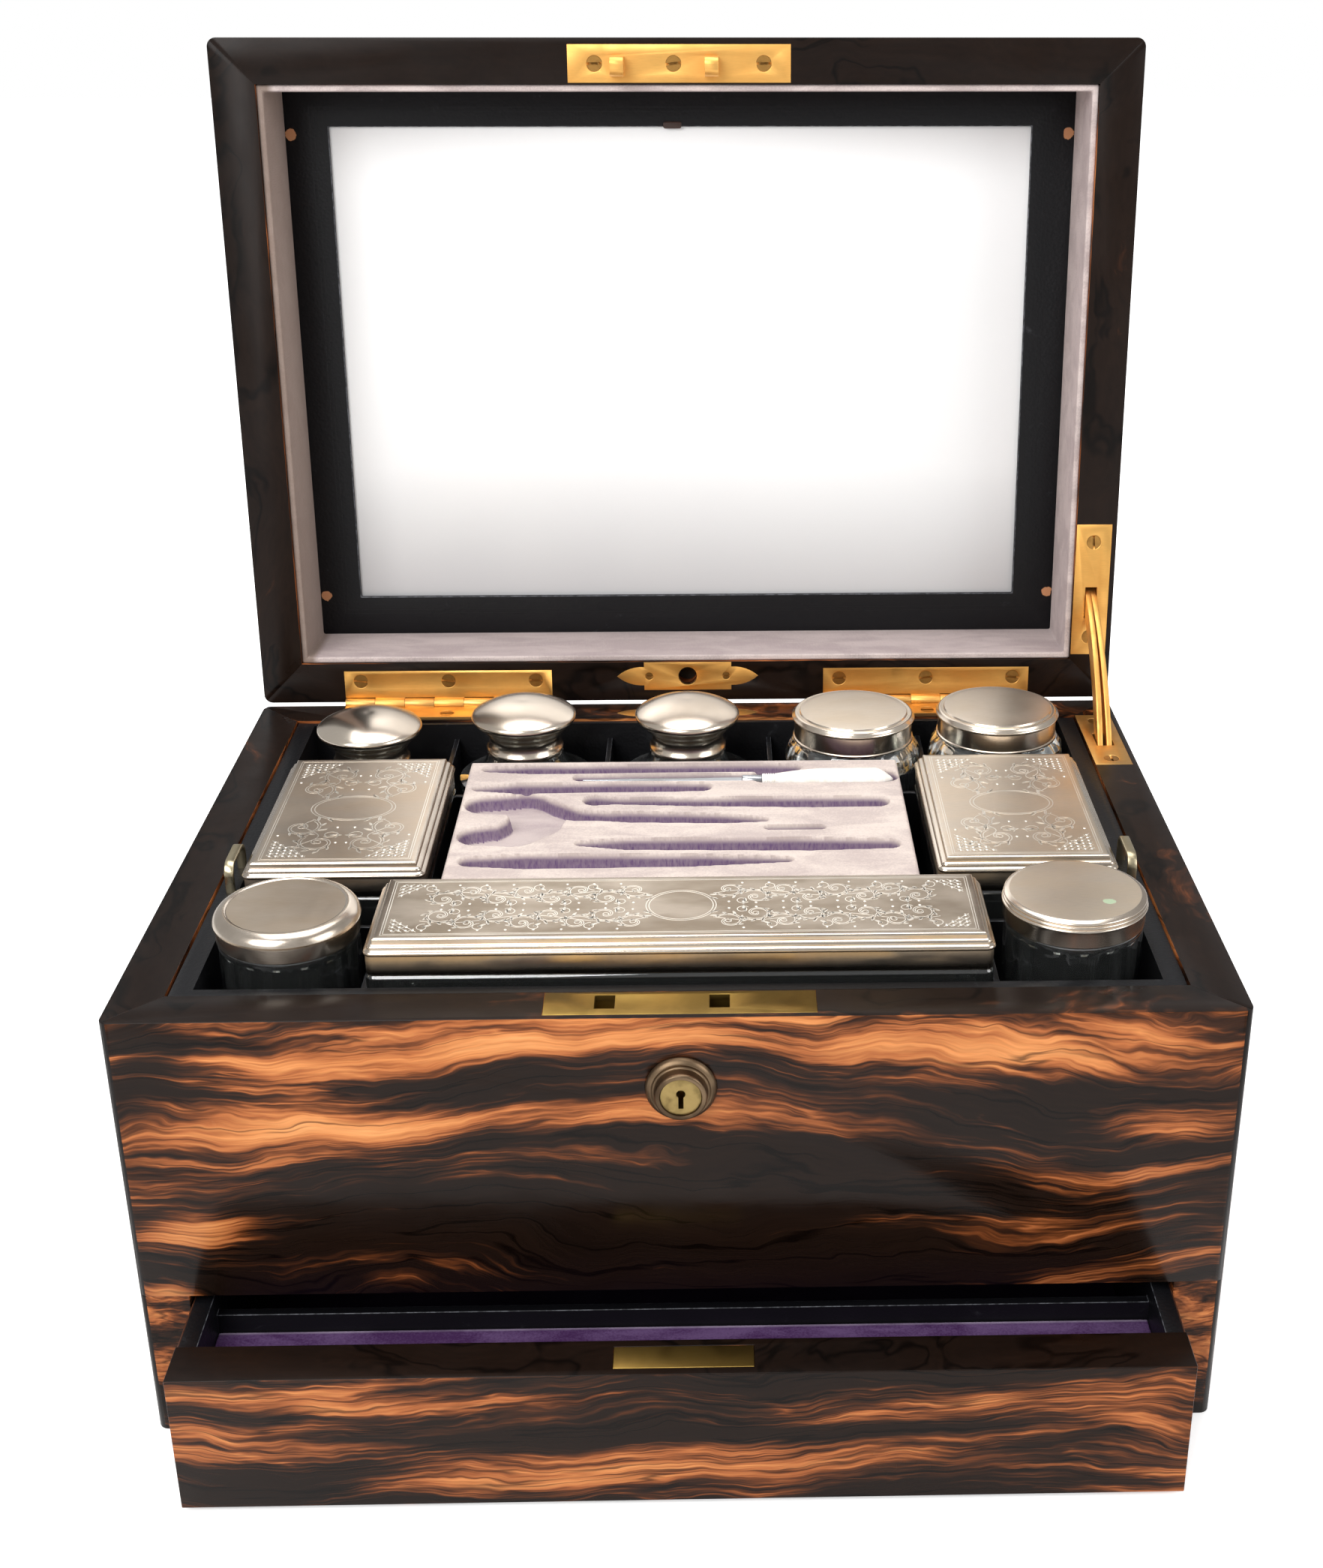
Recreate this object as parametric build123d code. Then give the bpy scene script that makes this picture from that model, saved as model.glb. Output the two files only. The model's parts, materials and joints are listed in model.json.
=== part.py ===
from build123d import *
import math
import os

# Antique fitted dressing box: a veneered case with a mirrored lid, a lift-out tray of
# silver-topped glass and a drawer below.  Origin: centre of the base's underside,
# +X to the right seen from the front, +Y to the back, +Z up.  Millimetres.

# ---- case and lid ----
CASE_WIDTH = 330.0
CASE_DEPTH = 243.0
BODY_HEIGHT = 146.0
CASE_WALL = 15.5
CORNER_RADIUS = 3.2
LID_HEIGHT = 50.0
LID_TOP_ROUND = 2.4
LID_OPEN_ANGLE = 94.2
RIM_GAP = 0.4
BASE_THICK = 6.0
BASE_FRONT_GAP = 0.5
WELL_FLOOR_THICK = 5.0

# ---- hinges ----
HINGE_LENGTH = 80.5
HINGE_CENTRE_INSET = 71.8
HINGE_LEAF_WIDTH = 12.5
KNUCKLE_RADIUS = 2.4
KNUCKLE_COUNT = 7
PIN_RADIUS = 1.1
HINGE_OVERHANG = 0.85
KNUCKLE_CLEARANCE = 0.25
KNUCKLE_END_GAP = 0.12

# ---- brass plates and screws ----
PLATE_THICK = 1.8
SCREW_HEAD_RADIUS = 2.85
SCREW_SHANK_RADIUS = 1.3
SCREW_LENGTH = 9.0
PIN_SCREW_HEAD_RADIUS = 1.6
PIN_SCREW_SHANK_RADIUS = 0.8
PIN_SCREW_LENGTH = 6.0
HINGE_SCREW_SPACING = 34.0
HINGE_SCREW_EDGE = 8.4
RUNNING_CLEARANCE = 0.05
SLIDING_CLEARANCE = 0.3
THROUGH = 1.0

# ---- lock ----
LOCK_PLATE_LENGTH = 78.8
LOCK_PLATE_WIDTH = 12.8
LOCK_PLATE_INSET = 2.2
LINK_LEFT_X = -21.8
LINK_RIGHT_X = 11.4
LINK_WIDTH = 4.8
LINK_DEPTH = 6.6
LINK_HEIGHT = 9.0
LINK_EYE = 4.4
LINK_HOLE_CLEARANCE = 0.5
LINK_INSET = 9.5
LINK_EYE_DROP = 5.4
LINK_NOSE_ROUND = 2.6
CATCH_SCREW_EDGE = 9.5
CATCH_MIDDLE_SCREW_X = -2.0
LOCK_CASE_LENGTH = 76.0
LOCK_CASE_DEPTH = 10.6
LOCK_CASE_HEIGHT = 36.0
LOCK_CASE_WALL = 1.0
BOLT_THICK = 3.0
BOLT_TRAVEL = 6.43
BOLT_TONGUE = 3.0
BOLT_BAR_HEIGHT = 6.0
BOLT_LINK_GAP = 0.6
BOLT_SPARE = 0.4
BOLT_TAIL_HALF = 4.0
BOLT_TAIL_DROP = 1.0
BOLT_SLOT_CLEARANCE = 0.25
KEYHOLE_DROP = 23.3
KEYHOLE_RADIUS = 1.3
KEYHOLE_RISE = 1.0
KEYHOLE_SLOT_HALF = 0.7
KEYHOLE_SLOT_DROP = 3.8
KEYHOLE_DEPTH = 9.0
NOZZLE_RADIUS = 7.7
NOZZLE_LENGTH = 6.0
NOZZLE_BEVEL = 0.8
FLANGE_RADIUS = 10.5
FLANGE_THICK = 2.4
FLANGE_EDGE = 1.2
FLANGE_BEVEL = 1.1
SLEEVE_RADIUS = 7.2
PLUG_RADIUS = 6.0
PLUG_SET_BACK = 0.6
PLUG_END_GAP = 0.4
PLUG_PIN_ORBIT = 5.0
PLUG_PIN_RADIUS = 0.8
PLUG_TURN = 80.0

# ---- stay ----
STAY_INSET = 8.6
STAY_RADIUS = 41.0
STAY_PIVOT_DEPTH = 5.0
STAY_CURVE_RADIUS = 110.0
STAY_ARM_WIDTH = 7.0
STAY_LEAF_THICK = 2.0
STAY_SPLAY_ANGLE = 0.6
STAY_TAIL = 10.0
STAY_PLATE_WIDTH = 13.6
STAY_BODY_PLATE_LENGTH = 48.4
STAY_BODY_PLATE_REAR = 15.6
STAY_LID_PLATE_LENGTH = 51.4
STAY_LID_PLATE_REAR = 17.4
STAY_MORTISE_DEPTH = 72.0
STAY_PIN_RADIUS = 1.25
STAY_BODY_SCREW_EDGE = 6.1
STAY_LID_SCREW_EDGE = 7.0
STAY_GUIDE_ROOM = 2.4
STAY_PIVOT_ROOM = 0.8
STAY_PIVOT_REAR_ROOM = 3.6
STAY_MORTISE_FRONT = 12.0
STAY_MORTISE_REAR = 30.0
STAY_MORTISE_SPARE = 4.0
STAY_LUG_HALF = 4.0
STAY_LUG_RISE = 3.0
STAY_LUG_THICK = 1.6

# ---- drawer release ----
POINTED_BLOCK_LENGTH = 34.0
POINTED_BLOCK_WIDTH = 11.2
POINTED_WING_WIDTH = 7.4
POINTED_TOTAL_LENGTH = 55.0
POINTED_INSET = 9.7
POINTED_SCREW_X = 15.0
POINTED_SHOULDER = 6.3
POINTED_WAIST_WIDTH = 5.3
BUTTON_RADIUS = 3.0
BUTTON_RISE = 3.0
BUTTON_PRESS = 3.0
BUTTON_ROUND = 1.2
LID_BUTTON_HOLE_RADIUS = 3.6
LID_BUTTON_HOLE_DEPTH = 8.0
ROD_RADIUS = 1.5

# ---- drawer ----
DRAWER_GROUND_GAP = 2.0
DRAWER_FRONT_HEIGHT = 47.0
DRAWER_HEAD_GAP = 2.0
DRAWER_FRONT_THICK = 15.5
DRAWER_SIDE_GAP = 0.4
DRAWER_SIDE_THICK = 6.0
DRAWER_BOTTOM_THICK = 3.0
DRAWER_SIDE_DROP = 1.0
DRAWER_BACK_GAP = 2.5
DRAWER_RUN_GAP = 0.1
DRAWER_OPEN = 36.6
DRAWER_COMPARTMENT = 24.1
DRAWER_WALL_THICK = 3.0
DRAWER_WALL_HEIGHT = 41.3
DRAWER_PAD_TOP = 32.0
DRAWER_PAD_THICK = 4.0
DRAWER_LINING_THICK = 1.6
DRAWER_PLATE_LENGTH = 41.0
DRAWER_PLATE_WIDTH = 9.5
DRAWER_PLATE_THICK = 1.2
CATCH_HEIGHT = 33.0
CATCH_WIDTH = 8.0
CATCH_THICK = 1.0
CATCH_HOOK = 3.0
CATCH_FOOT = 10.0
CATCH_KEEPER = 3.2
CATCH_CLEARANCE = 0.6

# ---- lid interior ----
LINING_THICK = 2.5
LINING_DROP = 1.2
MIRROR_RECESS = 36.0
MIRROR_GLASS_THICK = 3.0
MIRROR_FRAME_LIP = 2.0
MIRROR_SIDE_MARGIN = 18.5
MIRROR_REAR_MARGIN = 17.5
MIRROR_FRONT_MARGIN = 15.5
MIRROR_OVERLAP = 5.0

# ---- tray ----
TRAY_GAP = 0.6
TRAY_SIDE_THICK = 6.4
TRAY_FRONT_THICK = 4.4
TRAY_REAR_THICK = 2.0
TRAY_FLOOR_THICK = 3.0
TRAY_TOP_DROP = 0.8
DIVIDER_THICK = 1.8
DIVIDER_TOP_DROP = 6.0
LOOP_WIDTH = 3.0
LOOP_THICK = 1.2
LOOP_SPAN = 19.2
LOOP_RISE = 10.0
LOOP_SEAT = 14.0
LOOP_BEND = 4.5
LOOP_INSET = 4.3
LOOP_CENTRE_Y = -29.0
CELL_CLEARANCE = 0.7

# ---- rows of containers, from the tray's inner rear and front walls ----
BACK_ROW_INSET = 25.9
BACK_DIVIDER_INSET = 53.4
FRONT_ROW_INSET = 25.2
FRONT_DIVIDER_INSET = 50.4
MIDDLE_ROW_OFFSET = 2.1
# how far each row's containers reach each side of the middle, in a tray of this inner half width
ROW_REACH = 142.5

# ---- scent bottles; a stand is how far a top stands above the tray's rim ----
BOTTLE_PLACES = (-117.0, -60.0, 0.3)
BOTTLE_CAP_STANDS = (15.3, 19.8, 19.8)
BOTTLE_SLIMMER = 0.7
BOTTLE_CAP_INSET = 5.5
BOTTLE_CAP_HEIGHT = 20.0
BOTTLE_COLLAR_INSET = 11.6
BOTTLE_NECK_WALL = 5.5
BOTTLE_NECK_HEIGHT = 7.0
BOTTLE_SHOULDER = 9.0
BOTTLE_SHOULDER_IN = 3.0
BOTTLE_SHOULDER_DROP = 2.6
BOTTLE_INNER_DROP = 3.0
BOTTLE_INNER_IN = 3.0
BOTTLE_INNER_ROUND = 6.5
BOTTLE_WALL = 3.5
BOTTLE_LIP = 0.5
CAP_RIM_DROP = 6.0
CAP_CROWN_IN = 7.3
CAP_CROWN_DROP = 1.7
CAP_ROLL_IN = 0.5
CAP_ROLL_DROP = 2.2
CAP_UNDER_REACH = 2.2
CAP_UNDER_DROP = 5.0
CAP_WAIST_REACH = 0.3
CAP_WAIST_DROP = 8.5
CAP_NECK_ROOM = 8.0

# ---- shouldered jars ----
JAR_PLACES = (61.8, 115.2)
JAR_LID_STANDS = (15.8, 16.8)
JAR_ROW_GAP = 0.95
JAR_CELL_GAP = 0.5
JAR_LID_INSET = 2.7
JAR_LID_HEIGHT = 11.0
JAR_SHOULDER = 6.0
JAR_SHOULDER_IN = 0.8
JAR_SHOULDER_DROP = 3.0
JAR_SEAT_INSET = 0.2
JAR_INNER_DROP = 4.0
JAR_INNER_SLOPE = 3.0

# ---- fluted jars ----
FLUTED_END_GAPS = (1.7, 1.0)
FLUTED_LID_STANDS = (14.8, 17.3)
FLUTED_RADIUS = 21.2
FLUTED_LID_RADIUS = 22.1
FLUTED_LID_HEIGHT = 9.0
FLUTED_NECK_HEIGHT = 4.5
FLUTED_FOOT_BEVEL = 1.0
FLUTED_INNER_DROP = 2.0
FLUTED_INNER_SLOPE = 2.0
FLUTE_COUNT = 16
FLUTE_DEPTH = 0.9
FLUTE_TOP_LAND = 3.0
FLUTE_FOOT_LAND = 4.0

# ---- glass walls and cover metal, shared ----
JAR_WALL = 3.0
NECK_HEIGHT = 6.5
GLASS_FOOT_BEVEL = 2.0
GLASS_FLOOR_EXTRA = 2.0
COVER_METAL = 0.9
COVER_FIT = 0.3
LID_SKIRT_INSET = 0.6
LID_CROWN_INSET = 3.2
LID_CROWN_DROP = 0.6
LID_STEP_INSET = 2.6
LID_STEP_DROP = 1.2
LID_BEAD_DROP = 2.6
LID_BEAD_HEIGHT = 0.8
LID_BEAD_UNDERCUT = 0.4
LID_ROOF_DROP = 3.4

# ---- oblong boxes ----
BOX_END_GAPS = (2.5, 2.8)
BOX_ROW_GAP = 9.4
BOX_WIDTH = 58.2
BOX_STAND = 11.3
BOX_GLASS_HEIGHT = 52.0
LONG_BOX_END_GAP = 0.85
LONG_BOX_WIDTH = 45.2
LONG_BOX_STAND = 13.3
LONG_BOX_GLASS_HEIGHT = 44.0
BOX_CORNER = 3.0
BOX_PANEL_CORNER = 2.0
BOX_SKIRT_CORNER = 2.5
BOX_RIM_CORNER = 1.8
BOX_COVER_HEIGHT = 10.0
BOX_COVER_TOP = 1.2
BOX_MOULDING = 3.2
BOX_STEP = 1.6
BOX_BEVEL = 1.4
BOX_SKIRT_INSET = 0.6
BOX_GLASS_WALL = 3.5
BOX_GLASS_INSET = 0.6
BOX_FOOT_BEVEL = 1.0
BOX_RIM_GAP = 1.0

# ---- tool tray ----
TOOL_TRAY_GAPS = (5.3, 6.0)
TOOL_TRAY_ROW_GAP = 4.3
TOOL_TRAY_OFFSET = 0.3
TOOL_TRAY_STAND = 8.3
TOOL_BOARD_THICK = 6.0
TOOL_PAD_THICK = 6.0
TOOL_PAD_ROUND = 1.5
LEDGE_WIDTH = 3.0
LEDGE_HEIGHT = 4.0
TOOL_HANDLE_RADIUS = 4.0
TOOL_HANDLE_NECK = 2.2
TOOL_HANDLE_TIP = 0.5
TOOL_BLADE_THICK = 1.4
TOOL_BLADE_POINT = 0.3
TOOL_BLADE_TAPER = 22.0
TOOL_SHANK_RADIUS = 2.0
TOOL_SHANK_LENGTH = 7.0
TOOL_CLEARANCE = 0.3

# ---- places in the pad: from its left or right end, then from its rear edge ----
TOOL_LEFT = 40.5
TOOL_HANDLE_RIGHT = 48.5
TOOL_RIGHT = 2.5
TOOL_REAR = 14.65
TOOL_PLACE_WIDTH = 4.2
TOOL_PLACE_GAP = 2.0
TOOL_END_GAP = 1.4
HANDLE_PLACE_ROOM = 1.2
NEEDLE_LEFT = 4.0
NEEDLE_RIGHT = 35.5
NEEDLE_REAR = 6.65
NEEDLE_WIDTH = 3.4
FILE_LEFT = 3.0
FILE_RIGHT = 67.5
FILE_REAR = 21.85
FILE_WIDTH = 4.6
HOOK_LEFT = 42.5
HOOK_RIGHT = 4.5
HOOK_REAR = 34.75
HOOK_END_REAR = 36.75
HOOK_WIDTH = 4.0
BOW_LEFT = 16.0
BOW_REARS = (37.25, 62.75)
BOW_RADIUS = 13.0
BOW_HALF_WIDTH = 8.6
PIVOT_LEFT = 20.5
PIVOT_END_LEFT = 43.5
PIVOT_REAR = 47.25
PIVOT_WIDTH = 18.0
SHANK_LEFT = 36.5
SHANK_RIGHT = 48.5
SHANK_REAR = 46.25
SHANK_END_REAR = 50.25
SHANK_WIDTH = 6.0
SLIP_RIGHT = 47.5
SLIP_END_RIGHT = 29.5
SLIP_REAR = 55.45
SLIP_WIDTH = 1.6
BLADE_LEFT = 41.5
BLADE_RIGHT = 3.5
BLADE_REAR = 68.75
BLADE_END_REAR = 70.25
REST_LEFT = 3.5
REST_RIGHT = 42.5
REST_REAR = 78.25
REST_END_REAR = 79.75
LONG_PLACE_WIDTH = 5.0

# ---- worked out from the sizes above ----
HALF_WIDTH = CASE_WIDTH / 2
HALF_DEPTH = CASE_DEPTH / 2
INNER_X = HALF_WIDTH - CASE_WALL
INNER_Y = HALF_DEPTH - CASE_WALL
HINGE_Y = HALF_DEPTH + HINGE_OVERHANG
HINGE_Z = BODY_HEIGHT + RIM_GAP / 2
LID_RIM = BODY_HEIGHT + RIM_GAP
LID_CEILING = LID_RIM + MIRROR_RECESS + MIRROR_FRAME_LIP + MIRROR_GLASS_THICK
LID_TOP_THICK = LID_RIM + LID_HEIGHT - LID_CEILING
DRAWER_TOP = DRAWER_GROUND_GAP + DRAWER_FRONT_HEIGHT
OPENING_TOP = DRAWER_TOP + DRAWER_HEAD_GAP
WELL_FLOOR_TOP = OPENING_TOP + WELL_FLOOR_THICK
TRAY_X = INNER_X - TRAY_GAP
TRAY_Y = INNER_Y - TRAY_GAP
TRAY_FLOOR = WELL_FLOOR_TOP + TRAY_FLOOR_THICK
TRAY_TOP = BODY_HEIGHT - TRAY_TOP_DROP
TRAY_INNER_X = TRAY_X - TRAY_SIDE_THICK
TRAY_INNER_FRONT = -TRAY_Y + TRAY_FRONT_THICK
TRAY_INNER_REAR = TRAY_Y - TRAY_REAR_THICK
HINGE_CENTRE_X = HALF_WIDTH - HINGE_CENTRE_INSET
KNUCKLE_PITCH = HINGE_LENGTH / KNUCKLE_COUNT
KEYHOLE_HEIGHT = BODY_HEIGHT - KEYHOLE_DROP
MIRROR_WIDTH = 2 * (INNER_X - MIRROR_SIDE_MARGIN)
MIRROR_HEIGHT = 2 * INNER_Y - MIRROR_REAR_MARGIN - MIRROR_FRONT_MARGIN
MIRROR_Y = (MIRROR_FRONT_MARGIN - MIRROR_REAR_MARGIN) / 2
LOCK_PLATE_Y = -HALF_DEPTH + LOCK_PLATE_INSET + LOCK_PLATE_WIDTH / 2
LINK_Y = -HALF_DEPTH + LINK_INSET
LINK_EYE_Z = LID_RIM - LINK_EYE_DROP
RELEASE_Y = HALF_DEPTH - POINTED_INSET
PLATE_BED = BODY_HEIGHT - PLATE_THICK
PLUG_PIN_START = math.radians(PLUG_TURN / 2)
HINGE_AXIS = Axis((0, HINGE_Y, HINGE_Z), (1, 0, 0))
STAY_X = HALF_WIDTH - STAY_INSET
STAY_TAIL_SPREAD = (2 * STAY_RADIUS + STAY_TAIL) * math.sin(math.radians(STAY_SPLAY_ANGLE))
STAY_LUG_OUT = STAY_LEAF_THICK + 2 * SLIDING_CLEARANCE + STAY_LUG_THICK
STAY_PIVOT_Y = HINGE_Y - math.sqrt(STAY_RADIUS**2 - STAY_PIVOT_DEPTH**2)
STAY_PIVOT_Z = LID_RIM + STAY_PIVOT_DEPTH
STAY_GUIDE_Y = HINGE_Y - STAY_RADIUS
STAY_GUIDE_Z = BODY_HEIGHT - PLATE_THICK / 2

# ---- the rows: places keep their share of the tray, and the round ones are as wide as it allows ----
BACK_ROW_Y = TRAY_INNER_REAR - BACK_ROW_INSET
BACK_DIVIDER_Y = TRAY_INNER_REAR - BACK_DIVIDER_INSET
FRONT_ROW_Y = TRAY_INNER_FRONT + FRONT_ROW_INSET
FRONT_DIVIDER_Y = TRAY_INNER_FRONT + FRONT_DIVIDER_INSET
MIDDLE_Y = (BACK_DIVIDER_Y + FRONT_DIVIDER_Y) / 2
MIDDLE_DEPTH = BACK_DIVIDER_Y - FRONT_DIVIDER_Y - DIVIDER_THICK
MIDDLE_ROW_Y = MIDDLE_Y + MIDDLE_ROW_OFFSET
BOTTLE_XS = tuple(x * TRAY_INNER_X / ROW_REACH for x in BOTTLE_PLACES)
JAR_XS = tuple(x * TRAY_INNER_X / ROW_REACH for x in JAR_PLACES)
JAR_ROW_ROOM = BACK_DIVIDER_INSET - DIVIDER_THICK / 2 - 2 * JAR_ROW_GAP
JAR_CELL_ROOM = JAR_XS[1] - JAR_XS[0] - DIVIDER_THICK - 2 * JAR_CELL_GAP
JAR_RADIUS = min(JAR_ROW_ROOM, JAR_CELL_ROOM) / 2
JAR_LID_RADIUS = JAR_RADIUS - JAR_LID_INSET
BOTTLE_RADIUS = JAR_RADIUS - BOTTLE_SLIMMER
BOTTLE_CAP_RADIUS = BOTTLE_RADIUS - BOTTLE_CAP_INSET
BOTTLE_COLLAR_RADIUS = BOTTLE_RADIUS - BOTTLE_COLLAR_INSET
BOTTLE_BORE_RADIUS = BOTTLE_COLLAR_RADIUS - BOTTLE_NECK_WALL
FLUTED_LEFT_X = FLUTED_LID_RADIUS + FLUTED_END_GAPS[0] - TRAY_INNER_X
FLUTED_RIGHT_X = TRAY_INNER_X - FLUTED_LID_RADIUS - FLUTED_END_GAPS[1]
LONG_BOX_CELL_HALF = -FLUTED_LEFT_X - FLUTED_LID_RADIUS - LONG_BOX_END_GAP - DIVIDER_THICK
LONG_BOX_LENGTH = 2 * (LONG_BOX_CELL_HALF - CELL_CLEARANCE)
BOX_LENGTH = MIDDLE_DEPTH - BOX_ROW_GAP
BOX_LEFT_X = BOX_WIDTH / 2 + BOX_END_GAPS[0] - TRAY_INNER_X
BOX_RIGHT_X = TRAY_INNER_X - BOX_WIDTH / 2 - BOX_END_GAPS[1]
BOX_TOP = TRAY_TOP + BOX_STAND
LONG_BOX_TOP = TRAY_TOP + LONG_BOX_STAND
PAD_LEFT = BOX_LEFT_X + BOX_WIDTH / 2 + TOOL_TRAY_GAPS[0]
PAD_RIGHT = BOX_RIGHT_X - BOX_WIDTH / 2 - TOOL_TRAY_GAPS[1]
TOOL_TRAY_LENGTH = PAD_RIGHT - PAD_LEFT
TOOL_TRAY_X = (PAD_LEFT + PAD_RIGHT) / 2
TOOL_TRAY_WIDTH = MIDDLE_DEPTH - TOOL_TRAY_ROW_GAP
TOOL_TRAY_Y = MIDDLE_Y + TOOL_TRAY_OFFSET
TOOL_TRAY_TOP = TRAY_TOP + TOOL_TRAY_STAND
PAD_REAR = TOOL_TRAY_Y + TOOL_TRAY_WIDTH / 2
TOOL_BLADE_START = PAD_LEFT + TOOL_LEFT
TOOL_HANDLE_START = PAD_RIGHT - TOOL_HANDLE_RIGHT
TOOL_HANDLE_END = PAD_RIGHT - TOOL_RIGHT
TOOL_Y = PAD_REAR - TOOL_REAR


def block(x0, x1, y0, y1, z0, z1):
    """A box from its two corners."""
    size = Box(x1 - x0, y1 - y0, z1 - z0, align=Align.MIN)
    return Pos(x0, y0, z0) * size


def upright(radius, height, x, y, z):
    """A vertical cylinder standing on z."""
    return Pos(x, y, z) * Cylinder(radius, height, align=(Align.CENTER, Align.CENTER, Align.MIN))


def along_x(radius, x0, x1, y, z):
    """A cylinder lying along X."""
    rod = Cylinder(radius, x1 - x0, align=(Align.CENTER, Align.CENTER, Align.MIN))
    return Pos(x0, y, z) * Rot(0, 90, 0) * rod


def along_y(radius, y0, y1, x, z):
    """A cylinder lying along Y."""
    rod = Cylinder(radius, y1 - y0, align=(Align.CENTER, Align.CENTER, Align.MIN))
    return Pos(x, y1, z) * Rot(90, 0, 0) * rod


def prism(points, z0, z1):
    """A vertical prism on a polygon."""
    return extrude(Pos(0, 0, z0) * Polygon(*points, align=None), amount=z1 - z0, dir=(0, 0, 1))


def turned(profile):
    """A body of revolution about Z from (radius, height) points."""
    face = make_face(Plane.XZ * Polyline(*profile, close=True))
    return revolve(face, Axis.Z)


def case_ring(z0, z1):
    """The four walls as one ring, before it is mitred into boards."""
    outline = RectangleRounded(CASE_WIDTH, CASE_DEPTH, CORNER_RADIUS)
    opening = Rectangle(2 * INNER_X, 2 * INNER_Y)
    return extrude(Pos(0, 0, z0) * (outline - opening), amount=z1 - z0)


def screw(x, y, z, head_radius, shank_radius, length):
    """A countersunk screw, its flat head at z and its shank below."""
    cone = head_radius - shank_radius
    profile = [
        (0, z),
        (head_radius, z),
        (shank_radius, z - cone),
        (shank_radius, z - length + shank_radius),
        (0, z - length),
    ]
    return Pos(x, y, 0) * turned(profile)


def wood_screw(x, y, z):
    return screw(x, y, z, SCREW_HEAD_RADIUS, SCREW_SHANK_RADIUS, SCREW_LENGTH)


def pin_screw(x, y, z):
    return screw(x, y, z, PIN_SCREW_HEAD_RADIUS, PIN_SCREW_SHANK_RADIUS, PIN_SCREW_LENGTH)


def upside_down(shape):
    """Turn a rim fitting over, about the hinge line's height, for the closed lid."""
    return mirror(shape, Plane.XY.offset(HINGE_Z))


def open_lid(shape):
    """Swing a piece of the closed lid up to its open place."""
    return shape.rotate(HINGE_AXIS, -LID_OPEN_ANGLE)


# ---- places of the screws, on the body rim; the lid's mirror them ----
def hinge_screws():
    y = HALF_DEPTH - HINGE_SCREW_EDGE
    places = [s * HINGE_CENTRE_X + k * HINGE_SCREW_SPACING for s in (-1, 1) for k in (-1, 0, 1)]
    return [wood_screw(x, y, BODY_HEIGHT) for x in places]


def pointed_plate_screws():
    return [pin_screw(s * POINTED_SCREW_X, RELEASE_Y, BODY_HEIGHT) for s in (-1, 1)]


def stay_screws(rear, length, edge):
    centre = HALF_DEPTH - rear - length / 2
    reach = length / 2 - edge
    return [wood_screw(STAY_X, centre + s * reach, BODY_HEIGHT) for s in (-1, 1)]


def body_screws():
    stay = stay_screws(STAY_BODY_PLATE_REAR, STAY_BODY_PLATE_LENGTH, STAY_BODY_SCREW_EDGE)
    return hinge_screws() + pointed_plate_screws() + stay


def catch_plate_screws():
    end = LOCK_PLATE_LENGTH / 2 - CATCH_SCREW_EDGE
    places = (-end, CATCH_MIDDLE_SCREW_X, end)
    return [wood_screw(x, LOCK_PLATE_Y, BODY_HEIGHT) for x in places]


def lid_screws():
    stay = stay_screws(STAY_LID_PLATE_REAR, STAY_LID_PLATE_LENGTH, STAY_LID_SCREW_EDGE)
    flat = hinge_screws() + pointed_plate_screws() + stay + catch_plate_screws()
    return [upside_down(s) for s in flat]


# ---- hinges ----
def knuckle_span(side, index):
    """The x range of one knuckle of one hinge."""
    start = side * HINGE_CENTRE_X - HINGE_LENGTH / 2
    x0 = start + index * KNUCKLE_PITCH
    return x0 + KNUCKLE_END_GAP / 2, x0 + KNUCKLE_PITCH - KNUCKLE_END_GAP / 2


def hinge_leaf(side, own, other, bore):
    """A leaf let into the body rim, with its own knuckles."""
    centre = side * HINGE_CENTRE_X
    half = HINGE_LENGTH / 2
    front = HALF_DEPTH - HINGE_LEAF_WIDTH
    leaf = block(centre - half, centre + half, front, HINGE_Y, PLATE_BED, BODY_HEIGHT)
    for index in other:
        x0, x1 = knuckle_span(side, index)
        room = along_x(
            KNUCKLE_RADIUS + KNUCKLE_CLEARANCE,
            x0 - KNUCKLE_END_GAP,
            x1 + KNUCKLE_END_GAP,
            HINGE_Y,
            HINGE_Z,
        )
        leaf -= room
        leaf -= block(
            x0 - KNUCKLE_END_GAP,
            x1 + KNUCKLE_END_GAP,
            HINGE_Y - KNUCKLE_RADIUS - KNUCKLE_CLEARANCE,
            HINGE_Y,
            PLATE_BED,
            BODY_HEIGHT,
        )
    for index in own:
        x0, x1 = knuckle_span(side, index)
        leaf += along_x(KNUCKLE_RADIUS, x0, x1, HINGE_Y, HINGE_Z)
    return leaf - along_x(bore, centre - half - THROUGH, centre + half + THROUGH, HINGE_Y, HINGE_Z)


def body_hinge_leaves():
    own = range(0, KNUCKLE_COUNT, 2)
    other = range(1, KNUCKLE_COUNT, 2)
    return [hinge_leaf(side, own, other, PIN_RADIUS) for side in (-1, 1)]


def lid_hinge_leaves():
    own = range(1, KNUCKLE_COUNT, 2)
    other = range(0, KNUCKLE_COUNT, 2)
    bore = PIN_RADIUS + RUNNING_CLEARANCE
    return [upside_down(hinge_leaf(side, own, other, bore)) for side in (-1, 1)]


def hinge_pins():
    half = HINGE_LENGTH / 2
    ends = [(s * HINGE_CENTRE_X - half, s * HINGE_CENTRE_X + half) for s in (-1, 1)]
    return [along_x(PIN_RADIUS, x0, x1, HINGE_Y, HINGE_Z) for x0, x1 in ends]


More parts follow.
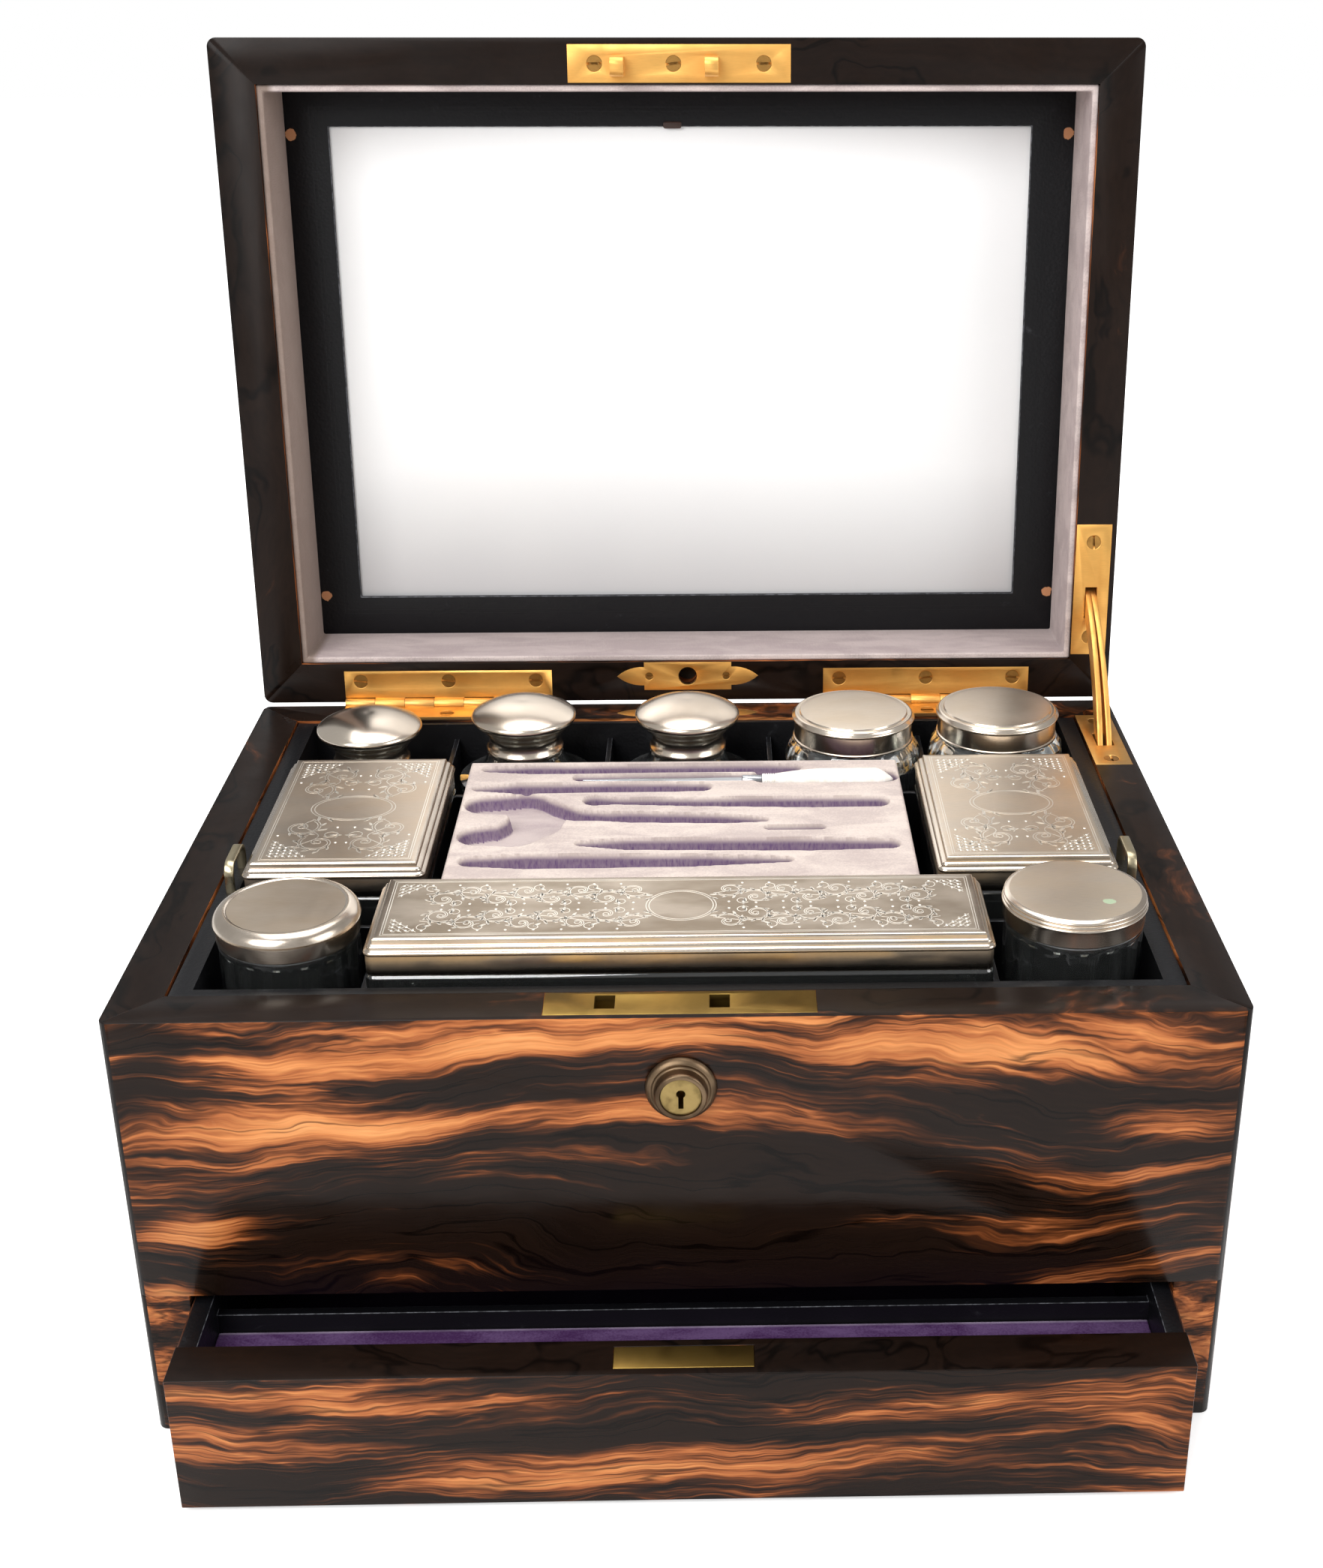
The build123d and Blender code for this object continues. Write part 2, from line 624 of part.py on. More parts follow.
def hinge_beds():
    """What the wood gives up to the leaves and knuckles, on the body rim."""
    beds = []
    for side in (-1, 1):
        x0 = side * HINGE_CENTRE_X - HINGE_LENGTH / 2
        x1 = x0 + HINGE_LENGTH
        front = HALF_DEPTH - HINGE_LEAF_WIDTH
        beds.append(block(x0, x1, front, HINGE_Y, PLATE_BED, LID_RIM))
        room = KNUCKLE_RADIUS + KNUCKLE_CLEARANCE
        beds.append(along_x(room, x0 - KNUCKLE_END_GAP, x1 + KNUCKLE_END_GAP, HINGE_Y, HINGE_Z))
    return beds


# ---- pointed plates ----
def pointed_outline():
    """A block with an ogee-pointed wing at each end."""
    half_block = POINTED_BLOCK_LENGTH / 2
    half_wing = POINTED_WING_WIDTH / 2
    tip = POINTED_TOTAL_LENGTH / 2
    shoulder = half_block + POINTED_SHOULDER
    waist = POINTED_WAIST_WIDTH / 2
    outline = Rectangle(POINTED_BLOCK_LENGTH, POINTED_BLOCK_WIDTH)
    for side in (-1, 1):
        upper = ThreePointArc(
            (side * half_block, half_wing), (side * shoulder, waist), (side * tip, 0)
        )
        lower = ThreePointArc(
            (side * tip, 0), (side * shoulder, -waist), (side * half_block, -half_wing)
        )
        root = Line((side * half_block, -half_wing), (side * half_block, half_wing))
        outline += make_face([upper, lower, root])
    return outline


def pointed_plate(hole_radius):
    plate = extrude(Pos(0, RELEASE_Y, PLATE_BED) * pointed_outline(), amount=PLATE_THICK)
    plate -= upright(hole_radius, PLATE_THICK, 0, RELEASE_Y, PLATE_BED)
    for item in pointed_plate_screws():
        plate -= item
    return plate


def pointed_bed():
    return extrude(Pos(0, RELEASE_Y, PLATE_BED) * pointed_outline(), amount=PLATE_THICK)


def release_button():
    """Domed button on a rod that reaches down to the drawer's catch."""
    rod_end = CATCH_HEIGHT + CATCH_THICK + CATCH_HOOK + CATCH_CLEARANCE
    head = upright(BUTTON_RADIUS, BUTTON_PRESS + BUTTON_RISE + PLATE_THICK, 0, RELEASE_Y,
                   BODY_HEIGHT - BUTTON_PRESS - PLATE_THICK)
    rim = head.edges().group_by(Axis.Z)[-1]
    head = fillet(rim, BUTTON_ROUND)
    return head + upright(ROD_RADIUS, BODY_HEIGHT - rod_end, 0, RELEASE_Y, rod_end)


def release_bore():
    """The stepped bore in the back board, and the pocket whose lip holds the drawer's catch."""
    well = 2 * BUTTON_PRESS + PLATE_THICK + SLIDING_CLEARANCE
    radius = BUTTON_RADIUS + RUNNING_CLEARANCE
    bore = upright(radius, well, 0, RELEASE_Y, BODY_HEIGHT - well)
    bore += upright(ROD_RADIUS + RUNNING_CLEARANCE, BODY_HEIGHT - CATCH_HEIGHT, 0, RELEASE_Y, CATCH_HEIGHT)
    half = CATCH_WIDTH / 2 + CATCH_CLEARANCE
    floor = CATCH_HEIGHT - BUTTON_PRESS - CATCH_CLEARANCE
    mouth_top = CATCH_HEIGHT + CATCH_THICK + CATCH_CLEARANCE
    roof = mouth_top + CATCH_HOOK
    mouth = block(-half, half, INNER_Y, RELEASE_Y, floor, mouth_top)
    keeper = INNER_Y + CATCH_KEEPER
    pocket = block(-half, half, keeper, catch_tip() + CATCH_CLEARANCE, floor, roof)
    return bore + mouth + pocket


# ---- stay ----
def swing(y, z, angle):
    """A point of the closed lid after the lid has opened by an angle."""
    turn = math.radians(-angle)
    dy = y - HINGE_Y
    dz = z - HINGE_Z
    return (
        HINGE_Y + dy * math.cos(turn) - dz * math.sin(turn),
        HINGE_Z + dy * math.sin(turn) + dz * math.cos(turn),
    )


def stay_arm():
    """A curved arm of two sprung leaves, joined at the pivot and splayed at the tail."""
    top_y, top_z = swing(STAY_PIVOT_Y, STAY_PIVOT_Z, LID_OPEN_ANGLE)
    chord_y = top_y - STAY_GUIDE_Y
    chord_z = top_z - STAY_GUIDE_Z
    chord = math.hypot(chord_y, chord_z)
    rise = math.sqrt(STAY_CURVE_RADIUS**2 - (chord / 2) ** 2)
    centre_y = (top_y + STAY_GUIDE_Y) / 2 + rise * chord_z / chord
    centre_z = (top_z + STAY_GUIDE_Z) / 2 - rise * chord_y / chord
    top_angle = math.atan2(top_z - centre_z, top_y - centre_y)
    guide_angle = math.atan2(STAY_GUIDE_Z - centre_z, STAY_GUIDE_Y - centre_y)
    tail_angle = guide_angle + STAY_TAIL / STAY_CURVE_RADIUS
    reach = 2 * STAY_CURVE_RADIUS
    ends = [
        (centre_y + reach * math.cos(a), centre_z + reach * math.sin(a))
        for a in (top_angle, tail_angle)
    ]
    half = STAY_ARM_WIDTH / 2
    band = Circle(STAY_CURVE_RADIUS + half) - Circle(STAY_CURVE_RADIUS - half)
    band = Pos(centre_y, centre_z) * band
    band &= Polygon((centre_y, centre_z), *ends, align=None)
    band += Pos(top_y, top_z) * Circle(half)
    across = Axis((STAY_X, top_y, top_z), (0, -chord_z, chord_y))
    arm = None
    for side in (-1, 1):
        start = STAY_X - (STAY_LEAF_THICK if side < 0 else 0)
        leaf = extrude(Plane.YZ.offset(start) * band, amount=STAY_LEAF_THICK)
        leaf = leaf.rotate(across, side * STAY_SPLAY_ANGLE)
        arm = leaf if arm is None else arm + leaf
    bore = STAY_PIN_RADIUS + RUNNING_CLEARANCE
    out = STAY_LUG_OUT + THROUGH
    return arm - along_x(bore, STAY_X - out, STAY_X + out, top_y, top_z)


def stay_slot_half():
    """Half the width of the slots that the splayed leaves run in."""
    return STAY_LEAF_THICK + STAY_TAIL_SPREAD + SLIDING_CLEARANCE


def stay_plate_outline(rear, length):
    y1 = HALF_DEPTH - rear
    half = STAY_PLATE_WIDTH / 2
    return block(STAY_X - half, STAY_X + half, y1 - length, y1, PLATE_BED, BODY_HEIGHT)


def stay_body_plate():
    plate = stay_plate_outline(STAY_BODY_PLATE_REAR, STAY_BODY_PLATE_LENGTH)
    half = stay_slot_half()
    reach = STAY_ARM_WIDTH / 2 + STAY_GUIDE_ROOM
    plate -= block(
        STAY_X - half, STAY_X + half, STAY_GUIDE_Y - reach, STAY_GUIDE_Y + reach, PLATE_BED, BODY_HEIGHT
    )
    for item in stay_screws(STAY_BODY_PLATE_REAR, STAY_BODY_PLATE_LENGTH, STAY_BODY_SCREW_EDGE):
        plate -= item
    return plate


def stay_body_mortise():
    """The slot in the right-hand wall that swallows the arm as the lid shuts."""
    half = stay_slot_half()
    return block(
        STAY_X - half,
        STAY_X + half,
        STAY_GUIDE_Y - STAY_MORTISE_FRONT,
        STAY_GUIDE_Y + STAY_MORTISE_REAR,
        BODY_HEIGHT - STAY_MORTISE_DEPTH,
        BODY_HEIGHT,
    )


def stay_lid_plate():
    """The plate let into the lid rim, with two lugs and the pin that carries the arm."""
    plate = upside_down(stay_plate_outline(STAY_LID_PLATE_REAR, STAY_LID_PLATE_LENGTH))
    half = STAY_LEAF_THICK + SLIDING_CLEARANCE
    reach = STAY_ARM_WIDTH / 2 + STAY_PIVOT_ROOM
    rear = STAY_PIVOT_Y + reach + STAY_PIVOT_REAR_ROOM
    plate -= block(
        STAY_X - half, STAY_X + half, STAY_PIVOT_Y - reach, rear, LID_RIM, LID_RIM + PLATE_THICK
    )
    for side in (-1, 1):
        inner = STAY_X + side * half
        outer = STAY_X + side * STAY_LUG_OUT
        plate += block(
            min(inner, outer), max(inner, outer),
            STAY_PIVOT_Y - STAY_LUG_HALF, STAY_PIVOT_Y + STAY_LUG_HALF,
            LID_RIM, STAY_PIVOT_Z + STAY_LUG_RISE,
        )
    plate += along_x(
        STAY_PIN_RADIUS, STAY_X - STAY_LUG_OUT, STAY_X + STAY_LUG_OUT, STAY_PIVOT_Y, STAY_PIVOT_Z
    )
    for item in stay_screws(STAY_LID_PLATE_REAR, STAY_LID_PLATE_LENGTH, STAY_LID_SCREW_EDGE):
        plate -= upside_down(item)
    return plate


def stay_lid_mortise():
    return block(
        STAY_X - STAY_LUG_OUT,
        STAY_X + STAY_LUG_OUT,
        STAY_PIVOT_Y - STAY_ARM_WIDTH,
        STAY_PIVOT_Y + STAY_ARM_WIDTH + STAY_MORTISE_SPARE,
        LID_RIM,
        STAY_PIVOT_Z + STAY_ARM_WIDTH,
    )


# ---- lock ----
def lock_plate_outline():
    half = LOCK_PLATE_LENGTH / 2
    half_width = LOCK_PLATE_WIDTH / 2
    y0 = LOCK_PLATE_Y - half_width
    return block(-half, half, y0, y0 + LOCK_PLATE_WIDTH, PLATE_BED, BODY_HEIGHT)


def link_room(clearance):
    """The square holes that the lid's links drop through."""
    half_x = LINK_WIDTH / 2 + clearance
    half_y = LINK_DEPTH / 2 + clearance
    floor = LID_RIM - LINK_HEIGHT - clearance
    return [
        block(x - half_x, x + half_x, LINK_Y - half_y, LINK_Y + half_y, floor, BODY_HEIGHT)
        for x in (LINK_LEFT_X, LINK_RIGHT_X)
    ]


def lock_plate():
    plate = lock_plate_outline()
    for hole in link_room(LINK_HOLE_CLEARANCE):
        plate -= hole
    return plate


def lock_case_room(shrink):
    half = LOCK_CASE_LENGTH / 2 - shrink
    y0 = LINK_Y - LOCK_CASE_DEPTH / 2 + shrink
    y1 = LINK_Y + LOCK_CASE_DEPTH / 2 - shrink
    return block(-half, half, y0, y1, PLATE_BED - LOCK_CASE_HEIGHT + shrink, PLATE_BED)


def lock_case():
    """An open-topped brass box under the lock plate."""
    shell = lock_case_room(0) - lock_case_room(LOCK_CASE_WALL)
    front = LINK_Y - LOCK_CASE_DEPTH / 2
    hole = PLUG_RADIUS + 2 * RUNNING_CLEARANCE
    return shell - along_y(hole, front - THROUGH, front + LOCK_CASE_WALL + THROUGH, 0, KEYHOLE_HEIGHT)


def lock_bolt():
    """The bolt: a bar, two risers with tongues for the links, and a slotted tail."""
    y0 = LINK_Y - BOLT_THICK / 2
    y1 = LINK_Y + BOLT_THICK / 2
    bar_top = LID_RIM - LINK_HEIGHT - 2 * LINK_HOLE_CLEARANCE
    bar_bottom = bar_top - BOLT_BAR_HEIGHT
    first = LINK_LEFT_X - LINK_WIDTH / 2 - BOLT_LINK_GAP
    last = LINK_RIGHT_X - LINK_WIDTH / 2 - BOLT_LINK_GAP
    tongue = BOLT_TRAVEL + BOLT_SPARE
    guide = LOCK_CASE_DEPTH / 2 - LOCK_CASE_WALL - RUNNING_CLEARANCE
    bolt = block(
        first - tongue - BOLT_TONGUE, last, LINK_Y - guide, LINK_Y + guide, bar_bottom, bar_top
    )
    for tip in (first, last):
        root = tip - tongue
        half = BOLT_TONGUE / 2
        bolt += block(root - BOLT_TONGUE, root, y0, y1, bar_bottom, LINK_EYE_Z + half)
        bolt += block(root, tip, y0, y1, LINK_EYE_Z - half, LINK_EYE_Z + half)
    pin_x = -PLUG_PIN_ORBIT * math.sin(PLUG_PIN_START)
    slot_half = PLUG_PIN_RADIUS + BOLT_SLOT_CLEARANCE
    tail_floor = KEYHOLE_HEIGHT + BOLT_TAIL_DROP
    bolt += block(pin_x - BOLT_TAIL_HALF, pin_x + BOLT_TAIL_HALF, y0, y1, tail_floor, bar_bottom)
    slot_top = KEYHOLE_HEIGHT + PLUG_PIN_ORBIT + PLUG_PIN_RADIUS + BOLT_SPARE
    return bolt - block(pin_x - slot_half, pin_x + slot_half, y0, y1, tail_floor, slot_top)


def escutcheon():
    """Round rose with a raised nozzle, and a sleeve let into the wood."""
    back = LINK_Y - LOCK_CASE_DEPTH / 2
    bore = PLUG_RADIUS + RUNNING_CLEARANCE
    face = -HALF_DEPTH
    profile = [
        (bore, -back),
        (SLEEVE_RADIUS, -back),
        (SLEEVE_RADIUS, -face),
        (FLANGE_RADIUS, -face),
        (FLANGE_RADIUS, -face + FLANGE_EDGE),
        (FLANGE_RADIUS - FLANGE_BEVEL, -face + FLANGE_THICK),
        (NOZZLE_RADIUS, -face + FLANGE_THICK),
        (NOZZLE_RADIUS, -face + NOZZLE_LENGTH - NOZZLE_BEVEL),
        (NOZZLE_RADIUS - NOZZLE_BEVEL, -face + NOZZLE_LENGTH),
        (bore, -face + NOZZLE_LENGTH),
    ]
    return Pos(0, 0, KEYHOLE_HEIGHT) * Rot(90, 0, 0) * turned(profile)


def lock_plug():
    """Turning barrel with a keyhole, and the crank pin that drives the bolt."""
    front = -HALF_DEPTH - NOZZLE_LENGTH + PLUG_SET_BACK
    rear = LINK_Y - BOLT_THICK / 2 - PLUG_END_GAP
    eye = KEYHOLE_HEIGHT + KEYHOLE_RISE
    half = KEYHOLE_SLOT_HALF
    plug = along_y(PLUG_RADIUS, front, rear, 0, KEYHOLE_HEIGHT)
    plug -= along_y(KEYHOLE_RADIUS, front, front + KEYHOLE_DEPTH, 0, eye)
    plug -= block(-half, half, front, front + KEYHOLE_DEPTH, KEYHOLE_HEIGHT - KEYHOLE_SLOT_DROP, eye)
    pin_x = -PLUG_PIN_ORBIT * math.sin(PLUG_PIN_START)
    pin_z = KEYHOLE_HEIGHT + PLUG_PIN_ORBIT * math.cos(PLUG_PIN_START)
    return plug + along_y(PLUG_PIN_RADIUS, rear, rear + BOLT_THICK + PLUG_END_GAP, pin_x, pin_z)


def catch_plate():
    """The lid's plate with two links that the bolt shoots through, as for the closed lid."""
    plate = upside_down(lock_plate_outline())
    for item in catch_plate_screws():
        plate -= upside_down(item)
    for x in (LINK_LEFT_X, LINK_RIGHT_X):
        half = LINK_WIDTH / 2
        link = block(
            x - half, x + half, LINK_Y - LINK_DEPTH / 2, LINK_Y + LINK_DEPTH / 2,
            LID_RIM - LINK_HEIGHT, LID_RIM + PLATE_THICK,
        )
        nose = link.edges().filter_by(Axis.X).group_by(Axis.Z)[0]
        link = fillet(nose, LINK_NOSE_ROUND)
        eye = LINK_EYE / 2
        link -= block(
            x - half, x + half, LINK_Y - eye, LINK_Y + eye, LINK_EYE_Z - eye, LINK_EYE_Z + eye
        )
        plate += link
    return plate


# ---- body boards ----
def body_front():
    corner = [
        (-HALF_WIDTH, -HALF_DEPTH),
        (HALF_WIDTH, -HALF_DEPTH),
        (INNER_X, -INNER_Y),
        (-INNER_X, -INNER_Y),
    ]
    board = case_ring(OPENING_TOP, BODY_HEIGHT) & prism(corner, OPENING_TOP, BODY_HEIGHT)
    board -= lock_plate_outline()
    board -= lock_case_room(0)
    return board - along_y(SLEEVE_RADIUS, -HALF_DEPTH - THROUGH, LINK_Y, 0, KEYHOLE_HEIGHT)


def body_back():
    corner = [
        (-INNER_X, INNER_Y),
        (INNER_X, INNER_Y),
        (HALF_WIDTH, HALF_DEPTH),
        (-HALF_WIDTH, HALF_DEPTH),
    ]
    board = case_ring(0, BODY_HEIGHT) & prism(corner, 0, BODY_HEIGHT)
    for bed in hinge_beds():
        board -= bed
    board -= pointed_bed()
    board -= release_bore()
    for item in hinge_screws() + pointed_plate_screws():
        board -= item
    return board


def body_side(side):
    """A side board: mitred above the drawer, square-ended beside it."""
    upper = [
        (side * HALF_WIDTH, -HALF_DEPTH),
        (side * INNER_X, -INNER_Y),
        (side * INNER_X, INNER_Y),
        (side * HALF_WIDTH, HALF_DEPTH),
    ]
    lower = [
        (side * HALF_WIDTH, -HALF_DEPTH),
        (side * INNER_X, -HALF_DEPTH),
        (side * INNER_X, INNER_Y),
        (side * HALF_WIDTH, HALF_DEPTH),
    ]
    outline = RectangleRounded(CASE_WIDTH, CASE_DEPTH, CORNER_RADIUS)
    block_outline = extrude(outline, amount=BODY_HEIGHT)
    board = block_outline & (prism(upper, OPENING_TOP, BODY_HEIGHT) + prism(lower, 0, OPENING_TOP))
    if side > 0:
        board -= stay_plate_outline(STAY_BODY_PLATE_REAR, STAY_BODY_PLATE_LENGTH)
        board -= stay_body_mortise()
        for item in stay_screws(STAY_BODY_PLATE_REAR, STAY_BODY_PLATE_LENGTH, STAY_BODY_SCREW_EDGE):
            board -= item
    return board


def base_board():
    front = -HALF_DEPTH + DRAWER_FRONT_THICK + BASE_FRONT_GAP
    return block(-INNER_X, INNER_X, front, INNER_Y, 0, BASE_THICK)


def well_floor():
    return block(-INNER_X, INNER_X, -INNER_Y, INNER_Y, OPENING_TOP, WELL_FLOOR_TOP)


# ---- lid, built closed ----
def lid_walls():
    walls = case_ring(LID_RIM, LID_CEILING)
    for bed in hinge_beds():
        walls -= upside_down(bed)
    walls -= upside_down(pointed_bed())
    walls -= upright(LID_BUTTON_HOLE_RADIUS, LID_BUTTON_HOLE_DEPTH, 0, RELEASE_Y, LID_RIM)
    walls -= upside_down(lock_plate_outline())
    walls -= upside_down(stay_plate_outline(STAY_LID_PLATE_REAR, STAY_LID_PLATE_LENGTH))
    walls -= stay_lid_mortise()
    for item in lid_screws():
        walls -= item
    return walls


def lid_top():
    outline = RectangleRounded(CASE_WIDTH, CASE_DEPTH, CORNER_RADIUS)
    board = extrude(Pos(0, 0, LID_CEILING) * outline, amount=LID_TOP_THICK)
    return fillet(board.edges().group_by(Axis.Z)[-1], LID_TOP_ROUND)


def lid_lining():
    """Velvet strips round the lid's inner walls."""
    outer = Rectangle(2 * INNER_X, 2 * INNER_Y)
    inner = Rectangle(2 * (INNER_X - LINING_THICK), 2 * (INNER_Y - LINING_THICK))
    depth = MIRROR_RECESS - LINING_DROP
    return extrude(Pos(0, 0, LID_RIM + LINING_DROP) * (outer - inner), amount=depth)


def mirror_frame():
    """Leather-covered board with a window, rebated behind for the glass."""
    start = LID_RIM + MIRROR_RECESS
    board = block(-INNER_X, INNER_X, -INNER_Y, INNER_Y, start, LID_CEILING)
    half_x = MIRROR_WIDTH / 2
    half_y = MIRROR_HEIGHT / 2
    board -= block(-half_x, half_x, MIRROR_Y - half_y, MIRROR_Y + half_y, start, LID_CEILING)
    return board - mirror_glass()


def mirror_glass():
    half_x = MIRROR_WIDTH / 2 + MIRROR_OVERLAP
    half_y = MIRROR_HEIGHT / 2 + MIRROR_OVERLAP
    start = LID_RIM + MIRROR_RECESS + MIRROR_FRAME_LIP
    return block(-half_x, half_x, MIRROR_Y - half_y, MIRROR_Y + half_y, start, LID_CEILING)


# ---- drawer, built closed ----
def pull_out(shape):
    return Pos(0, -DRAWER_OPEN, 0) * shape


def drawer_half_width():
    return INNER_X - DRAWER_SIDE_GAP


def drawer_floor():
    return BASE_THICK + DRAWER_RUN_GAP


def drawer_rear():
    return INNER_Y - DRAWER_BACK_GAP


def drawer_plate():
    half = DRAWER_PLATE_LENGTH / 2
    middle = -HALF_DEPTH + DRAWER_FRONT_THICK / 2
    y0 = middle - DRAWER_PLATE_WIDTH / 2
    y1 = middle + DRAWER_PLATE_WIDTH / 2
    return block(-half, half, y0, y1, DRAWER_TOP - DRAWER_PLATE_THICK, DRAWER_TOP)


def drawer_front():
    half = drawer_half_width()
    rear = -HALF_DEPTH + DRAWER_FRONT_THICK
    board = block(-half, half, -HALF_DEPTH, rear, DRAWER_GROUND_GAP, DRAWER_TOP)
    return board - drawer_plate()


def drawer_box():
    """Sides, back, bottom, the cross wall and the raised floor before it."""
    half = drawer_half_width()
    inner = half - DRAWER_SIDE_THICK
    front = -HALF_DEPTH + DRAWER_FRONT_THICK
    top = DRAWER_TOP - DRAWER_SIDE_DROP
    floor = drawer_floor() + DRAWER_BOTTOM_THICK
    box = block(-half, half, front, drawer_rear(), drawer_floor(), top)
    box -= block(-inner, inner, front, drawer_rear() - DRAWER_SIDE_THICK, floor, top)
    wall = front + DRAWER_COMPARTMENT
    box += block(-inner, inner, wall, wall + DRAWER_WALL_THICK, floor, DRAWER_WALL_HEIGHT)
    shelf = DRAWER_PAD_TOP - DRAWER_PAD_THICK
    box += block(-inner, inner, front, wall, shelf - DRAWER_BOTTOM_THICK, shelf)
    return box


def drawer_pads():
    """The velvet pad of the front compartment and the lining of the rear one."""
    inner = drawer_half_width() - DRAWER_SIDE_THICK
    front = -HALF_DEPTH + DRAWER_FRONT_THICK
    wall = front + DRAWER_COMPARTMENT
    floor = drawer_floor() + DRAWER_BOTTOM_THICK
    pad = block(-inner, inner, front, wall, DRAWER_PAD_TOP - DRAWER_PAD_THICK, DRAWER_PAD_TOP)
    lining = block(
        -inner,
        inner,
        wall + DRAWER_WALL_THICK,
        drawer_rear() - DRAWER_SIDE_THICK,
        floor,
        floor + DRAWER_LINING_THICK,
    )
    return [pad, lining]


def catch_tip():
    """How far back the catch reaches when the drawer is shut."""
    return RELEASE_Y + ROD_RADIUS


def drawer_catch():
    """A sprung tongue on the drawer's back; its hooked end latches in the back board."""
    half = CATCH_WIDTH / 2
    rear = drawer_rear()
    tip = catch_tip()
    top = CATCH_HEIGHT + CATCH_THICK
    tongue = block(-half, half, rear, tip, CATCH_HEIGHT, top)
    foot = block(-half, half, rear, rear + CATCH_THICK, CATCH_HEIGHT - CATCH_FOOT, CATCH_HEIGHT)
    root = INNER_Y + CATCH_KEEPER + CATCH_CLEARANCE
    wedge = Polygon((root, top), (root, top + CATCH_HOOK), (tip, top), align=None)
    hook = extrude(Plane.YZ.offset(-half) * wedge, amount=CATCH_WIDTH, dir=(1, 0, 0))
    return tongue + foot + hook


# ---- tray ----
def tray_frame():
    tray = block(-TRAY_X, TRAY_X, -TRAY_Y, TRAY_Y, WELL_FLOOR_TOP, TRAY_TOP)
    tray -= block(
        -TRAY_INNER_X, TRAY_INNER_X, TRAY_INNER_FRONT, TRAY_INNER_REAR, TRAY_FLOOR, TRAY_TOP
    )
    for loop in tray_loops():
        tray -= loop
    return tray


def tray_loops():
    """Metal strap loops, one let into each side wall, to lift the tray by."""
    loops = []
    height = LOOP_SEAT + LOOP_RISE
    for side in (-1, 1):
        outer = Pos(0, height / 2) * Rectangle(LOOP_SPAN, height)
        outer = fillet(outer.vertices().group_by(Axis.Y)[-1], LOOP_BEND)
        inner_span = LOOP_SPAN - 2 * LOOP_THICK
        inner_height = height - LOOP_THICK
        inner = Pos(0, inner_height / 2) * Rectangle(inner_span, inner_height)
        inner = fillet(inner.vertices().group_by(Axis.Y)[-1], LOOP_BEND - LOOP_THICK)
        centre = side * (TRAY_X - LOOP_INSET)
        sheet = Plane(
            origin=(centre - LOOP_WIDTH / 2, LOOP_CENTRE_Y, TRAY_TOP - LOOP_SEAT),
            x_dir=(0, 1, 0),
            z_dir=(1, 0, 0),
        )
        loops.append(extrude(sheet * (outer - inner), amount=LOOP_WIDTH))
    return loops


def divider_y(y, x0, x1):
    """A divider that runs across the tray."""
    half = DIVIDER_THICK / 2
    return block(x0, x1, y - half, y + half, TRAY_FLOOR, TRAY_TOP - DIVIDER_TOP_DROP)


def divider_x(x, y0, y1):
    """A divider that runs front to back."""
    half = DIVIDER_THICK / 2
    return block(x - half, x + half, y0, y1, TRAY_FLOOR, TRAY_TOP - DIVIDER_TOP_DROP)


def middle_dividers():
    """The x of the two dividers beside the tool tray."""
    gap = CELL_CLEARANCE + DIVIDER_THICK / 2
    return (
        TOOL_TRAY_X - TOOL_TRAY_LENGTH / 2 - gap,
        TOOL_TRAY_X + TOOL_TRAY_LENGTH / 2 + gap,
    )


def front_dividers():
    """The x of the two dividers beside the long box."""
    place = LONG_BOX_CELL_HALF + DIVIDER_THICK / 2
    return -place, place


def back_dividers():
    """The x of the dividers half way between the back row's neighbours."""
    between = BOTTLE_XS + JAR_XS
    return [(a + b) / 2 for a, b in zip(between, between[1:])]


def tray_dividers():
    """The well walls, the raised floors under the boxes and the tool tray's ledges."""
    walls = divider_y(BACK_DIVIDER_Y, -TRAY_INNER_X, TRAY_INNER_X)
    walls += divider_y(FRONT_DIVIDER_Y, -TRAY_INNER_X, TRAY_INNER_X)
    left, right = middle_dividers()
    for x in (left, right):
        walls += divider_x(x, FRONT_DIVIDER_Y, BACK_DIVIDER_Y)
    for x in front_dividers():
        walls += divider_x(x, TRAY_INNER_FRONT, FRONT_DIVIDER_Y)
    for x in back_dividers():
        walls += divider_x(x, BACK_DIVIDER_Y, TRAY_INNER_REAR)
    box_floor = BOX_TOP - BOX_COVER_TOP - BOX_GLASS_HEIGHT
    long_floor = LONG_BOX_TOP - BOX_COVER_TOP - LONG_BOX_GLASS_HEIGHT
    walls += block(-TRAY_INNER_X, left, FRONT_DIVIDER_Y, BACK_DIVIDER_Y, TRAY_FLOOR, box_floor)
    walls += block(right, TRAY_INNER_X, FRONT_DIVIDER_Y, BACK_DIVIDER_Y, TRAY_FLOOR, box_floor)
    west, east = front_dividers()
    walls += block(west, east, TRAY_INNER_FRONT, FRONT_DIVIDER_Y, TRAY_FLOOR, long_floor)
    top = TOOL_TRAY_TOP - TOOL_PAD_THICK - TOOL_BOARD_THICK
    for y, inward in ((FRONT_DIVIDER_Y, 1), (BACK_DIVIDER_Y, -1)):
        near = y + inward * DIVIDER_THICK / 2
        far = near + inward * LEDGE_WIDTH
        # the ledge reaches under the tool board's edge
        walls += block(left, right, min(near, far), max(near, far), top - LEDGE_HEIGHT, top)
    return walls


